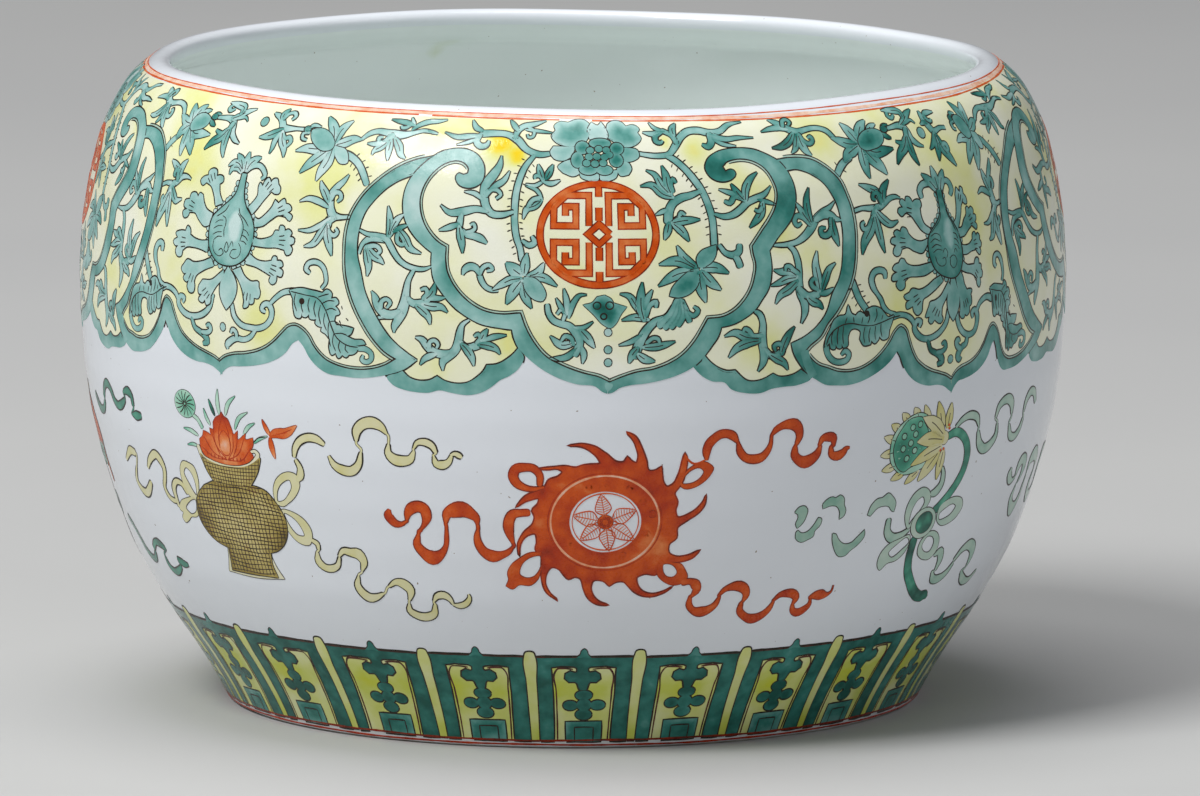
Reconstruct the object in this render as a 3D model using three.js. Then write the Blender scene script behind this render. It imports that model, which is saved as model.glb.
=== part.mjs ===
// Globular porcelain vase: a wide-mouthed jar with a rolled lip, a full round
// belly and a turned foot ring.
//
// A jar of this size is thrown in two parts. The potter throws a lower bowl and
// an upper shoulder ring, lets both dry until they are leather hard, sets one on
// the other at the widest part and seals the joint inside with a bead of slip.
// The foot ring is then turned out of the lower part's own clay.
//
// Units are millimetres, +Z is up, and the origin is the centre of the plane
// that the foot ring stands on.

import * as THREE from "three";

// ---- driving dimensions ----------------------------------------------------

const SIDES = 64; // facets round every turned form
const JOINT_Z = 96; // height of the joint between the two thrown parts
const WALL_TOP = 5.2; // wall under the lip
const WALL_MID = 4.8; // wall at the belly
const WALL_LOW = 6.4; // wall just above the floor
const HEIGHT = 157.4; // top of the lip
const LIP_INNER_R = 97.6; // radius of the mouth

const FOOT_OUTER_R = 82.9; // outer edge of the flat that the jar stands on
const FOOT_INNER_R = 76.4; // inner edge of that flat
const FOOT_DEPTH = 6.6; // how deep the base is turned away inside the foot
const FLOOR_TOP = 13.4; // upper face of the floor, in the middle

const BAND_LOW = 92.5; // the bead of slip inside, over the joint
const BAND_HIGH = 99.5;
const BAND_THICK = 1.2;
const BAND_GAP = 0.3;

// Outer wall, as [radius, height], from the foot up to the edge of the lip.
const OUTER = [
  [84.8, 1.2],
  [88.2, 7.5],
  [92.6, 14.5],
  [97.1, 21.0],
  [101.4, 27.9],
  [105.1, 34.5],
  [108.3, 41.2],
  [113.0, 54.5],
  [116.6, 67.9],
  [118.8, 81.2],
  [119.8, 94.5],
  [120.0, 107.9],
  [118.8, 121.2],
  [116.1, 134.5],
  [113.8, 141.5],
  [110.7, 147.9],
  [107.4, 152.6],
  [103.7, 155.8],
];

// ---- profile helpers -------------------------------------------------------

const v2 = (r, z) => new THREE.Vector2(r, z);
const outerCurve = new THREE.SplineCurve(OUTER.map(([r, z]) => v2(r, z)));
const outerFine = outerCurve.getPoints(600);

// Radius of the outer wall at a height.
function outerRadius(z) {
  for (let i = 1; i < outerFine.length; i++) {
    const a = outerFine[i - 1];
    const b = outerFine[i];
    if (z <= b.y) return a.x + ((b.x - a.x) * (z - a.y)) / (b.y - a.y);
  }
  return outerFine[outerFine.length - 1].x;
}

// Thickness of the wall at a height, measured level.
function wallAt(z) {
  if (z < 60) {
    const t = THREE.MathUtils.smoothstep(z, 20, 60);
    return THREE.MathUtils.lerp(WALL_LOW, WALL_MID, t);
  }
  const t = THREE.MathUtils.smoothstep(z, 110, 150);
  return THREE.MathUtils.lerp(WALL_MID, WALL_TOP, t);
}

const innerRadius = (z) => outerRadius(z) - wallAt(z);

// Turns a closed half section about the jar's axis, and stands it on +Z.
function turned(section) {
  const g = new THREE.LatheGeometry(section, SIDES);
  g.rotateX(Math.PI / 2);
  return g;
}

const heights = (from, to, steps) =>
  Array.from({ length: steps + 1 }, (_, i) => from + ((to - from) * i) / steps);

// ---- materials -------------------------------------------------------------

const porcelain = new THREE.MeshStandardMaterial({
  color: new THREE.Color(0.88, 0.9, 0.92),
  roughness: 0.12,
  metalness: 0,
});
const slip = new THREE.MeshStandardMaterial({
  color: new THREE.Color(0.86, 0.88, 0.88),
  roughness: 0.2,
  metalness: 0,
});

// ---- lower thrown part: floor, foot ring and lower wall --------------------

const lowerSection = [
  // underside of the base, inside the foot ring, slightly domed
  v2(0, FOOT_DEPTH + 0.7),
  v2(36, FOOT_DEPTH + 0.4),
  v2(66, FOOT_DEPTH),
  v2(72.5, FOOT_DEPTH - 0.6),
  v2(74.6, FOOT_DEPTH - 2.6),
  // foot ring: inner face, bevel, flat, bevel
  v2(75.4, 0.9),
  v2(FOOT_INNER_R, 0),
  v2(FOOT_OUTER_R, 0),
  v2(84.3, 0.5),
  // outer wall up to the joint
  ...heights(1.2, JOINT_Z, 17).map((z) => v2(outerRadius(z), z)),
  // inner wall down to the floor
  ...heights(JOINT_Z, 27, 12).map((z) => v2(innerRadius(z), z)),
  v2(88.6, 21.5),
  v2(83.4, 17.6),
  v2(76, 15.2),
  v2(66, 14.1),
  v2(40, 13.6),
  v2(0, FLOOR_TOP),
];

const lower = new THREE.Mesh(turned(lowerSection), porcelain);
lower.name = "lower_section";

// ---- upper thrown part: shoulder and rolled lip ----------------------------

const upperLoop = [
  ...heights(JOINT_Z, 147.9, 9).map((z) => v2(outerRadius(z), z)),
  v2(outerRadius(151), 151),
  v2(outerRadius(153.6), 153.6),
  v2(103.7, 155.8),
  // the lip rolls over
  v2(102.3, 156.8),
  v2(100.6, HEIGHT),
  v2(98.9, 157.2),
  v2(97.9, 156.4),
  v2(LIP_INNER_R, 155.3),
  v2(98.1, 153.6),
  v2(100.2, 151.4),
  // inner wall back down to the joint
  ...heights(148, JOINT_Z, 9).map((z) => v2(innerRadius(z), z)),
];
upperLoop.push(upperLoop[0].clone());

const upper = new THREE.Mesh(turned(upperLoop), porcelain);
upper.name = "upper_section";

// ---- bead of slip that seals the joint inside ------------------------------

const bandHeights = heights(BAND_LOW, BAND_HIGH, 4);
const bandLoop = [
  ...bandHeights.map((z) => v2(innerRadius(z) - BAND_GAP, z)),
  v2(innerRadius(BAND_HIGH) - BAND_GAP - 0.35, BAND_HIGH),
  v2(innerRadius(98) - BAND_GAP - BAND_THICK, 98),
  v2(innerRadius(94) - BAND_GAP - BAND_THICK, 94),
  v2(innerRadius(BAND_LOW) - BAND_GAP - 0.35, BAND_LOW),
];
bandLoop.push(bandLoop[0].clone());

const band = new THREE.Mesh(turned(bandLoop), slip);
band.name = "luting_band";

// ---- the vase --------------------------------------------------------------

const vase = new THREE.Group();
vase.add(lower, upper, band);

export default vase;
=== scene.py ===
import math

import bpy
import numpy as np
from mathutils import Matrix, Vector
from mathutils.geometry import delaunay_2d_cdt


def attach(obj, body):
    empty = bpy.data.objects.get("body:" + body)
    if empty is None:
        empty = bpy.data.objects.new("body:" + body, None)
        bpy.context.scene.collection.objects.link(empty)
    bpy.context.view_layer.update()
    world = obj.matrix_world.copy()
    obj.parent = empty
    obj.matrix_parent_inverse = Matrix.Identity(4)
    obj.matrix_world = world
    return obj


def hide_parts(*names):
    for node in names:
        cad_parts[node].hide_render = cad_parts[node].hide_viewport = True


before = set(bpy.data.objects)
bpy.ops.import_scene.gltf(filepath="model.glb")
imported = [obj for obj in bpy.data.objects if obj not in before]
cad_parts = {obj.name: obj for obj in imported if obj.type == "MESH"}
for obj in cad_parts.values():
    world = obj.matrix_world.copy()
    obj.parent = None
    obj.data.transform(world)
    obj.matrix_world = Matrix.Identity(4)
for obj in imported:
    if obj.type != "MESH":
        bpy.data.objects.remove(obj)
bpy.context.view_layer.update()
RNG = np.random.default_rng(11)
MM = 0.001
PERIOD = 2 * math.pi * 120.0
TURN = math.radians(3.2)  # the painted front stands this far round from -Y

# ---------------------------------------------------------------- the turned form

OUTER = [
    (84.8, 1.2), (88.2, 7.5), (92.6, 14.5), (97.1, 21.0), (101.4, 27.9), (105.1, 34.5),
    (108.3, 41.2), (113.0, 54.5), (116.6, 67.9), (118.8, 81.2), (119.8, 94.5), (120.0, 107.9),
    (118.8, 121.2), (116.1, 134.5), (113.8, 141.5), (110.7, 147.9), (107.4, 152.6), (103.7, 155.8),
]


def spline_xy(points, n):
    """Uniform Catmull-Rom through the points, ends repeated."""
    p = np.array(points, float)
    m = len(p)
    out = []
    for t in np.linspace(0, m - 1, n + 1):
        i = min(int(t), m - 2)
        f = t - i
        a, b, c, d = p[max(i - 1, 0)], p[i], p[i + 1], p[min(i + 2, m - 1)]
        v0, v1 = (c - a) * 0.5, (d - b) * 0.5
        out.append((2 * b - 2 * c + v0 + v1) * f**3 + (-3 * b + 3 * c - 2 * v0 - v1) * f**2 + v0 * f + b)
    return np.array(out)


def curve(points, closed=False, step=0.8, least=3):
    """Smooth curve through points of any dimension; tangents weighted by chord length."""
    p = np.array(points, float)
    if len(p) < 3 and not closed:
        n = max(least, int(np.linalg.norm(p[1, :2] - p[0, :2]) / step) + 1)
        t = np.linspace(0, 1, n + 1)[:, None]
        return p[0] + (p[1] - p[0]) * t
    if closed:
        p = np.vstack([p[-1], p, p[0], p[1]])
    else:
        p = np.vstack([2 * p[0] - p[1], p, 2 * p[-1] - p[-2]])
    d = np.maximum(np.linalg.norm(np.diff(p[:, :2], axis=0), axis=1), 1e-6)
    out = []
    for i in range(1, len(p) - 2):
        h = d[i]
        m0 = ((p[i + 1] - p[i]) / h * d[i - 1] + (p[i] - p[i - 1]) / d[i - 1] * h) / (h + d[i - 1]) * h
        m1 = ((p[i + 2] - p[i + 1]) / d[i + 1] * h + (p[i + 1] - p[i]) / h * d[i + 1]) / (h + d[i + 1]) * h
        n = max(least, int(h / step) + 1)
        t = (np.arange(n) / n)[:, None]
        out.append(
            (2 * t**3 - 3 * t**2 + 1) * p[i] + (t**3 - 2 * t**2 + t) * m0
            + (-2 * t**3 + 3 * t**2) * p[i + 1] + (t**3 - t**2) * m1
        )
    res = np.vstack(out)
    return res if closed else np.vstack([res, p[-2]])


outer_line = spline_xy(OUTER, 600)


def outer_r(z):
    return np.interp(z, outer_line[:, 1], outer_line[:, 0])


def smooth01(x):
    x = np.clip(x, 0, 1)
    return x * x * (3 - 2 * x)


def wall(z):
    if z < 60:
        return 6.4 + (4.8 - 6.4) * smooth01((z - 20) / 40)
    return 4.8 + 0.4 * smooth01((z - 110) / 40)


LIP = [(103.7, 155.8), (102.3, 156.8), (100.6, 157.4), (98.9, 157.2), (97.9, 156.4), (97.6, 155.3),
       (98.1, 153.6), (100.2, 151.4), (float(outer_r(148.0)) - 5.19, 148.0)]
lip_line = curve(LIP, step=0.5)

# table of the painted surface: arc length -> radius, height, normal
_path = np.vstack([outer_line, lip_line[1:16]])
_len = np.concatenate([[0], np.cumsum(np.linalg.norm(np.diff(_path, axis=0), axis=1))])
S_TAB = np.arange(0, _len[-1], 0.1)
R_TAB = np.interp(S_TAB, _len, _path[:, 0])
Z_TAB = np.interp(S_TAB, _len, _path[:, 1])
_k = np.ones(15) / 15


def _soft(a):
    return np.convolve(np.pad(a, 7, mode="edge"), _k, mode="valid")


_tr, _tz = _soft(np.gradient(R_TAB)), _soft(np.gradient(Z_TAB))
_tl = np.hypot(_tr, _tz)
NR_TAB, NZ_TAB = _tz / _tl, -_tr / _tl


def wobble(x, y, z):
    """The rim isn't perfectly round or level, as on any jar that was thrown and fired."""
    th = np.arctan2(y, x)
    k = smooth01((z - 105) / 52)
    dz = k * (-0.65 * (1 + np.sin(th)) - 1.5 * np.maximum(0, np.cos(th - 0.95)) ** 1.5 + 0.30 * np.sin(2 * th + 0.7) + 0.22 * np.sin(3 * th + 2.1) + 0.16 * np.sin(7 * th + 1.0))
    dr = k * (0.35 * np.cos(2 * th + 0.3) + 0.18 * np.cos(5 * th + 0.4))
    # faint throwing rings
    dr = dr + 0.05 * np.sin(z * 0.55 + 0.8 * np.sin(th)) * smooth01((z - 30) / 30)
    r = np.hypot(x, y)
    f = np.where(r > 1, (r + dr * smooth01((r - 60) / 30)) / np.maximum(r, 1), 1)
    return x * f, y * f, z + dz


def wrap(u, s, h):
    """Flat coordinates and a height over the glaze -> points in metres."""
    h = np.where(np.asarray(h, float) > 0, 0.03 + 0.4 * np.asarray(h, float), h)
    s0 = np.clip(s, 0, S_TAB[-1])
    r = np.interp(s0, S_TAB, R_TAB)
    z = np.interp(s0, S_TAB, Z_TAB)
    nr = np.interp(s0, S_TAB, NR_TAB)
    nz = np.interp(s0, S_TAB, NZ_TAB)
    low = np.minimum(s, 0)
    r = r + h * nr + low * 0.45
    z = z + h * nz + low * 0.88
    a = TURN + u / 120.0
    x, y, z = wobble(r * np.sin(a), -r * np.cos(a), z)
    return np.stack([x, y, z], axis=-1) * MM


# ---------------------------------------------------------------- mesh buffers


class Buf:
    """Collects the pieces of one mesh: points, tone, faces with a smooth flag."""

    def __init__(self):
        self.v, self.t, self.q, self.qs, self.tri, self.ts = [], [], [], [], [], []
        self.n = 0

    def points(self, v, tone):
        first = self.n
        self.v.append(v)
        self.t.append(np.broadcast_to(np.asarray(tone, float), (len(v),)))
        self.n += len(v)
        return first

    def quads(self, f, smooth=True):
        f = np.asarray(f, int).reshape(-1, 4)
        self.q.append(f)
        self.qs.append(np.full(len(f), smooth))

    def tris(self, f, smooth=True):
        f = np.asarray(f, int).reshape(-1, 3)
        self.tri.append(f)
        self.ts.append(np.full(len(f), smooth))

    def make(self, name, material, slot):
        me = bpy.data.meshes.new(name)
        v = np.vstack(self.v)
        q = np.vstack(self.q) if self.q else np.zeros((0, 4), int)
        t = np.vstack(self.tri) if self.tri else np.zeros((0, 3), int)
        loops = np.concatenate([q.ravel(), t.ravel()])
        starts = np.concatenate([np.arange(len(q)) * 4, len(q) * 4 + np.arange(len(t)) * 3])
        me.vertices.add(len(v))
        me.vertices.foreach_set("co", v.astype(np.float32).ravel())
        me.loops.add(len(loops))
        me.loops.foreach_set("vertex_index", loops.astype(np.int32))
        me.polygons.add(len(starts))
        me.polygons.foreach_set("loop_start", starts.astype(np.int32))
        sm = np.concatenate([*self.qs, *self.ts]) if len(starts) else np.zeros(0, bool)
        me.polygons.foreach_set("use_smooth", sm.astype(bool))
        a = me.attributes.new("tone", "FLOAT", "POINT")
        a.data.foreach_set("value", np.concatenate(self.t).astype(np.float32))
        me.update(calc_edges=True)
        me.validate()
        me.set_sharp_from_angle(angle=math.radians(35))
        o = bpy.data.objects.new(name, me)
        bpy.context.scene.collection.objects.link(o)
        o.data.materials.append(material)
        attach(o, "root")
        print(name, len(v), "verts", len(q) * 2 + len(t), "tris")
        return o


BUFS = {}


def buf(name):
    if name not in BUFS:
        BUFS[name] = Buf()
    return BUFS[name]


# ---------------------------------------------------------------- drawing

SINK = 0.10  # how far the solids reach under the glaze


def wave(t, seed, amp=1.0):
    """Slow random wave along a line, for hand-drawn width and place."""
    a = 0.5 * np.sin(t * 0.31 + seed * 1.7) + 0.3 * np.sin(t * 0.83 + seed * 4.1) + 0.2 * np.sin(t * 1.9 + seed * 2.3)
    return a * amp


def ribbon(b, c, h, tone, dome=0.0, flat=False, pool=0.05):
    """A raised stroke. c is an array of (u, s, width)."""
    c = c[np.concatenate([[True], np.linalg.norm(np.diff(c[:, :2], axis=0), axis=1) > 0.02])]
    if len(c) < 2:
        return
    t = np.gradient(c[:, :2], axis=0)
    t /= np.maximum(np.linalg.norm(t, axis=1), 1e-9)[:, None]
    nrm = np.stack([-t[:, 1], t[:, 0]], axis=1)
    w = np.maximum(c[:, 2], 0.05)
    if flat:
        across = np.array([-1, -0.97, 0.97, 1])
        hs = np.array([-SINK, h, h, -SINK])
        off = np.zeros(4)
    else:
        across = np.array([-1, -0.98, 0, 0.98, 1])
        hs = np.array([-SINK, h, h + dome, h, -SINK])
        off = np.array([pool, pool, -pool * 0.8, pool * 0.6, pool * 0.6])
    k = len(across)
    pu = c[:, None, 0] + nrm[:, None, 0] * across[None] * w[:, None] / 2
    ps = c[:, None, 1] + nrm[:, None, 1] * across[None] * w[:, None] / 2
    hh = np.broadcast_to(hs[None], pu.shape)
    n = len(c)
    tone = np.broadcast_to(np.asarray(tone, float), (n,)) if np.ndim(tone) else np.full(n, float(tone))
    first = b.points(wrap(pu.ravel(), ps.ravel(), hh.ravel()), (tone[:, None] + off[None]).ravel())
    i = np.arange(n - 1)[:, None] * k
    j = np.arange(k)[None]
    jn = (j + 1) % k
    f = np.stack([i + j, i + jn, i + k + jn, i + k + j], axis=-1) + first
    b.quads(f[:, 1 : k - 2].reshape(-1, 4), True)
    b.quads(f[:, [0, k - 2, k - 1]].reshape(-1, 4), False)
    e = first + (n - 1) * k
    b.tris([[first, first + m + 1, first + m] for m in range(1, k - 1)], False)
    b.tris([[e, e + m, e + m + 1] for m in range(1, k - 1)], False)


def round_ends(c):
    """Rounds the ends of a stroke that are wide."""
    out = [c]
    for end in (0, -1):
        w = c[end, 2]
        if w > 0.5:
            d = c[end, :2] - c[1 if end == 0 else -2, :2]
            d = d / max(np.linalg.norm(d), 1e-6)
            cap = np.array([[*(c[end, :2] + d * w / 2 * math.sin(a)), w * max(math.cos(a), 0.12)] for a in (0.5, 0.95, 1.35)])
            if end == 0:
                out.insert(0, cap[::-1])
            else:
                out.append(cap)
    return np.vstack(out)


def line(name, pts, w=0.34, h=0.26, T=None, closed=False, step=0.9, tone=0.5, sampled=False):
    """An ink line."""
    h = min(h, 0.19)
    c = np.array(pts, float) if sampled else curve(np.array(pts, float)[:, :2], closed=closed, step=step)
    if closed:
        c = np.vstack([c, c[0]])
    if T is not None:
        c = T(c[:, :2])
    seed = RNG.uniform(0, 50)
    d = np.concatenate([[0], np.cumsum(np.linalg.norm(np.diff(c, axis=0), axis=1))])
    ww = w * (1 + wave(d, seed, 0.28))
    if not closed:
        ww[0] *= 0.6
        ww[-1] *= 0.5
    ribbon(buf(name), np.column_stack([c, ww]), h, tone, flat=True)


LAY = {0: (0.085, 0.10), 1: (0.105, 0.12), 2: (0.125, 0.14), 3: (0.145, 0.16), 4: (0.165, 0.18)}


def ink_tone(name):
    """Outlines are black, or dark red round the iron-red emblems."""
    return 0.93 if name in ("emblem_wheel_lines", "emblem_vase_flower_lines") else 0.5


def stroke(name, ink, pts, layer=1, tone=0.5, T=None, edge=0.30, step=0.8, vary=0.12, ends=True):
    """A filled stroke of changing width with a dark outline showing round it."""
    c = curve(pts, step=step)
    if ends:
        c = round_ends(c)
    if T is not None:
        c = np.column_stack([T(c[:, :2]), c[:, 2]])
    lo, hi = LAY[layer]
    seed = RNG.uniform(0, 50)
    d = np.concatenate([[0], np.cumsum(np.linalg.norm(np.diff(c[:, :2], axis=0), axis=1))])
    if edge > 0:
        o = c.copy()
        o[:, 2] = o[:, 2] + 2 * edge * (1 + wave(d, seed, 0.3))
        ribbon(buf(ink), o, lo, ink_tone(ink), flat=True)
    tt = tone + wave(d, seed + 9, vary)
    ribbon(buf(name), c, hi, tt, dome=min(0.012, 0.004 + 0.003 * float(c[:, 2].max())))


def leaf(name, ink, pts, w, layer=2, tone=0.5, T=None, edge=0.34, vein=False):
    """A pointed leaf or petal: base first, tip last, widest at about two fifths."""
    p = np.array(pts, float)
    d = np.concatenate([[0], np.cumsum(np.linalg.norm(np.diff(p, axis=0), axis=1))])
    c = curve(p, step=0.7)
    d = np.concatenate([[0], np.cumsum(np.linalg.norm(np.diff(c, axis=0), axis=1))])
    t = d / d[-1]
    ww = w * np.interp(t, [0, 0.2, 0.42, 0.7, 0.9, 1], [0.35, 0.8, 1, 0.76, 0.34, 0.05])
    if T is not None:
        c = T(c)
    lo, hi = LAY[layer]
    ribbon(buf(ink), np.column_stack([c, ww + 2 * edge * np.interp(t, [0, 0.1, 1], [0.3, 1, 0.9])]), lo, ink_tone(ink), flat=True)
    tt = tone + 0.38 * (t - 0.5) * RNG.choice([-1, 1]) + RNG.uniform(-0.08, 0.08)
    ribbon(buf(name), np.column_stack([c, ww]), hi, tt, dome=0.008)
    if (vein or w > 1.5) and len(c) > 5:
        ribbon(buf(ink), np.column_stack([c, np.full(len(c), 0.24)])[1 : int(len(c) * 0.66)], hi + 0.018, 0.5, flat=True)


def inside(points, loops):
    """Even-odd test of points against closed loops."""
    res = np.zeros(len(points), bool)
    x, y = points[:, 0][:, None], points[:, 1][:, None]
    for lp in loops:
        a, c = lp, np.roll(lp, -1, axis=0)
        for k in range(0, len(a), 400):
            x0, y0, x1, y1 = a[k : k + 400, 0], a[k : k + 400, 1], c[k : k + 400, 0], c[k : k + 400, 1]
            hit = ((y0 > y) != (y1 > y)) & (x < (x1 - x0) * (y - y0) / np.where(y1 == y0, 1e-12, y1 - y0) + x0)
            res ^= (hit.sum(axis=1) % 2).astype(bool)
    return res


def near(points, loops):
    d = np.full(len(points), 1e9)
    for lp in loops:
        for k in range(0, len(lp), 300):
            q = lp[k : k + 300]
            d = np.minimum(d, np.sqrt(((points[:, None] - q[None]) ** 2).sum(-1)).min(axis=1))
    return d


def corners(text, closed=True, step=0.8):
    """Points as text, with | after a sharp corner; smooth between corners."""
    groups = [g for g in text.split("|")]
    parts = [np.array([[float(v) for v in p.split(",")] for p in g.split()]) for g in groups if g.strip()]
    out = []
    n = len(parts)
    if n == 1 and closed:
        return curve(parts[0], closed=True, step=step)
    for i, p in enumerate(parts):
        q = p
        if i > 0:
            q = np.vstack([parts[i - 1][-1], p])
        if len(q) == 1:
            out.append(q)
            continue
        c = curve(q, step=step, least=2)
        out.append(c if i == 0 else c[1:])
    return np.vstack(out)


def spots_tone(u, s, spots):
    t = np.zeros_like(u)
    for cu, cs, r, a in spots:
        t += a * np.exp(-((u - cu) ** 2 + (s - cs) ** 2) / (r * r))
    return t


def fill(name, loops, h, tone=0.5, rim=0.0, deep=0.0, reach=2.0, grid=2.6, T=None, spots=(), vary=0.1, dome=0.0):
    """A flat area of enamel with holes by the even-odd rule. deep darkens away from the edge, rim darkens at it."""
    loops = [np.asarray(lp, float) for lp in loops]
    if T is not None:
        loops = [T(lp) for lp in loops]
    allp = np.vstack(loops)
    lo, hi = allp.min(axis=0), allp.max(axis=0)
    ga = np.arange(lo[0] + grid / 2, hi[0], grid)
    gs = np.arange(lo[1] + grid / 2, hi[1], grid * 0.87)
    gx, gy = np.meshgrid(ga, gs)
    gx = gx + (np.arange(len(gs))[:, None] % 2) * grid / 2
    g = np.column_stack([gx.ravel(), gy.ravel()])
    if len(g):
        g = g[inside(g, loops)]
    if len(g):
        g = g[near(g, loops) > min(0.45 * grid, 0.9)]
    verts, edges, at = [], [], 0
    for lp in loops:
        keep = np.concatenate([[True], np.linalg.norm(np.diff(lp, axis=0), axis=1) > 0.03])
        lp = lp[keep]
        m = len(lp)
        verts += [Vector((float(p[0]), float(p[1]))) for p in lp]
        edges += [(at + i, at + (i + 1) % m) for i in range(m)]
        at += m
    verts += [Vector((float(p[0]), float(p[1]))) for p in g]
    ov, oe, of = delaunay_2d_cdt(verts, edges, [], 0, 1e-4, False)[:3]
    p = np.array([[v[0], v[1]] for v in ov])
    f = np.array([list(t) for t in of if len(t) == 3], int)
    if not len(f):
        return
    mid = p[f].mean(axis=1)
    f = f[inside(mid, loops)]
    if not len(f):
        return
    a = p[f]
    area = (a[:, 1, 0] - a[:, 0, 0]) * (a[:, 2, 1] - a[:, 0, 1]) - (a[:, 2, 0] - a[:, 0, 0]) * (a[:, 1, 1] - a[:, 0, 1])
    f[area < 0] = f[area < 0][:, ::-1]
    f = f[np.abs(area) > 1e-6]
    used, inv = np.unique(f, return_inverse=True)
    p, f = p[used], inv.reshape(f.shape)
    d = near(p, loops)
    k = smooth01(d / reach)
    tt = tone + deep * k + rim * (1 - smooth01(d / 0.7)) + spots_tone(p[:, 0], p[:, 1], spots)
    tt = tt + vary * np.sin(p[:, 0] * 0.21 + 1.3) * np.sin(p[:, 1] * 0.33 + p[:, 0] * 0.05)
    b = buf(name)
    n = len(p)
    top = b.points(wrap(p[:, 0], p[:, 1], h + dome * k), tt)
    bot = b.points(wrap(p[:, 0], p[:, 1], np.full(n, -SINK)), tt)
    b.tris(f + top, True)
    b.tris(f[:, ::-1] + bot, False)
    e = np.vstack([f[:, [0, 1]], f[:, [1, 2]], f[:, [2, 0]]])
    key = np.sort(e, axis=1)
    _, idx, cnt = np.unique(key, axis=0, return_index=True, return_counts=True)
    e = e[idx[cnt == 1]]
    b.quads(np.column_stack([e[:, 0] + bot, e[:, 1] + bot, e[:, 1] + top, e[:, 0] + top]), False)


def outline(ink, loop, w=0.7, h=0.19, T=None, closed=True, tone=None):
    tone = ink_tone(ink) if tone is None else tone
    c = np.asarray(loop, float)
    if closed:
        c = np.vstack([c, c[0]])
    if T is not None:
        c = T(c)
    d = np.concatenate([[0], np.cumsum(np.linalg.norm(np.diff(c, axis=0), axis=1))])
    ww = w * (1 + wave(d, RNG.uniform(0, 50), 0.18))
    ribbon(buf(ink), np.column_stack([c, ww]), h, tone, flat=True)


def shape(name, ink, text, layer=2, tone=0.5, T=None, edge=0.3, closed=True, step=0.7, holes=(), **kw):
    """A filled outline shape given as text."""
    loops = [corners(t, closed=True, step=step) for t in (text, *holes)]
    lo, hi = LAY[layer]
    if ink:
        for lp in loops:
            outline(ink, lp, w=2 * edge, h=lo, T=T)
    fill(name, loops, hi, tone=tone, T=T, **kw)


def oval(cu, cs, ru, rs, n=None, tilt=0.0):
    n = n or max(10, int(2 * math.pi * max(ru, rs) / 0.7))
    a = np.arange(n) * 2 * math.pi / n
    x, y = ru * np.cos(a), rs * np.sin(a)
    c, s = math.cos(tilt), math.sin(tilt)
    return np.column_stack([cu + x * c - y * s, cs + x * s + y * c])


def disc(name, ink, cu, cs, ru, rs=None, layer=2, tone=0.5, T=None, edge=0.28, tilt=0.0, **kw):
    lp = oval(cu, cs, ru, rs or ru, tilt=tilt)
    lo, hi = LAY[layer]
    if ink:
        outline(ink, lp, w=2 * edge, h=lo, T=T)
    fill(name, [lp], hi, tone=tone, T=T, **kw)


def offset(c, dist):
    """Moves an open line sideways, mitred at its corners."""
    t = np.diff(c, axis=0)
    t /= np.maximum(np.linalg.norm(t, axis=1), 1e-9)[:, None]
    n = np.column_stack([-t[:, 1], t[:, 0]])
    a = np.vstack([n[0], n])
    b = np.vstack([n, n[-1]])
    m = a + b
    m /= np.maximum(np.linalg.norm(m, axis=1), 1e-9)[:, None]
    k = np.clip((m * a).sum(axis=1), 0.4, 1)
    return c + m * (dist / k)[:, None]


def nums(text):
    return np.array([[float(v) for v in p.split(",")] for p in text.split()])


# ---------------------------------------------------------------- places round the belly

SECTOR = PERIOD / 4
UL, UR = 100.7, 97.0  # where the painter's lotus panels fell, left and right of the front
_KU = np.array([-PERIOD / 2, -282.75, -188.5, -124.2, -112.0, -94.25, 0, 94.25, 116.5, 128.8, 188.5, 282.75, PERIOD / 2])
_KA = np.array([-PERIOD / 2, -282.75, -188.5, -128.6, -120.2, -UL, 0, UR, 113.2, 121.5, 186.5, 282.75, PERIOD / 2])


def droop(u):
    """The border sags a little at the right of the front."""
    return np.interp(u, [20, 40, 55, 78, 96, 115, 140, 190], [0, 0.5, 1.2, 4.2, 5.3, 5.3, 3.6, 0])


def act(U, S, k):
    U = (U + PERIOD / 2) % PERIOD - PERIOD / 2 if np.ndim(U) == 0 else U
    base = np.floor((np.median(U) + PERIOD / 2) / PERIOD) * PERIOD
    u = np.interp(U - base, _KU, _KA, left=None, right=None)
    over = U - base
    u = np.where(over > _KU[-1], over, np.where(over < _KU[0], over, u))
    a = droop(u)
    s = (S - 167 * a / 67) / (1 - a / 67)
    s = np.where(S > 167, S, s)
    if k != 0:
        u = u + 0.45 * np.sin(S * 0.11 + k * 2.1) + 0.35 * np.sin(u * 0.09 + k * 1.3)
        s = s + 0.45 * np.sin(u * 0.13 + k * 1.7) * smooth01((165 - S) / 12)
    return np.column_stack([u, s])


def TL(k):
    return lambda p: act(p[:, 0] * (SECTOR / 2) / UL + SECTOR * k, p[:, 1], k)


def TR(k):
    def f(p):
        s = p[:, 1] + droop(p[:, 0]) * (167 - p[:, 1]) / 67
        return act(p[:, 0] * (SECTOR / 2) / UR + SECTOR * k, np.where(p[:, 1] > 167, p[:, 1], s), k)
    return f


# ---------------------------------------------------------------- the painted border

G, GB, INK, INKB = "scroll_enamel_green", "border_enamel_green", "ink_scrolls", "ink_borders"

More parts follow.
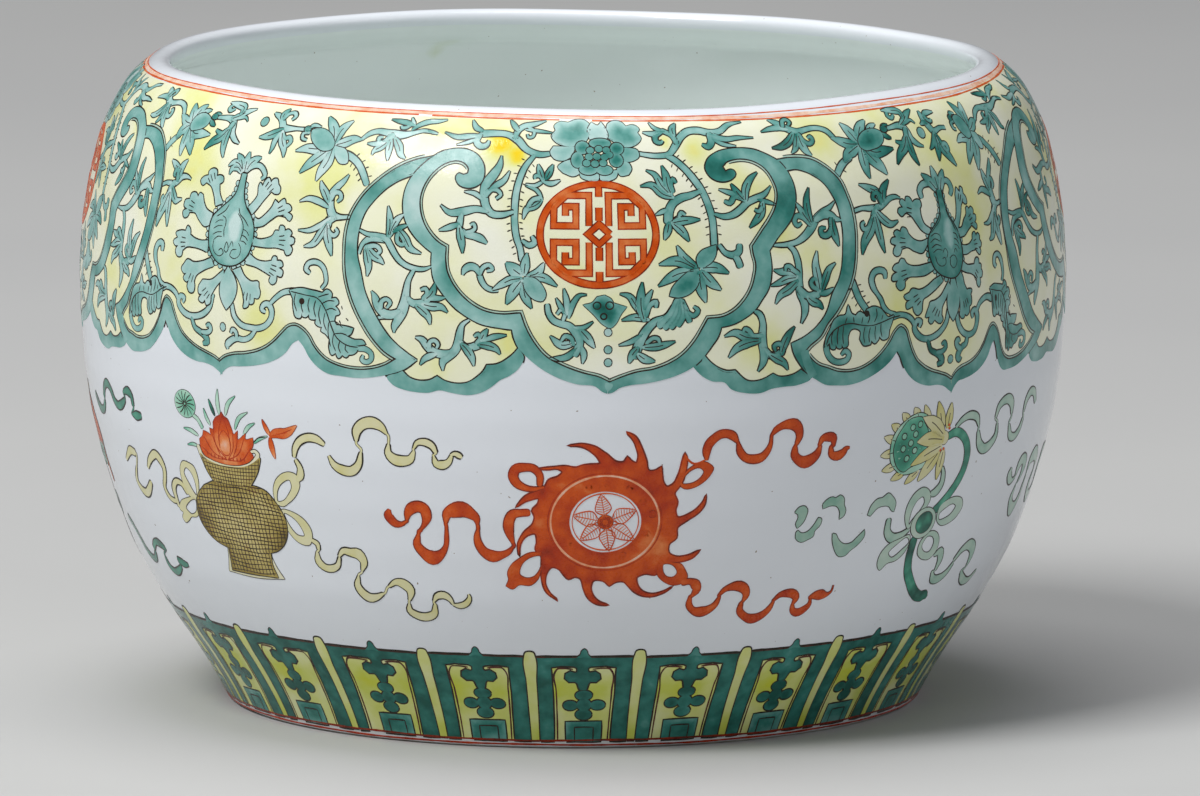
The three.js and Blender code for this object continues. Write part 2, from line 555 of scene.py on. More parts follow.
FRAME_L_IN = "-33.4,150.8 -33.3,151.9 -34.4,153.2 -36.8,153.9 -39.5,153.2 -42.4,151 -44.6,147.6 -45.4,143.8 -44.6,139.9 -42.4,136.3 -39.8,133.9 -37.9,132.9| -37.9,130 -37.4,127.3 -36.3,125 -34.5,122.5 -31.6,119.9 -28,118 -24,117.3 -19.3,117.6| -18.2,114.6 -16.2,110.9 -13,107.2 -9.1,105.1 -4.3,103.3 -0.4,102.3 2.05,101.1"
FRAME_L_OUT = "-33.7,150.6 -34.7,150.35 -35.8,150.7 -36.5,149.9 -35.8,148.2 -33.8,147.3 -31.6,147.5 -29.9,148.6 -29.3,150.5 -29.5,152.5 -31,155 -34,156.6 -37.5,156.8 -41,155.9 -44.5,153.5 -46.5,151.5 -49,147.5 -49.6,143 -48.9,139.5 -46.5,135.8 -43.5,133 -41.3,131.5| -41.2,128.5 -40.3,124.8 -38.6,122.4 -36,119.4 -32.5,116.8 -29,115.05 -24.7,114.2 -21.2,113.8| -20.8,112 -19.7,109.4 -18.2,107.7 -15.2,105.1 -10.8,102.5 -5.6,100.7 -1.3,100.1 0.4,98.8 1.5,98.4"
FRAME_R_IN = "2,101.1 4.8,102.2 8.7,103.4 12.6,104 16.5,105.4 20,107.6 22.7,110.6 24.7,113.8 25.9,115.8| 29.55,116.1 32.2,117.2 34.8,119.4 36.9,122.4 38,125.5 38.5,128.5 38,131.1 37.8,132.8| 40.8,136.5 43,139.1 44.95,142.1 45.8,145.6 45.2,148.6 43.9,151.2 41.7,153.2 39.1,154.3 35.6,154.5 33,153.8 31.9,152.7"
FRAME_R_OUT = "32.6,151.4 33.9,151.9 34.8,151.65 35.2,150.8 34.3,149.7 32.2,149.05 30,149.3 28,150.8 27.4,152.5 28.3,154.7 30.4,156.2 33.9,157.1 37.4,157.2 41.3,156.6 44.7,155.1 47.8,153 49.9,149.5 50.6,146 50.4,143 49.1,139.5 46.9,136.9 44.3,134.3 42.1,131.5| 42.35,128.5 42.1,125.5 41.3,122.4 39.5,119.8 37.4,117.2 34.8,115.5 31.7,114.2 29.1,113.75| 28.3,111.6 26.5,109 25,107 22.2,104.4 18.3,102.5 14.4,101.4 10.5,100.7 6.6,100.3 4.4,99.7 2.7,98.6 1.6,98.4"
CRES_L_L = "-43.3,154.6 -47.3,153.6 -51.2,152 -55.2,149.3 -58.8,146 -61.4,142.6 -63,139.4 -63.8,135.5 -63.8,130.5 -63.1,125.2 -61.3,119.6 -58.6,114.6 -55.5,110.2 -52.4,107.2 -49.6,105.7"
CRES_L_R = "-47.9,149.8 -51.2,148.4 -54.2,146.45 -57.2,143.4 -59.4,140.4 -60.5,136.9 -60.7,130.4 -59.4,126.3 -57.7,120.7 -54.8,115.5 -51.2,110.7 -47.3,107.5 -44.4,105.7"
CRES_R_R = "47.1,153.6 51.2,153.8 54.7,153.5 57,152.9 59.6,151.4 62,149.3 63.9,146.9 65,143.8 65.9,140.4 66.2,136.9 65.9,131 65.2,127.1 63.9,122.8 61.8,118.9 59.2,115.4 57,113.2 54.7,109.9 52.1,108.1 50.8,106.8"
CRES_R_L = "49.1,150.8 51.7,151 54.7,150.1 57,148.8 59.2,146.9 60.9,144.3 62.2,141.2 62.6,138.6 62.85,134.7 62.4,130.7 61.8,127.1 60.5,123.2 58.7,120.2 56.4,115.1 53.4,112 49.9,109.8 47.1,108.8| 47.8,106.4 49.1,104.2 50.8,102 53,100.1"
LOW_L_OUT = "-44.4,105.7| -47.7,103.3 -51.2,102 -55.5,101 -60,100.5 -64.3,100.7 -67.8,101 -70.8,102.5 -73,104.6 -74.7,107.2 -76,108.5| -77.5,107.7 -79.9,105 -83.8,102.7 -88.1,101.4 -93.8,100.5 -97.2,100.1 -99,99.2 -100.7,97.7"
LOW_L_IN = "-49.6,105.7| -52.5,104 -55.9,102.9 -61.25,102.5 -65.2,103.1 -68.6,104.4 -71.7,107.2 -73.4,109.8 -75.1,111.2 -76.9,111.8 -78.6,111.4 -80.3,110 -82.5,107.9 -85.1,106 -88.1,104.6 -92,103.6 -95.95,103 -99,102 -100.9,100.7"
LOW_R_OUT = "53,100.1| 57,98 59.6,97.7 62.6,97.5 66.5,98 70.4,99.3 73.9,101.1 76.1,102.8 77.6,104.5| 78.5,103.2 80,100.2 82.6,97.4 85.6,95.7 88.7,94.9 91.7,94.8 94.3,94.1 96.2,92.9 97.1,92.4"
LOW_R_IN = "50.8,106.8| 52.5,104.6 54.7,102.9 57,102.1 59.6,101.1 63.1,100.6 66.5,101 70,102.4 73,104.5 75.6,107.1 77.2,109.3 78.7,110.2 80,109.3 81.1,106.7 82.2,104.1 83.9,101.5 86.1,99.8 89.1,98.3 92.6,97.2 94.7,96.5 96.7,95.4"
LOBE_L = "-48.1,102.9| -46.4,101.4 -43.8,100.7 -41.2,101 -39.45,102| -37.7,101 -35.1,100.4 -32.1,100.7 -29.5,102.3 -27.7,104.2 -27.3,105.1| -25.1,105.3 -22.5,106.6 -20.4,108.5 -19.7,109.4| -18.4,107.2 -19.5,104.6 -21.7,102.7 -24.3,101.4 -25.6,100.3 -28.2,98.6 -31.6,97.7 -36,98.1 -39,98.6 -41.6,97.9 -44.7,97.9 -48.1,98.4 -50.7,99.4 -52.2,101.2 -49.4,102.3|"
LOBE_R = "25,107| 26.3,105.5 28.3,104 30.4,103.1 32.6,103.1| 33.9,101.8 35.6,100.5 38.2,100.2 40.8,101 42.35,101.8| 43.9,101 46.5,101 48.6,101.6 49.7,102.3| 52.5,99.9 49.1,98.6 45.2,98.4 42.1,98.1 39.5,97.3 35.2,97.5 31.7,98.6 30,100.3 27,100.7 23.9,102.5 22.2,104.4|"


def envelope():
    """Lower edge of the whole border, round the belly."""
    us, ss = [], []
    for k in range(-2, 3):
        for T, t in ((TL(k), LOW_L_OUT), (TL(k), FRAME_L_OUT.split("|")[-1]), (TR(k), LOW_R_OUT), (TR(k), FRAME_R_OUT.split("|")[-1]),
                     (TL(k), LOBE_L.split("|")[4]), (TR(k), LOBE_R.split("|")[4])):
            p = T(corners(t, closed=False, step=0.4))
            us.append(p[:, 0])
            ss.append(p[:, 1])
    us, ss = np.concatenate(us), np.concatenate(ss)
    us = (us + PERIOD / 2) % PERIOD - PERIOD / 2
    n = 900
    u = -PERIOD / 2 + (np.arange(n) + 0.5) * PERIOD / n
    lo = np.array([ss[np.abs(us - x) < 0.7].min() if (np.abs(us - x) < 0.7).any() else np.nan for x in u])
    ok = ~np.isnan(lo)
    return u, np.interp(u, u[ok], lo[ok])


ENV_U, ENV_S = envelope()


def edge_line(loop, T, w=0.72, h=0.125, cuts=()):
    """The dark line round a band. It is left out where the band borders the white."""
    c = T(np.vstack([loop, loop[:1]]))
    u = (c[:, 0] + PERIOD / 2) % PERIOD - PERIOD / 2
    keep = c[:, 1] - np.interp(u, ENV_U, ENV_S) > 0.9
    d = np.concatenate([[0], np.cumsum(np.linalg.norm(np.diff(c, axis=0), axis=1))])
    ww = w * (1 + wave(d, RNG.uniform(0, 50), 0.22))
    p = np.column_stack([c, ww])
    first = None
    for i in range(len(c) + 1):
        if i < len(c) and keep[i]:
            first = i if first is None else first
        elif first is not None:
            if i - first > 4:
                ribbon(buf(INKB), p[first:i], h, 0.5, flat=True)
            first = None
        if i in cuts and first is not None:
            if i + 1 - first > 4:
                ribbon(buf(INKB), p[first : i + 1], h, 0.5, flat=True)
            first = None


def band(T, a, b, h, tone, spots=()):
    """A green band between two traced edges."""
    pa, pb = corners(a, closed=False), corners(b, closed=False)
    if np.linalg.norm(pa[0] - pb[0]) > np.linalg.norm(pa[0] - pb[-1]):
        pb = pb[::-1]
    loop = np.vstack([pa, pb[::-1]])
    cuts = [len(pa) - 1] if np.linalg.norm(pa[-1] - pb[-1]) < 12 and pa[-1][1] < 112 else []
    if pa[0][1] < 112:
        cuts.append(len(loop) - 1)
    edge_line(loop, T, cuts=cuts)
    fill(GB, [loop], h, tone=tone, rim=0.05, deep=-0.04, T=T, spots=spots, vary=0.14)


def inner_line(T, a, dist, start=0, stop=None):
    c = offset(corners(a, closed=False), dist)[start:stop]
    line(INKB, c, w=0.26, h=0.14, T=T, sampled=True)
    m = offset(corners(a, closed=False), dist * 0.5)[start:stop]
    ribbon(buf("border_enamel_pale"), np.column_stack([T(m), np.full(len(m), abs(dist) * 0.9)]), 0.09, 0.4, flat=True)


def border(k):
    L, R = TL(k), TR(k)
    sp = [(-37, 126, 3.5, 0.35), (-46, 140, 8, -0.2), (-32, 150, 5, 0.15), (30, 153, 5, 0.25), (49, 147, 7, 0.25), (-15, 104, 8, 0.1)] if k == 0 else []
    band(L, FRAME_L_OUT, FRAME_L_IN, 0.154, 0.45, sp)
    band(R, FRAME_R_OUT, FRAME_R_IN, 0.157, 0.5, sp)
    band(L, CRES_L_L, CRES_L_R, 0.142, 0.5)
    band(R, CRES_R_R, CRES_R_L, 0.145, 0.55)
    band(L, LOW_L_OUT, LOW_L_IN, 0.148, 0.55)
    band(R, LOW_R_OUT, LOW_R_IN, 0.151, 0.58)
    e = curve(np.array([[50.6, 106.8], [51.2, 104.6], [52.1, 102.4], [53.2, 100.3]]), step=0.5)[:, :2]
    ribbon(buf(GB), np.column_stack([R(e), np.full(len(e), 2.2)]), 0.155, 0.57, flat=True)
    tip, top = (min(corners(t, closed=False)[[0, -1]], key=lambda q: q[1]) for t in (FRAME_L_OUT, FRAME_L_IN))
    e = np.array([tip + (top - tip) * f for f in (0.28, 0.45, 0.62, 0.8, 0.95)])
    ribbon(buf(GB), np.column_stack([L(e), [0.7, 1.4, 1.9, 2.0, 1.6]]), 0.161, 0.48, flat=True)
    for T, t in ((L, LOBE_L), (R, LOBE_R)):
        lp = corners(t, closed=False)
        edge_line(lp, T)
        fill(GB, [lp], 0.138, tone=0.55, rim=0.05, T=T, vary=0.16)
    inner_line(L, FRAME_L_IN, 0.8, 2)
    inner_line(R, FRAME_R_IN, 0.8, 0, -3)
    inner_line(L, CRES_L_L, -0.85, 3)
    inner_line(R, CRES_R_R, 0.85, 3)
    inner_line(L, LOW_L_IN, -0.75, 2)
    inner_line(R, LOW_R_IN, 0.75, 2)


def ground():
    """The pale yellow ground between the border's lower edge and the lines under the lip."""
    n, u, lo = len(ENV_U), ENV_U, ENV_S + 1.2
    m = 34
    t = np.linspace(0, 1, m)[:, None]
    top = 165.9 + 0.25 * np.sin(u * 0.05)
    top = top - 1.2 * smooth01((u - 10) / 60) * smooth01((150 - u) / 40)
    S = lo[None] * (1 - t) + top[None] * t
    U = np.broadcast_to(u[None], S.shape)
    spots = [(-26, 158.5, 2.6, 0.75), (-20.8, 155.5, 2.4, 0.8), (-24, 160, 2.0, 0.4), (17.5, 159.5, 1.8, 0.5), (24.5, 157, 3.2, 0.3),
             (-47, 158, 7, 0.22), (-8, 111, 6, 0.2), (44, 135, 5, 0.22), (38, 110, 7, 0.22), (-22, 111, 4, 0.25), (60, 158, 8, 0.2),
             (-70, 150, 9, 0.22), (-88, 110, 8, 0.22), (80, 115, 9, 0.25), (110, 150, 12, 0.25), (-118, 150, 12, 0.3)]
    tone = 0.27 + spots_tone(U, S, spots) + 0.10 * np.sin(U * 0.083 + 1) * np.sin(S * 0.11 + U * 0.03) + 0.08 * np.sin(U * 0.21 + S * 0.17)
    b = buf("ground_enamel_yellow")
    a0 = b.points(wrap(U.ravel(), S.ravel(), np.full(U.size, 0.05)), tone.ravel())
    a1 = b.points(wrap(U.ravel(), S.ravel(), np.full(U.size, -SINK)), tone.ravel())
    i = (np.arange(m - 1)[:, None] * n + np.arange(n)[None]).ravel()
    j = (np.arange(m - 1)[:, None] * n + (np.arange(n)[None] + 1) % n).ravel()
    b.quads(np.column_stack([i, j, j + n, i + n]) + a0, True)
    b.quads(np.column_stack([i, i + n, j + n, j]) + a1, False)
    e, f = np.arange(n), (np.arange(n) + 1) % n
    b.quads(np.column_stack([e + a1, f + a1, f + a0, e + a0]), False)
    q = (m - 1) * n
    b.quads(np.column_stack([e + a0 + q, f + a0 + q, f + a1 + q, e + a1 + q]), False)


# ---------------------------------------------------------------- scrolling plants


def st(T, layer, tone, text, edge=0.34):
    stroke(G, INK, nums(text), layer=layer, tone=tone, T=T, edge=edge)


def lf(T, w, text, layer=2, tone=0.5, vein=False):
    leaf(G, INK, nums(text), w, layer=layer, tone=tone, T=T, vein=vein)


def many(T, rows, layer=2, tone=0.5):
    """Rows of leaves, 'width | base ... tip', and strokes, 'S | u,s,w ...'."""
    for row in rows.strip().splitlines():
        if "|" not in row:
            continue
        head, body = row.split("|")
        head = head.split()
        lay = int(head[1]) if len(head) > 1 else layer
        tn = float(head[2]) if len(head) > 2 else tone + RNG.uniform(-0.12, 0.12)
        if head[0] == "S":
            st(T, lay, tn, body)
        elif head[0] == "I":
            line(INK, nums(body), w=0.3, h=0.27, T=T)
        else:
            lf(T, float(head[0]), body, lay, tn)


def hairs(T, text, gap=1.9, reach=0.9, off=0.75):
    """Short ticks on both sides of a stem."""
    c = curve(nums(text)[:, :2], step=0.5)
    d = np.concatenate([[0], np.cumsum(np.linalg.norm(np.diff(c, axis=0), axis=1))])
    for x in np.arange(1.5, d[-1] - 1, gap):
        p = np.array([np.interp(x, d, c[:, 0]), np.interp(x, d, c[:, 1])])
        q = np.array([np.interp(x + 0.3, d, c[:, 0]), np.interp(x + 0.3, d, c[:, 1])])
        t = (q - p) / max(np.linalg.norm(q - p), 1e-6)
        n = np.array([-t[1], t[0]])
        for sgn in (-1, 1):
            j = RNG.uniform(-0.25, 0.25)
            a = p + n * sgn * (off + 0.35) + t * j
            line(INK, [a, a + n * sgn * reach + t * 0.25], w=0.3, h=0.12, T=T, step=0.5)


LEFT_PLANTS = """
S 0 .45 | -16.7,155.7,1 -19,152.6,1.3 -20.2,149.5,1.4 -20.9,146.1,1.5 -21.1,142.7,1.5 -21,139,1.5 -20.5,135.9,1.4 -19.5,133,1.3 -19.05,130.5,1.2
S 0 .42 | -11,156.7,.9 -12.4,156.35,1 -15.3,156,1.4 -18.7,157.2,1.5 -21.4,159.8,1.8 -24.2,161.1,1.5 -27.6,161.3,1.6 -30.6,161.1,1.9
1.4 1 | -30.6,161.8 -32.6,162.6 -34.2,165.2
1.4 1 | -31.2,160.6 -34.5,160.2 -37.5,159.9 -41.2,161.1
0.9 1 | -31.5,159.9 -34.5,158.6 -37.5,157.8
S 1 .5 | -31.4,160.6,1.2 -32.2,158.9,1.6 -30.9,157.7,1.5 -29.3,158.1,1.1 -28.9,159,.7
S 1 .45 | -22,160.3,1 -21.4,162.2,1.5 -20.1,163.5,1.5 -17,164.4,1.3 -13.9,165.6,.2
1.4 2 .7 | -21.3,162 -22.3,163.5 -23.8,165.6
0.9 1 | -19.5,162.6 -16,162.3 -11.9,161.8
S 1 .45 | -18.6,163.4,.8 -17,162,.8 -17.4,160.6,.7 -18.5,160.5,.6 -18.8,161.4,.4
0.8 1 | -46,164.5 -43.5,164.4 -41.2,164.9
0.8 1 | -46,161.3 -44.5,160.9 -42.9,160.6
S 1 .5 | -21.6,141.7,.8 -24.2,141,1.3 -26.9,141.3,1.6 -28.3,143,1.8 -28.9,145.4,2.0 -28.6,148.2,2.2 -26.9,150.55,2.2 -25.5,152.9,1.5 -25.1,155.5,.15
1.5 2 | -27.8,146.7 -26,148 -24.2,149.2 -22.7,151.75
S 2 .5 | -28.4,145.6,1 -27,147,1.0 -25.5,146.8,.9 -24.7,145.8,.8 -25.7,144.9,.6
1.1 1 | -28.9,144.3 -31.3,145.9 -34.1,146.3
S 1 .45 | -27.6,141.7,1.0 -30.6,142.2,1.4 -34.1,141.5,1.8 -37.5,141.2,1.3 -39.9,142.9,.15
S 1 .5 | -34.3,141,1.0 -34.6,139.4,1.4 -34.8,138,1.6
1.4 2 | -34.6,138.6 -37.3,137.6 -39.9,136.8
1.8 2 .6 | -34.8,138.2 -34.4,136 -33.9,134 -33.6,131.5
S 1 .45 | -34.6,137.3,1.2 -33,136.2,1.5 -31,135.8,1.6 -29.2,135.2,1.6 -27.9,134.3,.7
S 1 .45 | -33.3,136.6,.7 -31.8,136.8,.9 -30.8,137.6,.8 -31.2,138.7,.7 -32,138.3,.5
S 0 .4 | -24.8,123,.6 -26,123.1,1 -27.5,123.7,1.1 -28.9,125.65,1.2 -29.4,127.6,1.2
S 1 .45 | -29.3,127,1.0 -30.2,128.2,1.5 -31.7,128.5,1.7 -32.9,127.7,1.4 -33.4,126.4,.3
S 1 .4 | -29.1,127,.9 -28.4,128.4,1.0 -26.9,129,.9 -26.1,128,.8 -27.3,127.6,.6
1.6 2 | -14.2,149.7 -15,151.5 -15.6,153.6
1.6 2 .75 | -13.6,149.7 -12.8,151.3 -11.7,153.6
1.2 2 | -14.2,149.2 -12.2,148.8 -9.8,149.7
0.9 1 | -13.8,149.6 -16.3,148.2 -18.7,148.6
S 2 .5 | -14.2,149.6,.9 -15,150.6,.9 -16.3,150.5,.8 -16.2,149.8,.5
0.9 1 | -14.2,144.6 -15.6,147 -18.7,148.2
1.7 1 | -14.3,144.8 -16,143.4 -18,142.6 -19,140
S 2 .5 | -15.2,145.2,1.0 -16.5,144.8,1.0 -17.4,143.9,.9 -18,143,.6
S 1 .45 | -18.9,134.9,.7 -17.3,133.9,1.3 -16,134.6,1.3 -16.6,135.9,.7
2.2 2 .5 | -18.5,126.6 -18.2,129.5 -17.8,132.1
3.2 2 .5 | -18.8,126.6 -20.5,127.7 -23,129.7
1.9 2 .45 | -18.8,126 -21.6,125.6 -23.6,124.6 -26.1,123.1
2.7 2 .45 | -18.8,125.8 -20.8,123.2 -22.7,119.7
2.2 2 .45 | -18.6,125.6 -18.2,122 -16.5,118.8
2.0 2 .45 | -18,126.3 -14,126.3 -10.4,124.2
2.0 2 .4 | -17.6,126.6 -15.4,127.2 -13.6,129.8
S 1 .5 | -12.8,119.6,1.0 -12.5,117.8,1.2 -11.2,116,1.4 -9.6,115.3,1.5 -7.7,114.8,1.6 -6.1,113.2,1.8 -5.2,110.7,2.0 -6.1,108,1.4
1.0 1 | -6.6,114.4 -4.5,114.3 -1.8,115.8
2.1 1 .5 | -5.2,114 -3.4,112 -1.5,109.4
1.9 1 .5 | -6,110.8 -9.5,110.2 -12.2,112.4
S 2 .6 | -6.6,110.4,.9 -7.2,111.9,1.0 -8.6,112.3,1.0 -9.4,111.3,.6
1.4 1 | -8,117.3 -8.2,120.5 -8.9,123.8
1.1 1 | -8.4,117.3 -9.6,119.3 -10.8,121.5
1.3 1 | -7.8,116.5 -6.5,120.4 -5,122.1 -3.3,122.2
S 1 .4 | -9,116.3,.8 -8.6,117.8,.9 -9.6,118.6,.8 -10.4,117.7,.6
1.5 1 | -5.6,109.6 -8,107.4 -12.5,106.8
1.4 1 | -4.8,110 -4.1,107.6 -4.5,105.6
"""
LEFT_PETAL = "-18.5,126.3| -16.2,126.2 -13.9,124.2 -13.2,121.8 -13.9,120.7 -15.9,121 -17.9,122.9 -18.7,125|"

# leaves and stems between the frame, the crescents and the lotus panels, left half
LEFT_OUTER = """
S 0 .4 | -64,158.1,.8 -62.3,159.6,1.2 -60,160.4,1.3 -57.5,160.2,1.6 -55,159.8,2.2 -52,159.9,1.6 -49.4,160.6,1.0 -47.2,161.2,.9 -45,161,.7 -43,160.4,.15
1.5 1 | -50.6,161.2 -48.8,162.8 -46,164 -43.5,164.2 -41.2,164.8
1.5 2 .8 | -49.8,162.5 -52.5,163.3 -55,163.7 -57.4,164.1
0.9 1 | -50,162.8 -51,164 -51.6,165.2
S 1 .5 | -51.3,162.7,.9 -52.3,161.9,.9 -53.4,161.8,.8 -53.9,162.4,.5
S 1 .55 | -55.6,159.4,1.6 -56.6,158.4,1.5 -57.6,157.6,1.2 -58.9,157.6,1.2 -59.2,158.6,1 -58.3,158.9,.6
1.3 2 | -57.2,157.4 -59.8,157 -62.3,157
1.8 2 | -56.2,158 -58.3,156.2 -59.8,155.2 -60.2,154.1
1.8 2 | -55.6,158.4 -55.7,155.5 -55.5,152.9
2.1 2 .6 | -54.8,159 -53,156.6 -52,154.6 -50.6,153.7
S 1 .45 | -60.3,135.8,.6 -58.4,135.1,.9 -55.4,134.9,1.0 -53.2,134.2,1.5 -52,132.6,1.4 -50.7,130.7,1.3 -49.2,129.1,1.2 -47.2,128,1.1 -45,127.5,1.0 -43,127.5,.8 -41.1,128.2,.4
S 0 .4 | -60.2,130.2,.5 -59.4,132.6,1.0 -57.8,133.9,1.4 -55.6,134.2,1.6 -53.6,134.1,1.6
1.9 2 | -58.6,131.8 -57.8,129.4 -57.3,127 -57.6,125
2.0 2 | -58,131.8 -56,129.9 -54.3,129 -53.3,128.1
S 2 .5 | -58.2,131.8,1.4 -56.4,132.4,1.0 -55.2,132.1,1.0 -54.6,131.1,.9 -55.4,130.4,.6
1.7 2 | -52.9,134.6 -52.5,137 -52.8,139.6 -53.5,142.1
1.9 2 | -52.5,134.5 -51.8,137 -50.6,139 -48.9,140.4
1.2 3 .75 | -51.6,135.8 -49.8,137 -47.6,137.8
1.9 2 .5 | -50.6,137 -48.4,134.6 -46.8,132.2 -43.9,131.1
S 2 .6 | -49.8,136.4,1.1 -50.4,135,1.0 -50.2,133.6,.9 -49,133,.9 -48,133.7,.8 -48.6,134.5,.5
S 1 .4 | -45.6,127.2,.8 -46.9,124.5,1.2 -47.3,122,1.6 -47.6,119.5,2.2 -48.3,117.2,2.6 -49.3,115,2.0 -50.1,113.4,1.4 -50.2,111.9,.15
S 1 .42 | -48.6,117,1.8 -50.8,116.3,1.9 -52.6,116.5,1.9 -54,117.4,1.8 -54.9,119.2,1.9 -55.4,120.4,1.4 -56.3,121.7,.15
S 0 .35 | -51,115.7,.9 -53.5,115.6,.8 -55,115.1,.5
S 2 .45 | -53.8,118,1.2 -53.5,119.3,1.0 -52.3,119.9,.9 -51.3,119.1,.9 -52,118,.6
S 1 .45 | -47.4,120.8,1.2 -45.8,119.4,1.6 -43.6,119.2,2.0 -42,119.8,1.6
1.4 2 | -42.6,120 -41,120.7 -39,120.7 -37.3,121
1.8 2 .6 | -42.6,120.2 -41,121.6 -40.4,122.9 -40.1,124.4
1.9 2 .55 | -43.4,119.2 -40.8,118.7 -38.4,118.6 -36.8,117.4
1.9 2 .55 | -45,119 -43,117.6 -41.6,116.2 -41.1,114.3
S 2 .5 | -42.9,120.6,1.0 -42,121.8,1.0 -42.5,122.9,.9 -43.5,122.6,.6
S 1 .45 | -31.5,115.9,.4 -33.2,114.6,1.0 -33.8,112.6,1.6 -34.2,110.4,1.9 -35,108.4,2.0 -36.6,107,2.0 -38,105.6,1.7 -38,103.3,.15
S 1 .42 | -35.6,107.7,1.6 -38.2,107.4,1.9 -40.4,107.9,1.9 -42,109.3,1.7 -43.2,110.7,1.4 -44.9,111.2,.15
1.5 2 | -39.4,107.4 -41.2,106.8 -42.6,106 -43.7,104.5
S 2 .5 | -41.4,109,1.0 -41.2,110.2,.9 -40,110.6,.9 -39.2,109.6,.8 -39.6,108.7,.5
S 1 .5 | -33.9,110.6,1.2 -32.4,109.3,1.4 -30,109.6,1.8 -28.4,110.6,1.9 -27.2,111.4,1.2
1.6 2 .6 | -28.8,110.8 -28,112.4 -27,113.9
1.3 2 .6 | -28,111 -25.6,111.9 -22.4,112.4
1.9 2 .65 | -29.6,110 -26.9,109.8 -25,109 -24,107.7
1.9 2 .6 | -33.6,110.2 -32,108.6 -30.9,106.8 -30.4,104.7
S 2 .6 | -29.6,110.4,1.0 -28.8,111.6,.9 -29.4,112.5,.9 -30.2,112,.6
S 0 .4 | -68.6,154.2,1.5 -66,153.4,1.6 -63.2,151.6,1.6 -61.4,149.3,1.6 -60.2,147.2,1.5
S 1 .4 | -63.9,138.8,.8 -66.2,138.6,1.0 -68.2,138.9,2.0 -69.2,140.4,2.0 -69.6,142.4,2.0 -69.4,144,1.6 -68,145.8,1.6 -66.4,147.4,1.2 -65.3,149,.15
2.0 2 .35 | -69.9,141.8 -71.2,144 -72.3,145.4 -73.1,147
1.5 2 .35 | -69.6,140.6 -73,142 -75.8,142.4 -78.5,141.5
S 2 .45 | -69.3,142.8,1.0 -68.4,144.3,1.0 -67.1,144.3,1.0 -66.6,143.1,1.0 -67.4,142.3,.6
S 1 .4 | -67.6,138.6,1.6 -69.2,137.6,2.0 -69.4,136.2,1.8
1.3 2 .35 | -68.8,138.4 -71.6,136.2 -74.4,134.9 -77.8,134.7
2.0 2 .35 | -69.4,137.4 -71.2,134.2 -73,131.8 -75.7,130.9
2.2 2 .35 | -69.6,137 -69.2,134 -68.4,131.6 -67.5,129.2
S 2 .4 | -69.3,135.6,1.0 -68.4,134.5,1.0 -67.2,134.2,1.0 -66.5,135.1,.9 -67.2,135.9,.5
S 0 .35 | -73.4,124.9,.8 -74.3,125.6,1.1 -73.9,126.9,1.1 -72.4,127.5,1.1 -70.8,127.3,1.1 -69.4,126.2,1.1 -68.7,124.5,1.0 -68.6,122.8,.8 -69.6,121.5,.7
S 0 .35 | -96.4,115.2,1.1 -95.5,112.5,1.2 -93.4,110.7,1.3 -90.4,110.2,1.3 -87.4,110.4,1.3 -85.2,111.5,1.3 -83.9,113.3,1.3 -83.9,115.2,1.3 -85,116.4,1.3 -86.4,116,1.2 -86.8,114.9,1.0 -85.9,114.5,.7
S 0 .35 | -84.5,116.4,.8 -82.6,118.2,1.1 -80.4,119.6,1.2 -78,120,1.3 -76,119.8,1.8
S 0 .35 | -88.8,109.8,.8 -90.4,108,1.1 -92.6,107.1,1.2 -94.8,107.2,1.3 -96.8,106.4,1.5 -98,105.2,1.4 -97.9,104.5,.6
S 1 .4 | -94.8,107.4,.9 -95.2,108.8,1.0 -96.2,109.2,.9 -96.7,108.4,.6
S 0 .4 | -82.2,159.3,.8 -85.4,159.2,.9 -87.6,159,1.6 -89.2,159,2.1 -90.2,160.4,1.8 -91.6,161.8,1.6 -93.2,162.4,1.2 -94.6,162.9,.15
1.9 2 .7 | -91,161.2 -91,163 -90,164.7
S 2 .5 | -90.4,161.6,1.0 -89.4,163.2,1.0 -87.8,163.5,1.0 -86.9,162.5,1.0 -87.5,161.6,.6
2.2 2 .6 | -88.8,158.8 -91.6,157.2 -94,156.3 -96.2,155.9
1.5 2 | -89.6,157.8 -90.5,155.4 -90.6,153.6 -91,152.1
2.2 2 | -89.1,158.4 -88.2,155.8 -86.8,153.8 -86.1,151.6
S 2 .5 | -88.6,157.4,1.1 -87.4,156.4,1.0 -86.2,156.8,1.1 -85.3,155.8,1.1 -86,154.7,.8
2.8 1 .4 | -71.9,156.4 -73.4,160.4 -75,162.2 -76.4,163.6
2.6 1 .4 | -71.7,156.2 -70.8,160 -69.6,161.6 -68.2,162.9
2.6 1 .4 | -71.6,155.9 -68.6,156.9 -66.4,157.8 -63.8,157.9
3.0 1 .35 | -71.8,155.6 -72.4,151.6 -73.8,149 -74.6,146.7
2.9 1 .35 | -72,155.5 -75.2,152.8 -77.6,150.8 -80,148.3
2.6 1 .35 | -72.4,155.5 -76.4,154.6 -79.8,154.5 -83,153.6
1.0 2 .5 | -80.8,159 -80.2,160.4 -77.2,160.4
S 2 .5 | -80.6,158.6,.9 -82.2,158.2,.8 -82,157,.8 -80.4,156.6,.5
"""
LEFT_OUTER_HAIRS = ["-66,153.4,1 -63.2,151.6,1 -61.4,149.3,1 -60.2,147.2,1", "-66.5,114.9,1 -64,115.4,1 -61.8,116.7,1"]
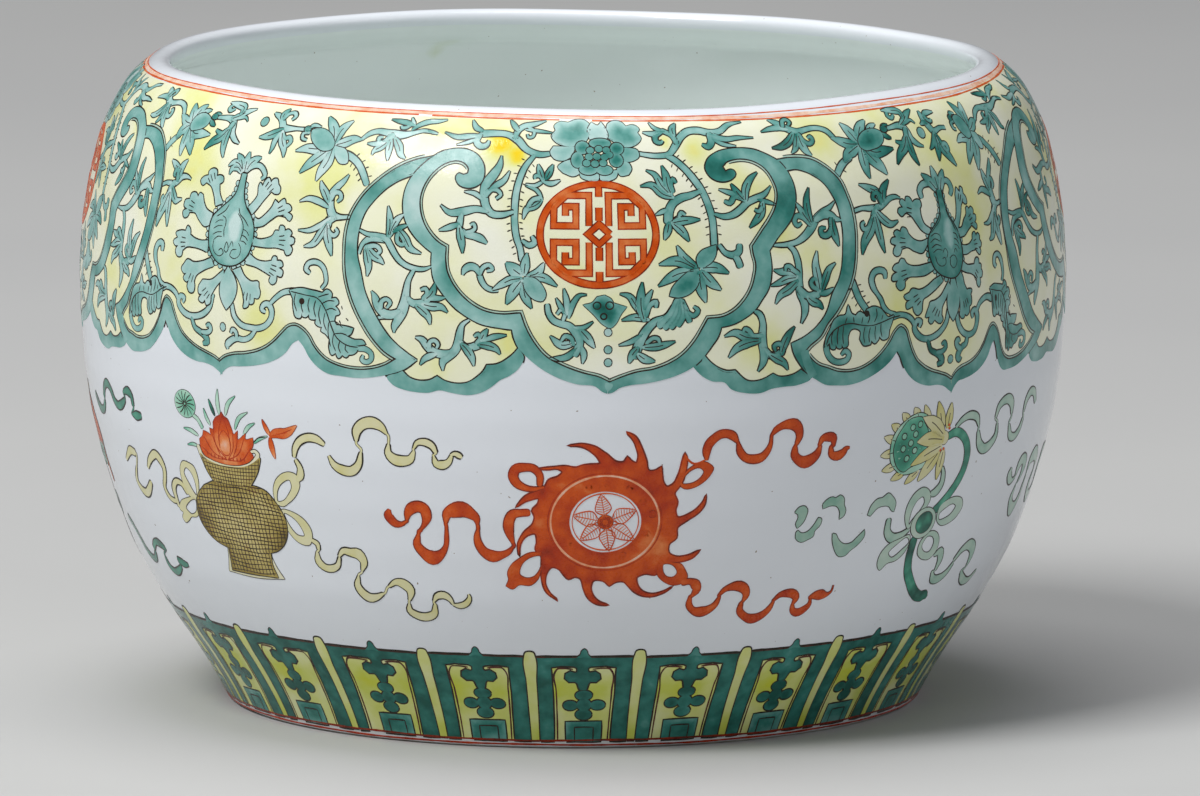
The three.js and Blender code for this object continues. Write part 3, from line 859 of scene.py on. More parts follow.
LEFT_OUTER_SHAPES = [
    (3, 0.5, 0.1, "-79.8,159.2 -77.6,160 -74.9,159.5 -72.6,157.8 -71.7,156.2 -71.9,155.2 -74.5,154.3 -77.4,155.5 -79.3,157.4|"),
    (2, 0.3, 0.1, "-71.6,155.8| -70,155.6 -68.2,155.2 -66.8,153.4 -66.6,151.8 -68.6,151.5 -70.6,153.2|"),
]
ACANTHUS_L = "-78.8,120.3 -75.6,121 -72.4,120.7 -69.4,120.3| -68.2,121.2 -66.8,120.3 -67,119.1| -65.6,119.3 -64.9,118.2 -65.8,117.4| -64.9,116.6 -64.5,115.7 -65.6,115.2| -65.9,113.9 -65.3,112.9| -63.2,112.8 -60.8,112.4| -61.5,111 -62.6,110.4| -60.5,109.7 -58.2,109.6 -57.6,108.8| -59,108.5 -60.4,108.2| -59.8,107.2 -60.8,106.2 -62,106| -62.8,105.3 -63.8,105.8| -64.8,105 -65.6,106.2| -66.6,105.6 -67.3,107.2 -67.1,109.4| -68.5,110.7 -69.5,111.2 -69.2,112.2| -70.3,112.3 -71.1,113 -70.8,114| -71.6,113.8 -72.7,114 -72.9,115| -73.8,114.2 -74.8,114.4 -74.9,115.3| -75.4,113.9 -76.6,114 -77.3,115.6 -77.7,118.4|"
ACANTHUS_L_SPINE = "-78.4,120 -74.5,119.5 -70.5,118.8 -68.3,116.2 -66.9,113 -65.2,109.8 -62.4,108.2 -59.6,107.9"
ACANTHUS_L_RIBS = ["-77,119.6 -77.3,117.6 -76.4,115.4", "-75,118.6 -75.2,116.8 -74.6,115.2", "-73,118.8 -73.3,117 -72.8,115.4", "-71.2,118.4 -71.6,116.4 -71,114.4",
    "-69.8,117.4 -70.2,115.2 -69.6,112.8", "-68.5,115.6 -68.8,113.4 -68,111.4", "-67.4,113.4 -67.6,111.2 -67,107.6", "-66,111 -66.4,108.6 -65.6,106.6", "-64.4,109.2 -64.8,107.6 -64.2,106.2", "-62.8,108.4 -63,107.2 -62.2,106.4",
    "-70.6,119.2 -69,119.8 -67.6,120.2", "-69.4,117.8 -67.6,118.6 -66,118.6", "-68.4,116.2 -66.8,116.8 -65.4,116.4", "-67.2,113.6 -65.8,113.8 -63.6,112.4", "-65.8,110.8 -63.8,111 -62.4,110.6"]
ACANTHUS_L_TAIL = "-65,109.6,2.0 -62,108.3,1.8 -59.6,107.8,1.5 -57.6,107.6,1.3 -56.2,106.6,1.2 -56.2,105.2,1.1 -57.4,104.5,1.1 -58.6,105,1 -58.3,105.9,.6"

# lotus seed head with lobed petals, in its own place: left panel
BULB_L = "-97.9,146.6 -98.1,144.7 -99,141.2 -100.7,139.5 -103.3,137.3 -105.3,135.2 -105.9,132.6 -105.7,130.1 -105.3,128.5 -103.75,126.3 -101.6,124.8 -99,124.4 -96.4,124.7 -94.2,125.7 -92.3,127.6 -91.4,130.2 -91.2,131.7 -91.4,134.3 -92.5,136.5 -94.6,138.6 -95.9,140.8 -96.4,144.7 -96.4,146.6|"
PETALS_L = [
    "-102.6,138.9 -104.4,141.2 -105,143.3| -103.9,144.1 -104.2,145.1 -105.3,145.3 -106.5,145| -106.8,146.3 -108.2,146.7 -109.6,145.8 -109.4,144.9| -111,144.4 -111.9,143.4 -110.9,142.4 -109.7,143.2| -107.8,142.5 -106.2,140.6 -105,138|",
    "-105.6,136.1 -107.9,136.9 -109.4,138.6 -110.1,140.1| -111.4,140.4 -111.8,139.4| -112.8,140.3 -114.5,139.9 -114.7,138.6| -116.3,138.1 -116.4,136.8 -115,136.2| -116.5,135.4 -115.8,134.1 -114.5,134.5 -114,135.6| -111.8,135.6 -110.2,134.2 -107.6,132.8 -106,133.4|",
    "-105.6,129.6 -108.8,129.3 -111,129.6 -112.6,130.2| -112.9,131.6 -113.9,132.2 -114.5,130.9| -116.2,130.8 -118.1,130 -117.1,129.1| -118.7,128 -117.7,127.1 -116.6,127.3| -117.4,126 -116.6,124.8 -115.1,124.9 -114.8,126.3| -113.6,127.2 -110.6,127.5 -107.5,127.2 -105.8,126.8|",
    "-104.2,125.6 -107,124.5 -110.2,123.9 -112.8,124.2 -113.5,123.4| -114.6,121.9 -113.6,120.9 -112.6,121.1| -113.7,119.8 -112.5,119 -111.6,119.6| -112.1,118 -111.2,116.7 -109.9,116.8 -109.5,118.3 -109.8,119.4| -109.2,120.7 -107,122.2 -103,123.8|",
    "-99.7,123.2 -101.4,121.9 -103.4,120.5 -106.7,120.1| -108,118.1 -107.7,116.7 -106.6,116.7| -107.7,115.3 -106.4,114.7 -105.5,115.5| -105,114.3 -103.8,114.8 -103.6,116.6| -102.1,118.8 -99.4,121.4|",
    "-98.2,124.2 -99.6,122 -100.6,119.6 -100.6,117.6 -99.7,115.6 -98.2,113.8| -96.4,115.6 -95.2,118 -95.2,120.2 -96.2,122.2|",
    "-94.2,124.4 -92.8,122.5 -90.6,121.3 -88.2,121.3 -88.1,120.2| -87.6,119 -88.1,117.5 -89.4,117.5| -89.6,116.2 -90.6,115.9 -90.9,117| -91.2,115.3 -92.5,114.8 -92.4,116.4| -93.1,118.8 -94.7,121.4 -96.6,123.4|",
    "-91.6,127.8 -89.2,126.6 -86.5,126.4 -84.6,126.8| -84.2,127.8 -83.3,127.8 -83.1,126.9| -81.6,126.8 -81.2,125.9 -82.4,125.3| -81.1,124.6 -81.4,123.3 -82.8,123.5| -83,121.8 -84,121.2 -84.9,121.8 -84.5,123.2| -86.5,124 -89.2,124.9 -92.8,125.4|",
    "-91.2,132 -89.4,131.5 -87,131.9 -85,132.9 -84.4,134 -83.3,134| -83,135.3 -81.9,135.1 -81.6,134.1| -80.5,134.6 -79.5,133.8 -80,132.9| -78.6,132.5 -78.7,131.4 -79.8,131| -78.9,130 -79.3,128.9 -80.3,128.5 -81.2,129.7| -83.4,130 -86.5,129.8 -91.2,129.9|",
    "-91.4,136.6 -90.3,136.2 -88,137.7 -86.3,139.8 -85.8,141.2| -84.6,140.5| -83.9,141.2 -83,141.7 -82.4,140.6| -81.2,140.4 -80.5,139.4 -81.5,138.6| -80,137.8 -80.5,136.7 -82,137.6| -84.3,137.7 -86.2,136.5 -88.4,134.9 -91.2,134.2|",
    "-94,138.8 -93,139.8 -91.5,142 -91.7,143.8| -91.4,144.9 -90.4,144.1| -90,145.4 -88.9,146.3 -88,145.2| -87.5,146 -86.3,146.3 -85.6,145| -84.9,144.3 -84.9,143 -86.2,142.7 -87.4,143.2| -89.2,141.1 -91.4,138.3 -92.4,137.2|",
]
CROWN_L = """
1.8 1 .35 | -98.2,146.6 -100,147.9 -101.8,147.4 -102.3,145.8
1.6 1 .35 | -98,147.2 -100.2,148.9 -101.8,149 -103.4,147.8
2.2 1 .35 | -98,147 -99.2,149.4 -101.4,151.2
2.4 1 .35 | -97.3,146.4 -97.5,149.6 -97.4,152.1
2.4 1 .35 | -97,147 -95.9,149.3 -94.2,150.5 -92.9,151
S 1 .4 | -97.2,147,1.2 -95.4,148.5,1.2 -93,149,1.2 -91.2,148,1.2 -90.4,146.6,1.0 -91.2,145.9,.7
"""
BULB_L_LINES = ["-100.4,138.8 -101.2,137.4 -102.6,136.4 -104,135.6", "-102,136 -100.8,135.4 -100.6,134.2 -101,132.6 -100.7,131",
    "-104.2,134 -102.9,134.8 -101.6,134.9", "-104.6,132.6 -103.2,133.4 -101.6,133.6", "-104.6,131.2 -103.2,131.9 -101.6,132.1", "-104,130 -102.8,130.9 -101.4,131",
    "-96.9,138.3 -96.3,137 -94.6,135.8 -93,134.2", "-96.9,137 -95.3,135.4 -94.6,133.6 -94.9,131.8 -95.3,130.4", "-94.6,133.4 -93.4,133 -92.5,132", "-94.8,132 -93.6,131.6 -92.7,130.8", "-95,130.6 -93.8,130.4 -93,129.8",
    "-104,130 -104,128.2 -103,126.8 -101.3,126.4 -100.3,127.2 -101.2,128.2 -102,127.6", "-100.2,128 -99.6,129.9 -98.8,128.3 -99.4,127.4 -100.2,128", "-98.6,128.6 -97.8,130.2 -97.2,128.9",
    "-95.6,130 -94.6,128.6 -95,127 -96.5,126.2 -98,126.8 -97.4,128.2 -96,128.4"]


def lotus_head(T, bulb, petals, crown, lines, axis, light):
    """The lotus head of a panel: lobed petals, a rim of small scallops and the shaded bulb."""
    many(T, crown)
    for t in petals:
        lp = corners(t, closed=False, step=0.6)
        outline(INK, lp, w=0.72, h=0.125, T=T)
        fill(G, [lp], 0.145, tone=0.36, deep=0.06, reach=1.2, T=T, grid=1.8, vary=0.12)
        c = lp.mean(axis=0)
        # brush lines that divide the lobes
        far = lp[np.argmax(np.hypot(lp[:, 0] - axis, lp[:, 1] - 132))]
        d = far - c
        d = d / max(np.linalg.norm(d), 1e-6)
        n = np.array([-d[1], d[0]])
        if abs(c[0] - axis) > 1.5:
            for off, ln in ((-0.9, 1.7), (0.1, 2.0), (1.0, 1.6)):
                a = c + d * 0.7 + n * off
                line(INK, [a, a + d * ln * 0.5 + n * off * 0.1, a + d * ln + n * off * 0.25], w=0.26, h=0.22, T=T, step=0.6)
    b = corners(bulb, closed=False, step=0.6)
    d = np.concatenate([[0], np.cumsum(np.linalg.norm(np.diff(b, axis=0), axis=1))])
    cen = b[b[:, 1] < 139].mean(axis=0)
    for x in np.arange(1.2, d[-1] - 1.0, 1.45):
        q = np.array([np.interp(x, d, b[:, 0]), np.interp(x, d, b[:, 1])])
        if q[1] > 145.2:
            continue
        o = q - cen
        o = o / np.linalg.norm(o)
        if q[1] > 139.5:
            o = np.array([math.copysign(1, q[0] - axis), 0.25])
        q = q + o * 0.45
        disc(G, INK, q[0], q[1], 0.72, 0.62, layer=0, tone=0.3, T=T, edge=0.24, tilt=math.atan2(o[1], o[0]), grid=1.0)
    outline(INK, b, w=0.8, h=0.15, T=T)
    fill(G, [b], 0.165, tone=0.5, rim=0.12, T=T, grid=1.5, vary=0.05,
         spots=[], )
    disc(G, None, light[0], light[1], 2.5, 4.0, layer=4, tone=0.28, rim=0.22, deep=-0.2, reach=2.2, T=T, grid=1.0)
    for t in lines:
        line(INK, nums(t), w=0.24, h=0.275, T=T, step=0.6)


def acanthus(T, poly, spine, ribs_, tail, eye):
    stroke(G, INK, nums(tail), layer=1, tone=0.5, T=T, edge=0.26)
    lp = corners(poly, closed=False, step=0.6)
    outline(INK, lp, w=0.72, h=0.125, T=T)
    fill(G, [lp], 0.15, tone=0.42, deep=0.12, reach=2, T=T, grid=1.6, vary=0.2)
    line(INK, nums(spine), w=0.3, h=0.23, T=T)
    for t in ribs_:
        line(INK, nums(t), w=0.26, h=0.225, T=T, step=0.6)
    disc(INK, None, eye[0], eye[1], 0.8, layer=3, T=T, grid=0.8)

# the same for the right half
RIGHT_OUTER = """
S 0 .4 | 65.6,158,1.2 64.2,159.9,1.3 62.4,160.8,1.2 60,161.1,1.2 57.4,160.8,1.3 55,160.5,1.8 53,161.3,1.9 51.4,162.4,1.8 49.8,163.6,1.7 47.8,164.8,.15
1.5 1 | 52.8,161.2 50,162 47.6,161.9 44.6,161.2
S 2 .6 | 51.6,162.5,1.1 52.2,164,1.0 53.4,164.3,1.0 54.1,163.4,.9 53.4,162.6,.6
2.0 2 | 54,160.4 51.6,157.9 49.4,156.9 46.5,156.7
1.7 2 | 54.7,160 54,157.5 53.2,156 51.8,154.9
2.3 2 | 55.2,160 55.4,157.3 56.2,155.3 57.6,153.9
S 2 .55 | 55.4,159.6,1.2 56.3,157.8,1.1 57.8,157,1.1 59,157.8,1.1 58.6,158.9,.9 57.6,158.5,.5
S 0 .4 | 43.2,132.8,.5 46.6,132.7,1.0 49.7,133.2,1.3 52,134.5,1.7 54,136.4,2.0 55.6,138.4,1.8 57.4,139.8,1.4 59.4,140.6,1.2 61.5,142.2,.15
1.9 1 .65 | 54.2,137 53.4,140.6 53.6,143.6 54.6,146.2
1.6 1 .5 | 54,137.2 52.5,139.2 51.6,140.8 50.3,142.8
S 1 .5 | 53.8,137.6,1.7 51.8,139.2,1.4 50.2,139.4,1.2 49.5,138.2,1.1 50.2,137.1,1.0 51.2,137.6,.6
S 1 .42 | 55.6,138.2,1.2 58,139.2,1.8 59.8,138.9,1.8 61.2,137.9,1.2 62.8,137.6,.6
2.1 2 .6 | 60,138.4 60,135.6 60.6,133.4 61.3,131.2
S 2 .65 | 59.8,137.8,1.4 59.5,135.4,1.4 58.2,134.2,1.4 56.8,134.4,1.3 56.6,135.9,1.1 57.8,136,.6
S 0 .42 | 47.2,132.6,.8 48.6,131.2,1.2 49.4,128.8,1.4 49.6,126,1.5 49.5,123.2,1.7 49.7,120.8,1.9 50.6,118.8,1.9 50.8,116.4,1.6 49.7,113.4,.15
2.0 1 | 49.3,124.8 46.8,126.3 44.8,126.2 42.8,126.8
1.8 1 | 49.2,124.6 46.4,124.4 44.2,123.6 41.9,123
2.1 1 | 49.3,124 46.6,121.8 44.4,120.6 43,118.5
S 2 .5 | 49.2,125.6,1.1 48,126.6,1.0 47.2,127.4,1.0 46.2,127.4,.9 46,126.5,.6
S 1 .5 | 49.8,121.4,1.4 51.8,119.9,1.6 53.8,120,2.0 55.4,121,1.8
2.1 2 | 55.2,120.6 54.6,124.2 54.2,127.4 54.9,130.7
1.9 2 | 55.4,120.6 56.6,123.6 57.9,126 59.9,127.4
1.4 2 | 54.8,120.2 57,120.4 59,121.4
2.0 2 | 51.4,119.9 53.4,118.3 54.6,117.8 55.8,116.4
S 2 .6 | 54.8,121.4,1.2 53.2,122,1.0 52.7,123.2,1.0 53.7,124,.9 54.6,123.4,.5
S 1 .45 | 37.2,117.4,.6 38.8,116.4,1.2 39.6,114.2,1.4 39.5,111.6,1.7 39.6,109,2.0 40,106.8,2.0 39.8,104.8,1.6 38.4,102.5,.15
2.1 2 | 39.2,110.4 35.4,111 32.4,112.2 29.8,111.4
S 2 .5 | 39.2,111.1,1.2 37,111.2,1.2 36,112.6,1.0 35,113,.9 34.6,112.2,.6
2.2 2 | 39.2,110 35.8,109.6 33,108.4 30.9,106.2
S 1 .5 | 39.9,108,1.4 41.6,106.3,1.5 43.4,106.2,1.7 44.8,107.2,1.6
2.0 2 .65 | 44.4,106.4 45.4,109.2 46.4,111 48,112.9
S 2 .7 | 44.6,106.6,1.2 45,108,1.1 43.8,108.9,1.1 42.6,108.4,1.0 42.9,107.4,.6
1.9 2 .55 | 41.2,106.6 43.4,105.3 45.2,104.2 46.3,102.4
S 0 .42 | 64.3,122.6,1.3 65.2,120.2,1.5 66.2,118,1.6 67.6,116,1.5 68.9,114.4,1.3
S 0 .42 | 63.6,148.6,1.6 65.4,150.6,1.7 67,151.7,1.5 68.8,152.4,1.2
S 0 .4 | 66.9,139.4,.8 69.4,139.8,.9 72,139.6,1.3 74.6,139.6,1.5 76.4,140.4,1.5 78.4,141.4,1.3 80.6,141.6,.8 82,141.1,.15
2.0 1 .5 | 75.6,140 74.6,143.3 72.2,144.6 69.4,145.7
2.2 1 .6 | 75.9,140 76.8,143.6 79.2,146
S 2 .7 | 75.7,141,1.1 75,143,1.0 73.6,143,1.0 73.2,141.8,.9 74.1,141.5,.5
S 1 .45 | 74,139.6,1.6 72.9,137.8,2.2 72.2,136,2.0
2.7 2 .45 | 72.8,138 71,134.4 69,131.8 67.8,128.6
2.0 2 .45 | 73,138 73.6,133.6 74.2,130.6 74.8,128.4
2.0 2 .45 | 73.4,139 75.4,136.6 77.6,135.2 80.2,135.8
S 2 .45 | 72,136.6,1.2 70.4,134.9,1.1 69,134.8,1.0 68.7,136,.9 69.6,136.5,.5
S 0 .42 | 83.4,158.6,.9 85.8,158.8,1.0 88,159,1.4 90,158.6,2.0 90.8,157,2.0 91.4,155.2,1.6 93,153.6,1.2 95,152.8,.15
1.9 1 .45 | 89,158.8 91.6,160.2 93.4,161.6 96.3,163
0.9 1 .5 | 90,159 92,159.6 94,160 95.2,158.9
2.1 2 .45 | 91.6,160.4 91.6,162.6 89,163.4 85.4,163.8
S 1 .5 | 87.2,163.3,1.0 86.5,162,1.0 87.4,161.2,1.0 88.6,161.9,.7
S 2 .6 | 90.4,157.6,1.5 89.6,155.6,1.3 88.2,154.4,1.2 86.6,154.6,1.0 85.6,155,.6
2.5 2 .65 | 90,156.4 87.8,153.4 85.6,151.8 83.5,149.3
2.2 2 .6 | 90.2,156.6 89.8,152.6 90.2,150.4 91.1,148.3
2.8 1 .35 | 72.9,155.8 70.9,159.4 69.2,161.7
3.0 1 .45 | 72.9,155.8 75,159.6 76.4,160.8 77.9,161.7
2.6 1 .45 | 72.9,155.6 69.4,156 67,157 64.7,158
3.1 1 .5 | 73,155.4 70.6,154.4 68.2,153.1 66.6,151.4
2.8 1 .45 | 73.2,155 72.9,151.2 73,148.8 73.5,146.7
3.5 1 .5 | 73.4,155 76,151.4 77.8,149.4 79.3,147.2
2.9 1 .6 | 73.6,154.8 77.6,153 80.6,153.2 83.9,153.4
1.7 1 .4 | 76.8,158 78.6,159.6 80.8,160.3
1.3 2 .8 | 81.8,157.6 83,156.6 84.5,156
1.0 2 .8 | 82,158.8 83.6,159.6 85,159.6
S 0 .4 | 75.8,112.9,1.6 78.4,113.2,1.2 80.6,112.7,1.1 82.4,111.4,1.1 83.1,110.2,.9
S 0 .4 | 77,113.6,.5 74.6,114.4,.9 73.2,115.8,1.1 72.6,117.4,1.0 71.6,118.8,.9 70.4,120.6,1.3 70,122.6,1.4 70.9,124.1,1.4 72.6,124.5,1.4 74.1,123.8,1.3 74.2,122.7,1.0
S 0 .4 | 95,112.8,1.0 94,109.6,1.2 91.8,107.6,1.3 89,106.6,1.3 86.4,106.6,1.4 84.2,107.8,1.4 83.1,109.6,1.3 83.9,111.2,1.2 85.2,110.8,1.1 84.8,109.8,.7
S 0 .7 | 87.8,106,.9 88.8,103.6,1.1 90.6,102.7,1.3 92.2,101.8,1.6 92.8,100.4,1.6 91.6,99.9,1.0
S 1 .5 | 91.2,102.8,.9 93,102.9,1.1 94.1,103.8,1.1 93.6,105,1.0 92.8,104.6,.6
"""
RIGHT_OUTER_HAIRS = ["64.3,122.6,1 65.2,120.2,1 66.2,118,1 67.6,116,1 68.4,115,1", "64,149.2,1 65.4,150.6,1 67,151.7,1"]
RIGHT_OUTER_SHAPES = [(3, 0.45, 0.25, "73,156.3 74.6,158.1 77,159 80,158.9 81.8,157.7 81.5,156 79.6,154.5 76.8,153.9 74.6,153.8 73,155|")]
ACANTHUS_R = "76.4,113.3 74.6,113 73.6,113.9 72.4,115.2 70.4,115.9 68.2,115.4| 67.6,114.2| 66,115 64.9,114.2| 63.9,114.6 62.8,116.9| 61.8,114.6 60.4,114.5| 59,113.9 57.6,111.5 56.5,109.4 56.2,107.4| 57.6,108.2| 58,106.8 59,106.6 59.2,107.8| 59.8,106.8 60.8,106.7 60.9,107.8| 61.4,106.8 62.5,107 62.7,109.4 63.5,110.9 65,111.1 66.3,110.3 66.2,108.4| 67.4,106.8 69.3,106.9| 69.6,107.8| 70.6,107 71.7,107.8| 72,108.6| 73,107.7 74.6,108 75,109.9 75.7,111.4|"
ACANTHUS_R_SPINE = "78.4,113 75.7,112.7 72.6,111.9 69.5,111.4 66.4,111.8 63.7,112.4 61,112.2 58.8,111.2 57.2,109.4 56.6,107.8"
ACANTHUS_R_RIBS = ["58.6,111.3 58,109.4 58.2,107.6", "60,111.8 59.6,109.6 59.8,107.6", "61.4,112 61.2,109.8 61.4,107.6", "67.6,111.2 67.2,109.4 67.6,107.4", "69.2,111 68.8,109.2 69,107.4",
    "70.8,111.2 70.6,109.4 70.8,107.8", "72.4,111.6 72.4,109.8 72.8,108.4", "68.4,112 69,113.6 68.6,115", "70.4,112.2 71.2,113.8 71,115.4", "72.6,112.6 73,113.7", "64.4,112.6 64.2,113.9", "66.6,112.2 67,113.7", "61.8,112.6 62.4,114"]
ACANTHUS_R_TAIL = "57.2,109.6,1.4 56.6,107.4,1.5 57.2,105.2,1.4 58.8,103.7,1.3 60.8,103.3,1.3 62.6,103.9,1.3 63,105.1,1.2 61.9,105.9,1.1 61,105.2,.7"
BULB_R = "95.1,141.8 95.1,139 94.9,136.2 93.4,134.2 91.2,132.4 89.7,130.6 89.2,128.2 89.5,125.8 90.5,123.6 92.2,121.9 94.5,120.8 96.8,120.3 99,120.5 101.1,121.6 102.5,123.7 103,126 102.8,128.6 102,131 100.2,133.2 98.2,135.4 97.1,137.8 96.8,140 96.8,141.8|"
PETALS_R = [
    "90.8,132.2 90,131.7 87.8,132.6 86,134.8 84.6,136.6 82.9,137.5 81.5,136.8 80.5,137.8| 80.8,138.6 82.4,138.8| 81.6,140.2 82.2,140.8 83.5,140.1| 83.9,141.2 85,141 85.8,139.7| 86.9,140.2 88.4,139.9 88.5,138.7 87.9,138| 87.9,136.2 88.8,134 90.4,132.9|",
    "89.6,129.8 88.7,129 86.9,127.4 84.2,128.1 82,129.2 80.2,129| 79.3,127.6 78.2,127.4 77.4,128.2 77.7,129.1| 78.6,130| 77,130.9 77.3,131.6 78.8,131.9| 78.3,133 79.1,133.5 80.4,133| 81.1,134 82.3,133.6 82.9,132.3| 84.2,131 86.4,130.1 89.8,130.6|",
    "89.8,124.7 87.8,124.5 85.1,124.3 82.4,124.7 81.1,125.4 80.6,126.3| 79.7,126.6 78.8,125.6| 77.5,125.3 76.7,124.4 78.2,123.5| 76.5,122.7 76.3,121.8 78.2,121.5| 77.6,120.6 78.8,119.1 80.1,119.6 80.3,121.1| 81.5,121.9 84.2,121.9 86.9,121.9 90.4,123|",
    "92.6,121.2 90.4,120.5 87.8,119.2 85.1,118.5 82.4,118.9 81.7,118.2| 79.9,117.4 80.6,116.6 82,116.5| 80.5,115.7 80.5,114.5 82.6,114.9| 82.8,113.8 84.2,112.6 85.4,113.4 85.6,114.8| 86,116.1 87.8,116.9 90.4,118.1 93.4,119.8|",
    "95.3,119.4 94,118 92.2,116.3 90,115.4 88.4,115.1 88.1,114.4| 87.2,112.8 86.8,111.8 88.2,111.8| 87.9,110.7 88.7,110 90,110.9| 90.9,110.2 92,109.8 92.8,110.6 92.3,111.7| 92.5,113.5 94.1,115.6 96,118.4|",
    "96.4,120.4 96,118.6 94.9,116.6 94.6,113.9 95.2,111.7 96.7,109.8| 98.6,111.7 99.9,114.4 99.9,116.2 98.8,118.4 98,120.2|",
    "98.8,120.6 98.9,119.2 99.7,116.6 100.1,115.2 100.4,113.4 100.1,111.1| 101.1,110.2 102.5,110.3 102.9,111.1| 103.8,110.6 105.3,111.4 105.3,112.7| 106.4,113.2 106.5,114.6 106.2,115.5| 107,116.5 105.6,116.8 104.3,116.7| 102.9,118.5 102.4,120 101.2,121.6|",
    "102.6,124 105.2,122.7 107.8,122.5 109.4,122.5| 109.8,123.3 110.5,123.9 111.9,123.6 111.9,122.4| 113.2,122.1 113.1,121.1| 113.8,120.2 113.3,119.2 112.1,119.2| 112.4,117.9 111.4,116.9 110.4,117.8 110.5,119| 109.6,119.6 107.4,120.5 104.7,121 101.6,121.9|",
    "102.8,127.8 105.2,127.4 107.8,127.6 109.8,128.5| 110.4,129.9 111.5,130.2 112.1,129.2| 113.3,129.7 114,129.1 113.7,128.2| 114.5,127.3 114,126.5 112.7,126.6| 113.7,125.4 113,124.7 111.8,125.4 111,126.1| 108.3,125.9 105.6,125.4 102.8,125.5|",
    "102,131.8 104.7,131.9 106.5,133.6 108.3,135 108.5,136.3| 109.4,136.6 110.1,135.9| 111.4,136.4 112.4,135.6 111.9,134.4| 113.4,134.2 113.3,133.2 112.3,132.6| 113.5,131.7 113,130.9 111.8,131.4 110.5,132.1| 108.3,131.2 105.6,129.9 102.6,129.7|",
    "100.6,133.4 102,134.2 103.1,136.3 103.8,138.6 104,139.9| 104.7,140.9 105.2,141.6 106,140.8| 106.9,140.4 107.4,141.6 108.4,141.2 108.4,139.9| 109.5,138.9 109.5,137.5 108.3,137.5 107.4,138.1| 106,137.2 105.2,135.7 103.8,133.4 102.2,131.4|",
]
CROWN_R = """
S 1 .4 | 95.6,140.8,1.3 94.2,143.2,1.4 92,143.8,1.5 90,143.4,1.5 89,142.2,1.5 89.2,140.9,1.3
S 1 .4 | 96.3,140.8,1.3 98,143.3,1.3 100,143.8,1.3 101.8,143,1.4 102.4,141.4,1.4 101.4,140.3,1.1
2.4 2 .45 | 95.6,141.4 93.2,144.2 90.7,146.3
2.5 2 .45 | 96,141.4 95.4,145 94.9,147.9
2.5 2 .45 | 96.3,141.4 98.2,144.6 99.9,146.6
"""
BULB_R_LINES = ["95.2,136.4 94.4,134.6 92.4,133 90.8,131.8", "90.4,130.9 92.2,131.5 93.8,130.7 93.9,129.2", "90,129.4 91.6,130.2 93.6,129.4", "90.2,128.1 92,128.8 93.8,128.2", "90.6,126.9 92.2,127.6 94,127.2",
    "97.2,137 98,135.2 99.8,133.2 101,131.4", "99.4,131 100.8,130.6 101.6,129.4", "99.6,129.6 100.8,129.2 101.8,128", "99.4,128.2 100.8,127.8 101.8,126.8",
    "91.2,126 91.8,124.2 93.4,123.4 94.8,124 94.6,125.4 93.6,125.2", "94,126.6 95,127.6 95.8,126.4 95.2,125.2", "96.2,125 97.4,125.6 99,125.4 99.8,124.2 99,123 97.4,122.6 96.4,123.6 96.6,125", "98.6,126.2 99.6,127.2 100.4,126.2"]

# what the painter put between the right lotus panel and the next crescent
RIGHT_FAR = """
S 0 .45 | 109.8,156.6,.9 107,156.8,1.0 104.4,156.4,1.2 102.4,156.2,1.8 101.2,157.4,1.9 100.2,159,2.0 99.8,160.6,1.8 99.5,162.2,.2
1.3 1 | 101,158.2 99.4,159 98.2,158.6 96.8,158.4
1.4 1 | 100.4,159.6 102,161 104.4,161.3 107.6,161.2
S 2 .5 | 101.2,160.2,1.0 102.2,159.2,.9 103.4,158.9,.9 104.2,159.5,.5
1.5 2 | 102.4,156.2 100.8,154 98.8,152.6 96.8,151.8
2.2 2 | 102.4,156 101.8,153 100.8,150.8 99.7,148.6
2.5 2 | 102.8,155.6 104,151.4 106.2,149.2 108.5,146.7
S 2 .5 | 102.8,154,1.2 103.8,152.3,1.2 105.2,152.7,1.1 106.6,152.4,1.1 106.7,151.1,1.0 105.8,150.9,.6
S 0 .4 | 98.3,112,1.0 99.2,109.4,1.2 101.2,107.2,1.3 103.8,106,1.3 106.4,105.8,1.3 108.8,106.6,1.3 110,108.6,1.3 109.8,110.6,1.3 108.4,111.6,1.2 107,110.9,1.1 107.5,109.9,.7
S 0 .4 | 109.6,111.2,.9 111.2,112.8,1.1 113.6,113.8,1.2 116.4,114.2,1.3 118.6,113.8,1.6
S 0 .5 | 104.6,105.6,.9 103.8,103.8,1.2 102,103.2,1.4 100.2,102.2,1.6 99.5,100.8,1.5 100.4,100,1.0 101.2,100.6,.6
S 1 .5 | 100.6,102.8,1.2 99.2,103.4,1.3 98.6,104.6,1.2 99.6,105.1,1.0 100.2,104.3,.5
"""

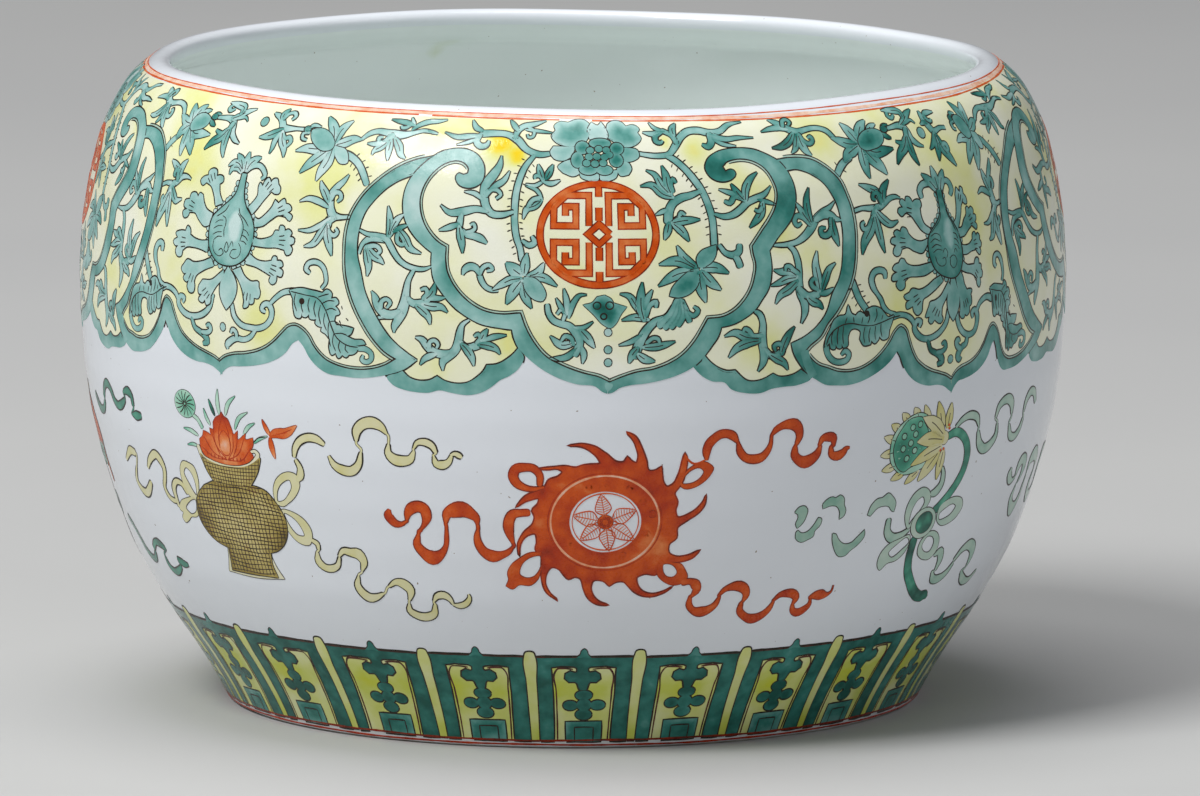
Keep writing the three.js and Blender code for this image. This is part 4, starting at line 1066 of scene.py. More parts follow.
RIGHT_PLANTS = """
S 0 .45 | 17.4,155.9,1 18.4,155.5,1.3 21.5,153,1.5 23.9,150,1.6 25.6,147.3,1.6 27,143.8,1.6 27.9,140,1.6 28,137,1.5 28,134.8,1.5 28,132.6,1.4
S 0 .4 | 9.6,156.7,.8 12.2,156.2,1 15.3,155.9,1.2 18.4,156.4,1.4 20.1,158.3,1.7 21.8,160.7,1.8 24.2,162.4,1.8 27,162.6,1.8 30.1,161.8,1.8 33.2,162.2,1.5 35.6,163.8,1.3 40.1,164.7,.2
S 1 .45 | 30,161,1.4 32,160.3,1.4 34.4,159.8,1.3 37.3,160,1.0 42.1,159.8,.15
1.0 1 | 30.4,160 33.5,158.4 36.8,157.8
S 1 .5 | 30,161.2,1.6 30.1,159.2,1.8 28.9,158,1.5 27.7,158.5,.8
S 1 .45 | 20.6,159.4,1.2 19.6,161.3,1.2 17.4,162.7,1.2
1.1 1 | 18,162.4 15.3,163.6 13.9,165.5
1.5 1 | 17.4,162.4 14.6,161.8 11.8,162.3
S 1 .6 | 16.8,162.3,1.2 15.2,161.2,1.4 15.2,159.8,1.3 16.5,159.4,.9 17.1,160,.5
1.8 2 .6 | 20.3,161 20,163 21.3,165.1
S 1 .5 | 25.3,146.8,.8 22.9,145.9,1.5 20.1,145.2,1.8 18,143.8,1.9 17,141.7,2.1 16.8,139.8,2.1
1.9 2 .5 | 18.6,145.4 16,146.2 12.9,148.6 10.1,148.3
1.6 2 .45 | 17.6,146.2 15.6,148.4 13.9,151.3 11.8,152.3
2.1 2 .5 | 18,146 17.1,148.5 16.9,150.6 16,153.5
S 2 .6 | 18.3,147,1.0 18,148.8,1.0 18.6,150,1.0 19.2,149.2,.7
1.1 1 | 17.3,142.6 15.4,142 13.6,141.2
S 1 .5 | 18.4,139.8,1 19.6,140.5,1.0 20.1,141.7,.9 21,141.2,.6
1.9 2 .5 | 17.4,139.2 20.5,139.7 24.9,139.9
1.8 2 .5 | 17,139.6 16.6,137.6 15.6,135.1
2.0 2 .5 | 17.6,139.4 20.1,137.2 21.8,134.6
S 1 .5 | 28.8,141,.7 30.8,140.4,1.2 33.2,140.7,1.5 35.6,142.1,1.6 37.3,143.5,1.6 39.4,144.3,1.5 42.1,145.3,1.2 44.2,147.3,.2
1.9 2 .6 | 37,143.6 37.2,146.6 38.9,149.3 41.1,150.9
1.7 2 .7 | 36.9,143.8 35,146 33.5,148.4
1.3 2 .6 | 36.4,144.6 33.4,146 30.1,147.1
S 2 .55 | 36.4,144.6,1.3 34.2,145.2,1.3 32.7,143.6,1.2 31.6,144,.8
1.0 1 | 40,144.2 42.6,143.4 44.9,142.6
2.0 1 .6 | 41.6,143.8 40.6,140.6 37.3,137.3
S 2 .6 | 41,142,.9 40.2,141.2,.9 39.3,141.6,.6
2.1 2 .5 | 23.5,128.2 20.4,130.6 18.6,133.8
2.5 2 .55 | 23.2,128 18.6,130 14,129.2
2.6 2 .45 | 23.2,127.6 18.5,126.8 13.7,124
2.7 2 .5 | 23.9,127.4 24.2,123.6 25.4,119.7
2.5 2 .55 | 24.2,127.7 26.3,125 29.3,122.6
2.5 2 .6 | 24.2,128.1 28,128.1 31.4,126.6
S 1 .5 | 29.4,133.3,.9 30.8,131.5,1.2 33,131,1.6 34.2,131.8,1.6 34.4,133,1.4
S 1 .5 | 33,130.9,1.4 33.8,129.6,1.5 34.2,128.4,1.5
S 2 .45 | 18.2,120.4,1.2 16.6,117.2,1.5 14,114.6,1.4
S 2 .5 | 18.6,120.4,1.2 17.6,116.8,1.5 15.4,114.2,1.4
S 2 .55 | 19,120.4,1.3 18.7,116.9,1.6 16.9,114.3,1.4
S 2 .5 | 19.3,120.3,1.3 19.7,117,1.6 18.6,114.8,1.4
S 2 .5 | 19.5,120.2,1.2 20.7,117.2,1.5 21.2,115.6,1.2
S 2 .5 | 19.6,120,.9 20.6,117.8,1.0 22.3,116.7,1.1 23.4,118,1.0 22.5,118.8,.6
S 1 .5 | 17.35,119,1.0 15.6,116.6,1.3 12.9,115.55,1.6 10.8,113.5,1.9 9.1,110.4,2.1 8.05,107.6,2.0
2.3 2 .6 | 10.4,115.6 9.6,119 9.6,122 9.95,125.2
1.5 2 .6 | 10.4,118.4 11,120.8 12.4,123.3
S 2 .55 | 10.8,117.2,1 11.8,119.6,1.1 13.2,120.3,1.1 13.2,119.2,.8
1.7 1 .45 | 10,117 8.3,119.6 6.7,121.8 4.4,122.4
1.6 1 .5 | 11.6,116 8,116.7 4.8,116
1.2 1 .5 | 10,112.6 7,110.8 4.1,110
1.8 2 .55 | 9.8,109.4 13.6,109.6 17.9,110.7
S 2 .55 | 11,110.6,.9 12.4,111.6,.9 13.6,111.4,.9 14,110.4,.6
1.8 2 .5 | 9,109.6 7.4,107.6 6.6,105.6
1.9 2 .5 | 8.6,108 10.4,106.6 13,106
"""
RIGHT_PETALS = ["23.8,128.1| 21.8,127.6 19,125.6 17.1,123.4 16.5,121.6| 18.8,121.2 21.4,122 23.4,124 24,126|",
                "23.8,128.3| 23.4,130.4 24.6,132.2 26.4,133 28.4,133.6| 28.4,131.6 27.2,129.5 25,128.2|"]


def peony(T):
    rows = [
        ("-2.2,165 -3.4,166.1 -5.4,166.2 -7.5,165.2| -9.6,165.4 -11,164 -10.6,162.6| -11.6,161 -10.6,159.4 -8.4,158.4 -5.8,158.3 -3.4,159.3 -2.4,161 -2.1,163|", 0.3, 0.42),
        ("2.2,163.2 2.6,164.9 4.2,165.9 6.2,165.6 7.4,164.2| 9.4,164.7 10.8,163.2 10.2,162.2| 11,160.6 9.6,158.9 7,158.2 4.6,159.2 2.6,160.6|", 0.3, 0.4),
        ("-2.2,160.3 -2.6,163 -1.6,165.4| 0,164.4 .9,165.6| 2,163.4 2.4,160.8 .4,160|", 0.12, 0.1),
        ("-5.6,158.2 -8.2,158.2 -11,158.2| -11.8,156.8 -10.8,155 -8.4,154.6 -6.6,155.6|", 0.3, 0.2),
        ("5.4,157.9 7.6,158 9.8,157.4 10.1,155.8 8.4,154.6 5.9,154.7|", 0.45, 0.2),
        ("-6.2,155 -8.6,154.2 -9.9,153 -8.6,151.5| -6,150.7 -4.6,151.6 -4.8,153.4|", 0.25, 0.15),
        ("5,154.6 7.3,154.2 8,152.6 7.2,151.2| 5.2,150.9 4.3,152.2|", 0.35, 0.2),
        ("-4.8,152.4 -4.4,150.5 -2.4,149.6| -.3,149.8 -.1,151.6|", 0.35, 0.15),
        (".2,151.8 .2,149.9 2.2,149.6| 4,150.4 4.7,152.4|", 0.3, 0.15),
    ]
    for i, (t, a, d) in enumerate(rows):
        shape(G, INK, t, layer=2, tone=a, deep=d, reach=2.4, T=T, edge=0.26, grid=1.6)
    for cu, cs, ru, rs in [(0.4, 159.2, 2.7, 1.3), (-4, 158, 1.7, 1.7), (4.6, 157.8, 1.7, 1.6), (-5.2, 154.8, 1.5, 2.0), (4.3, 154.8, 1.7, 1.7), (-2.6, 152.4, 2.2, 1.3), (1.3, 152.3, 2.0, 1.2)]:
        disc(G, INK, cu, cs, ru, rs, layer=3, tone=0.5, deep=0.3, reach=1.2, T=T, edge=0.27, grid=1.2)
    for cu, cs in [(-2.1, 157.3), (0, 157.7), (1.9, 157.4), (-2.4, 155.6), (-0.5, 155.7), (1.4, 155.6), (-3, 154), (-1, 153.9), (1.0, 154.1), (2.6, 156.2)]:
        disc(G, INK, cu, cs, 0.95, 0.85, layer=4, tone=0.6, T=T, edge=0.24, grid=1.2)


def bat(T):
    shape(G, INK, ".8,122.1 2.4,121.1 2.9,120.2| 6,119.2| 4.6,117.4 3.4,115.2 2.2,114.2 .5,115 -1.6,117.4 -4,119.8| -1.9,120.4 -.9,121.7|", layer=2, tone=0.45, deep=0.5, reach=2.2, T=T, edge=0.2, grid=1.6)
    for cu, cs, r in ((-0.9, 119.6, 0.85), (2, 119.6, 0.9), (0.6, 117, 0.7)):
        line(INK, oval(cu, cs, r, r), w=0.34, h=0.28, T=T, closed=True, step=0.5)
    for cs, t in ((113.2, 0.2), (109, 0.5), (105.9, 0.4)):
        disc(G, INK, 1.6, cs, 0.85, 0.9, layer=2, tone=t, T=T, edge=0.25)


def fret_roundel(T, seed):
    """A round medallion of key fret, mirror-symmetrical both ways."""
    cu, cs, ru, rs = -0.3, 136.7, 13.5, 12.2
    M, ML = "roundel_enamel_red", "roundel_enamel_red"

    def path(p, w, closed=False, tone=0.5):
        p = np.array(p, float)
        if closed:
            p = np.vstack([p, p[0]])
        seg = [p[0]]
        for a, b in zip(p[:-1], p[1:]):
            n = max(2, int(np.linalg.norm(b - a) / 0.9))
            seg += [a + (b - a) * (i + 1) / n for i in range(n)]
        c = np.array(seg)
        c = T(np.column_stack([c[:, 0] + cu, c[:, 1] + cs]))
        jog = RNG.uniform(0, 40)
        d = np.concatenate([[0], np.cumsum(np.linalg.norm(np.diff(c, axis=0), axis=1))])
        ww = w * (1 + wave(d, jog, 0.09))
        # mitred strokes drawn piece by piece, so that corners stay square
        o = offset(c, 0)
        left, right = offset(c, 1.0), offset(c, -1.0)
        wl = (left - o) * (ww / 2)[:, None]
        for k, (hh, grow, tn) in enumerate(((0.14, 0.3, 0.86), (0.18, 0.0, tone))):
            e = (left - o) * (ww / 2 + grow)[:, None]
            b = buf(M)
            n = len(c)
            A, B = o + e, o - e
            pts = np.vstack([A, A, B, B])
            hs = np.concatenate([np.full(n, -SINK), np.full(n, hh), np.full(n, hh), np.full(n, -SINK)])
            tt = tn + np.tile(wave(d, jog + 3, 0.10), 4)
            f0 = b.points(wrap(pts[:, 0], pts[:, 1], hs), tt)
            i = np.arange(n - 1)
            for q0, q1, sm in ((0, 1, False), (1, 2, True), (2, 3, False), (3, 0, False)):
                b.quads(np.column_stack([i + q0 * n, i + q1 * n, i + 1 + q1 * n, i + 1 + q0 * n])[:, ::-1] + f0, sm)
            for e0, rev in ((0, False), (n - 1, True)):
                q = [[f0 + e0, f0 + e0 + n, f0 + e0 + 2 * n, f0 + e0 + 3 * n]]
                b.quads(q if rev else [q[0][::-1]], False)

    ring = oval(0, 0, ru, rs, n=90)
    path(ring, 1.35, closed=True, tone=0.46)
    path(oval(0, 0, 2.6, 2.4, n=4), 1.2, closed=True)
    for sx in (-1, 1):
        for sy in (-1, 1):
            # square spiral in each quarter
            q = [(1.2, 1.6), (1.2, 9.6), (6.4, 9.6), (9.3, 6.6), (9.3, 1.6), (4.2, 1.6), (4.2, 6.6), (6.6, 6.6), (6.6, 4.2)]
            q = [(sx * (x + 1.1), sy * (y * 0.92 + 0.5)) for x, y in q]
            path(q, 1.25, tone=0.44)
    # short bars that tie the frets to the ring at the four sides
    for a, b in (((0, 9.0), (0, 11.5)), ((0, -9.0), (0, -11.5)), ((0, 3.2), (0, 6.4)), ((0, -3.2), (0, -6.4))):
        path([a, b], 1.3)


# ---------------------------------------------------------------- foot border

LAP = [-104, -67.5, -35, -3.5, 29, 61, 92, 125]
LAP = LAP + [125 + (PERIOD - 104 - 125) / 16 * i for i in range(1, 16)]


def lappets():
    n = len(LAP)
    FG, FY, FI = "foot_enamel_green", "foot_enamel_yellow", "ink_foot"
    # yellow base coat all round
    m = 720
    u = np.arange(m) * PERIOD / m - PERIOD / 2
    rows = np.linspace(1.0, 27.4, 12)
    U, S = np.meshgrid(u, rows)
    S = S + 0.35 * np.sin(U * 0.05 + 1) * (S / 28)
    t = 0.26 + 0.10 * np.sin(U * 0.19 + S * 0.2) + 0.08 * np.sin(U * 0.43 + 2) + 0.30 * np.exp(-((S - 17) / 4.5) ** 2)
    b = buf(FY)
    a0 = b.points(wrap(U.ravel(), S.ravel(), np.full(U.size, 0.04)), t.ravel())
    a1 = b.points(wrap(U.ravel(), S.ravel(), np.full(U.size, -SINK)), t.ravel())
    r = len(rows)
    i = (np.arange(r - 1)[:, None] * m + np.arange(m)[None]).ravel()
    j = (np.arange(r - 1)[:, None] * m + (np.arange(m)[None] + 1) % m).ravel()
    b.quads(np.column_stack([i, j, j + m, i + m]) + a0, True)
    b.quads(np.column_stack([i, i + m, j + m, j]) + a1, False)
    e, f = np.arange(m), (np.arange(m) + 1) % m
    b.quads(np.column_stack([e + a1, f + a1, f + a0, e + a0]), False)
    q = (r - 1) * m
    b.quads(np.column_stack([e + a0 + q, f + a0 + q, f + a1 + q, e + a1 + q]), False)

    for i in range(n):
        uc = LAP[i]
        un = LAP[(i + 1) % n] + (PERIOD if i == n - 1 else 0)
        up = LAP[i - 1] - (PERIOD if i == 0 else 0)
        lw, rw = (uc - up) / 2, (un - uc) / 2
        rr = RNG.uniform(-1, 1, 8)
        lean = rr[0] * 0.5
        top = 27.6 + 0.5 * rr[1] * 0.6
        xl, xr = uc - lw + 1.7, uc + rw - 1.7

        def p(x, s):
            return (uc + x + lean * (s - 15) / 15, s)

        # green frame with the panel left open
        fl = [(xl, 0.9), (xl, 15), (xl, top), (uc - 1.9, top + 0.05), (uc, top + 0.05), (uc + 1.9, top), (xr, top), (xr, 15), (xr, 0.9)]
        pl, pr = -lw + 6.3, rw - 6.3
        inner = [p(pr - 0.9, 0.9), p(pr - 0.5, 8), p(pr, 16), p(pr + 0.1, 24.6), p(pr - 3.2, 25.2), p(2.4, 24.9), p(1.5, 24.4), p(1.5, 23.4),
                 p(2.2, 22.9), p(3.6, 23.3), p(5.0, 22.3), p(5.2, 20.9), p(3.9, 19.8), p(2.2, 19.9), p(1.6, 19.2), p(1.1, 17.6), p(0.9, 17.0),
                 p(-0.9, 17.0), p(-1.2, 17.6), p(-1.7, 19.3), p(-2.4, 19.9), p(-4.2, 19.8), p(-5.4, 21.0), p(-5.1, 22.5), p(-3.7, 23.3), p(-2.3, 22.8),
                 p(-1.6, 23.3), p(-1.6, 24.4), p(-2.6, 25.0), p(pl + 3.2, 25.2), p(pl, 24.6), p(pl, 16), p(pl - 0.3, 8), p(pl - 0.6, 0.9)]
        loop = np.array(fl + inner)
        # subdivide the straight runs
        pts = []
        for a, bb in zip(loop, np.roll(loop, -1, axis=0)):
            k = max(1, int(np.linalg.norm(bb - a) / 1.5))
            pts += [a + (bb - a) * x / k for x in range(k)]
        loop = np.array(pts)
        fill(FG, [loop], 0.13, tone=0.88 + 0.05 * rr[2], rim=0.05, vary=0.05, grid=2.2)
        outline(FI, loop, w=1.1, h=0.10)
        # brown double line just inside the panel's edge
        for side, x0 in ((-1, pl), (1, pr)):
            g = -side
            lin = [p(x0 + side * -0.0 + g * 1.15 + (side * -0.9 if side > 0 else -0.5), 1.0), p(x0 + g * 1.15 + (side * -0.4 if side > 0 else -0.2), 9), p(x0 + g * 1.15, 17),
                   p(x0 + g * 1.15, 23.0), p(x0 + g * 2.0, 24.1), p(x0 + g * 3.6, 24.3), p(g * -1.0 * 2.9, 24.0)]
            line(FI, lin, w=0.52, h=0.12, tone=0.95)
        # oval, cross of ovals, stepped base
        for dx, cs, ru, rs in ((0, 15.5, 2.6, 1.55), (-4.3, 12.2, 2.25, 1.5), (4.3, 12.3, 2.35, 1.5), (-0.2, 9.3, 2.6, 1.6), (0, 12.4, 2.3, 1.9)):
            cx, cy = p(dx + rr[3] * 0.2, cs + rr[4] * 0.2)
            lp = oval(cx, cy, ru, rs)
            outline(FI, lp, w=0.85, h=0.10)
            fill(FG, [lp], 0.14 + (0.012 if dx == 0 else 0), tone=0.88, deep=0.1, reach=1.2, grid=1.4)
        st_loop = [p(-5.9, 0.9), p(-5.8, 6.8), p(5.8, 6.9), p(5.6, 0.9)]
        pts = []
        for a, bb in zip(np.array(st_loop), np.roll(np.array(st_loop), -1, axis=0)):
            k = max(1, int(np.linalg.norm(bb - a) / 1.5))
            pts += [a + (bb - a) * x / k for x in range(k)]
        outline(FI, np.array(pts), w=1.0, h=0.10)
        fill(FG, [np.array(pts)], 0.14, tone=0.66, deep=0.2, grid=1.8)
        line(FI, [p(-3.1, 0.9), p(-3.1, 3), p(-3.05, 5.1)], w=0.42, h=0.2)
        line(FI, [p(-3.1, 5.15), p(0, 5.25), p(3.2, 5.2)], w=0.42, h=0.2)
        line(FI, [p(3.15, 5.2), p(3.15, 3), p(3.05, 0.9)], w=0.42, h=0.2)
        # finial
        fin = np.array([(uc - 2.3, top - 0.2), (uc - 1.0, top + 1.0), (uc - 0.7, top + 2.0), (uc + 0.1, top + 2.6), (uc + 0.8, top + 2.0), (uc + 1.1, top + 1.0), (uc + 2.3, top - 0.2)])
        fl2 = curve(fin, step=0.6)
        outline(FI, fl2, w=0.55, h=0.11)
        fill(FG, [fl2], 0.15, tone=0.8, grid=1.2)
        # top line
        line(FI, [(xl, top), (uc - 2, top + 0.05)], w=0.4, h=0.16, tone=0.8)
        line(FI, [(uc + 2, top + 0.05), (xr, top)], w=0.4, h=0.16, tone=0.8)
        # separator to the right, with a round head
        us = uc + rw
        hd = 29.4 + rr[5] * 0.5
        sep = np.array([(us - 1.25, 1.0), (us - 1.4, 10), (us - 1.45, 20), (us - 1.5, hd - 1.4), (us - 1.1, hd - 0.3), (us, hd), (us + 1.1, hd - 0.3), (us + 1.5, hd - 1.4), (us + 1.45, 20), (us + 1.35, 10), (us + 1.2, 1.0)])
        sl = curve(sep, step=0.9)
        outline(FI, sl, w=0.85, h=0.15)
        fill(FY, [sl], 0.18, tone=0.26, grid=1.8, spots=[(us, 3, 5, 0.3)], vary=0.05)


# ---------------------------------------------------------------- emblems

WHEEL_OUT = "-14.97,79.84| -11.4,80.36 -8.6,80.6 -5.9,80.2 -4.3,80.75 -2.3,81 0.05,81.3 -0.5,82.5 -2.3,84.3 -4.7,85.5 -7.9,85.7| -4.7,86.1 -1.5,85.4 1.2,83.7 4.4,81.4 5.6,81.5 6.5,82.85| 7.6,81.7 8.7,81.15 9.2,82.5 8.75,84.9 7.6,87.3 6.2,88.9| 8.4,87.7 9.9,84.9 11.1,81.7 11.9,79.2 13.5,79.3 14.9,80.2| 15.1,78.2 15.5,76.2 16.5,75 18,75.6 19.2,77.8 20,80.95 20.6,83.4| 21.1,82.1 21,79.4 20.4,76.6 19.4,74.8 18.4,73.4 19.2,71.1 18.8,68.7 19.4,67.1 22.2,67.7 24.6,69.3 25.95,71.1 26.5,72.65| 26.3,70.3 25,68.3 22.2,66.3 19.6,64.3 19.6,61.6 17.8,60 18,57.6 20.2,56.6 23,56.8 26.1,58.1| 24.2,56.2 21,55.3 17.4,55.05 15.5,54.5 15.1,52.1 11.9,52.2 9.9,51.3 10.1,49.3 11.9,47.3 14.7,46.6 17.4,47.3 19.8,48.5| 17,46.75 13.5,45.96 9.9,47.1 7.6,49.3 6.8,50.1 4.4,50.1 2.8,49.1| 1.2,50.5 -1.5,50.5 -2.1,48.9 -1.5,46.55 0.45,44.6 2.8,43.7| -0.3,43.98 -2.7,45.8 -3.9,48.5 -4.9,51.3 -6.3,51.7 -7.9,51.1 -9,52.1 -10.2,53.7 -12.2,54.3 -13.4,52.9 -14,50.1 -13,47.3 -10.7,45.05| -13.8,47.7 -14.8,51.3 -14.8,54.5 -14.8,57.2 -16.2,59 -15.8,60.8 -16.2,63.2 -18.1,62.8 -20.1,60.4 -20.5,57| -20.7,60 -18.9,63.55 -16.6,65.9 -16.2,67.9 -16.75,69.1 -15.2,71.1 -15,72.25 -17.7,71.9 -20.9,70| -18.5,72.8 -15,74.4 -13.8,75 -12.6,77 -10.2,78 -9.2,79.2 -9.8,79.7 -13,79.8|"


def folds(rows, width, reach=3.9):
    """The narrow turns between one curl of a ribbon and the next."""
    p = [nums(r) for r in rows.strip().splitlines() if r.strip()]
    for a, b in zip(p[:-1], p[1:]):
        d = b[0, :2] - a[-1, :2]
        if 0.15 < np.linalg.norm(d) < reach:
            ta = a[-1, :2] - a[-2, :2]
            tb = b[1, :2] - b[0, :2]
            ta, tb = ta / max(np.linalg.norm(ta), 1e-6), tb / max(np.linalg.norm(tb), 1e-6)
            g = np.linalg.norm(d) / 3
            q = np.array([a[-1, :2] - ta * 0.3, a[-1, :2] + ta * g * 0.7, b[0, :2] - tb * g * 0.7, b[0, :2] + tb * 0.3])
            yield np.column_stack([q, np.full(4, width)])


def red_ribbons(rows, T=None):
    for p in folds(rows, 0.75):
        stroke("emblem_wheel_red", "emblem_wheel_lines", p, layer=1, tone=0.66, T=T, edge=0.2, vary=0.1, step=0.4)
    for row in rows.strip().splitlines():
        p = nums(row)
        stroke("emblem_wheel_red", "emblem_wheel_lines", p, layer=2, tone=0.58, T=T, edge=0.26, vary=0.12)


WHEEL_RIB = """
-14.8,76,1.2 -14.8,78.2,1.5 -16.4,80,1.8 -18.3,80.2,1.9 -20.7,79.6,2.2 -21.3,78,2.2 -20.5,76.2,2 -18.7,75.1,1.4 -16.2,74.7,.9 -14,75.2,.6
26.13,81.6,.6 25.98,83.29,1.7 26.53,85.28,2 27.97,86.8,2 29.35,87.63,1.9 31.18,87.72,1.8 32.56,87.1,1.8 33.48,85.98,1
34.09,84.8,.8 34.6,83.1,1.6 36.08,81.5,1.7 38.2,81,2 40.06,81.3,1.8 41.6,82.7,1.4 42.45,84.5,.9 42.57,86.3,.5
42.8,87,.6 43.7,88,1.3 45.3,88.86,1.6 46.95,89.16,2.2 48.6,88.95,2.6 49.9,87.4,2 50.1,85.9,1.5 49.55,84.36,.9
49.1,83.1,1.1 49.1,81.45,1.9 50.3,80.07,2.2 52.15,79.37,2.9 54,80.07,2.4 55.4,81.3,1.7 56,82.7,.8
56,83.7,.7 56.6,84.8,1.4 58.1,85.2,2 59.65,84.8,2 59.9,83.4,1
59.2,82.2,.9 59.5,80.8,1.5 61.2,80.2,2.1 62.9,81,1.6 63.8,81.9,.9 64.7,82,.2
22.6,49.6,1.6 24.45,49.67,1.4 25.8,48.85,2.4 26.3,47.3,2 25.4,45.9,.9
24.75,45.17,.8 24.7,43.2,1.5 26,41.5,1.6 28.3,40.9,2.7 30.4,41.5,2.1 32.1,42.9,1.4 32.9,44.7,.7
32.9,45.6,.6 34.1,46.9,1.1 35.9,47.6,1.7 38.2,47.7,2.5 40.06,46.55,2.2 40.6,45,1.6 40.06,43.5,.6
39.6,42.7,.9 39.6,40.7,1.6 41.3,38.9,1.9 44,37.9,2.6 46.5,38.7,2 48.3,40.4,1.5 49.1,42.3,.6
49.2,43,.7 50.6,44.3,1.2 52.8,44.7,2 54.9,44.3,2.2 56,43,1.6 55.6,41.65,.7
55.5,40.9,.8 56,39.5,1.4 57.7,38.65,2.1 59.65,39.4,2 60.9,40.9,1.2 60.8,42.1,.5
60.6,43,.8 62.1,43.3,2 63.9,43.3,2.6 65.8,43.2,1.1 67,43.95,.4 67.2,45.7,.2
-18,68.65,1.5 -19.9,68.5,1.6 -21.6,68.2,2.2 -22.6,66.7,2.3 -22.9,64.8,2.4 -22.6,62.8,1.8 -22,60.85,.8
-21.9,59.6,.5 -23,58.3,1.1 -25,57.3,1.8 -27.2,56.9,2.9 -29.45,58,2.2 -30.7,59.9,1.9 -31.05,61.97,1.4 -30.7,63.9,.5
-30.7,65.2,.5 -31,66.9,1.9 -32.25,68,2.6 -34.4,69,3.8 -36.7,68.6,3.4 -38.4,67.6,2.2 -38.85,65.6,.8
-38.85,63.9,.5 -39,61.7,1 -39.4,59.2,1.1 -40.7,57.2,1.8 -43.3,55.9,3.6 -45.7,57.3,2.4 -47.1,59.4,1.8 -46.6,61.4,.9 -46.3,62.5,.4
-45.7,63.2,.4 -44.5,64.8,1.2 -43.8,66.7,2.4 -44.2,68.6,2.6 -45.7,69.3,2.6 -47.4,68.8,2.6 -48.7,67.3,1.8 -49.1,65.8,.7
-49.2,65.3,.5 -50.5,64.5,.9 -52.2,64.5,1.8 -53.4,65.5,2.2 -54,66.7,2.2 -53.7,67.7,1
"""


def wheel():
    W, WL = "emblem_wheel_red", "emblem_wheel_lines"
    out = corners(WHEEL_OUT, closed=False, step=0.7)
    hub = oval(1.3, 66.1, 9.1, 8.0)
    outline(WL, out, w=0.8, h=0.11)
    fill(W, [out, hub], 0.14, tone=0.54, rim=0.1, vary=0.12, grid=1.8,
         spots=[(12, 76, 4, 0.25), (-12, 60, 4, 0.25), (0, 54, 4, 0.25), (-9, 76, 3, -0.1), (15, 60, 4, -0.1)])
    line(WL, oval(1.3, 66.1, 13.6, 12.0), w=0.5, h=0.17, closed=True, tone=0.15)
    line(WL, oval(1.3, 66.1, 14.3, 12.7), w=0.3, h=0.165, closed=True, tone=0.75)
    line(WL, oval(1.4, 66.2, 9.2, 8.2), w=0.4, h=0.12, closed=True, tone=0.6)
    line(WL, oval(1.4, 66.2, 8.3, 7.4), w=0.28, h=0.12, closed=True, tone=0.5)
    for x, y in ((-3.5, 75.9), (1.6, 77), (8.2, 75.6), (12.1, 71.9), (15.1, 68.3), (13.7, 62.8), (-8.6, 59.4), (-11, 65.5), (-2.7, 55.8), (-7.9, 72.6), (6.8, 56.5)):
        x2 = 1.3 + (x - 1.3) * 0.86
        y2 = 66.1 + (y - 66.1) * 0.92
        disc(W, WL, x2, y2, 0.95, layer=2, tone=0.62, edge=0.14, grid=1.0)
    for tx, ty in ((0.05, 74), (9.7, 69.5), (9.5, 60.8), (2.6, 57.8), (-5.5, 61), (-7.5, 68.1)):
        c = np.array([1.4, 66.2])
        tip = c + (np.array([tx, ty]) - c) * 0.92
        d = (tip - c) / np.linalg.norm(tip - c)
        n = np.array([-d[1], d[0]])
        L = np.linalg.norm(tip - c)
        for sg in (-1, 1):
            line(WL, [c + d * 1.6, c + d * L * 0.45 + n * sg * 2.0, c + d * L * 0.75 + n * sg * 1.3, tip], w=0.26, h=0.13, tone=0.55)
        line(WL, [c + d * 1.5, c + d * (L - 0.5)], w=0.22, h=0.13, tone=0.5)
        for f in np.linspace(0.28, 0.86, 8):
            half = 1.9 * math.sin(math.pi * min(1, f * 1.02)) ** 0.7
            for sg in (-1, 1):
                a = c + d * L * f
                line(WL, [a, a + n * sg * half * 0.9 + d * 0.5], w=0.16, h=0.125, tone=0.42, step=0.9)
    disc(W, WL, 1.4, 66.2, 1.9, 1.8, layer=2, tone=0.5, edge=0.15, grid=1.0)
    for a in range(7):
        disc(W, WL, 1.4 + 1.1 * math.cos(a * 0.9), 66.2 + 1.1 * math.sin(a * 0.9), 0.35, layer=3, tone=0.7, edge=0.1, grid=0.8)
    red_ribbons(WHEEL_RIB)
    for o, hl in (
        ("-14.8,58.2 -17.7,58 -20.5,56.4 -22.7,54.5 -23.7,52.1 -23.5,50.9 -24.3,48.9| -22.7,48.1 -20.9,49.3 -17.7,49.3 -16.2,50.5 -14.8,53.7|", "-14.9,57.3 -17.7,56.8 -20.1,54.5 -20.5,52.1 -19.3,51.3 -17,51.5 -15.2,53.7|"),
        ("20,75 21,74.4 23,74.6 25.4,75.8 27.3,77.8 27.9,79.4 26.9,80.4 25.4,81 23.4,80.4 21.4,79|", "20.2,75.8 23,75.8 25,77.2 25.6,78.6 24.6,79.6 22.6,79.2 21,77.8|"),
        ("15.5,54.5 15.3,52.1 17,50.1 19.8,48.9 22.6,49.7 23.4,50.9 22.6,52.9 21.4,54.5 19.8,55|", "16.7,54.7 16.7,52.9 17.8,51.3 19.8,51.1 20.6,52.1 19.8,53.9 18.6,54.7|"),
    ):
        shape(W, WL, o, holes=(hl,), layer=2, tone=0.55, edge=0.2, grid=1.2)
    line(WL, [(20.6, 83), (21.6, 81.5), (23, 80.6), (26.1, 81.6)], w=0.5, h=0.15, tone=0.55)


def ribs(piece, ink, rows, T=None, layer=1, tone=0.4, edge=0.36, vary=0.1):
    for p in folds(rows, 0.5):
        stroke(piece, ink, p, layer=max(layer - 1, 0), tone=tone, T=T, edge=0.16, vary=vary, step=0.4)
    for row in rows.strip().splitlines():
        if row.strip():
            stroke(piece, ink, nums(row), layer=layer, tone=tone, T=T, edge=edge, vary=vary)


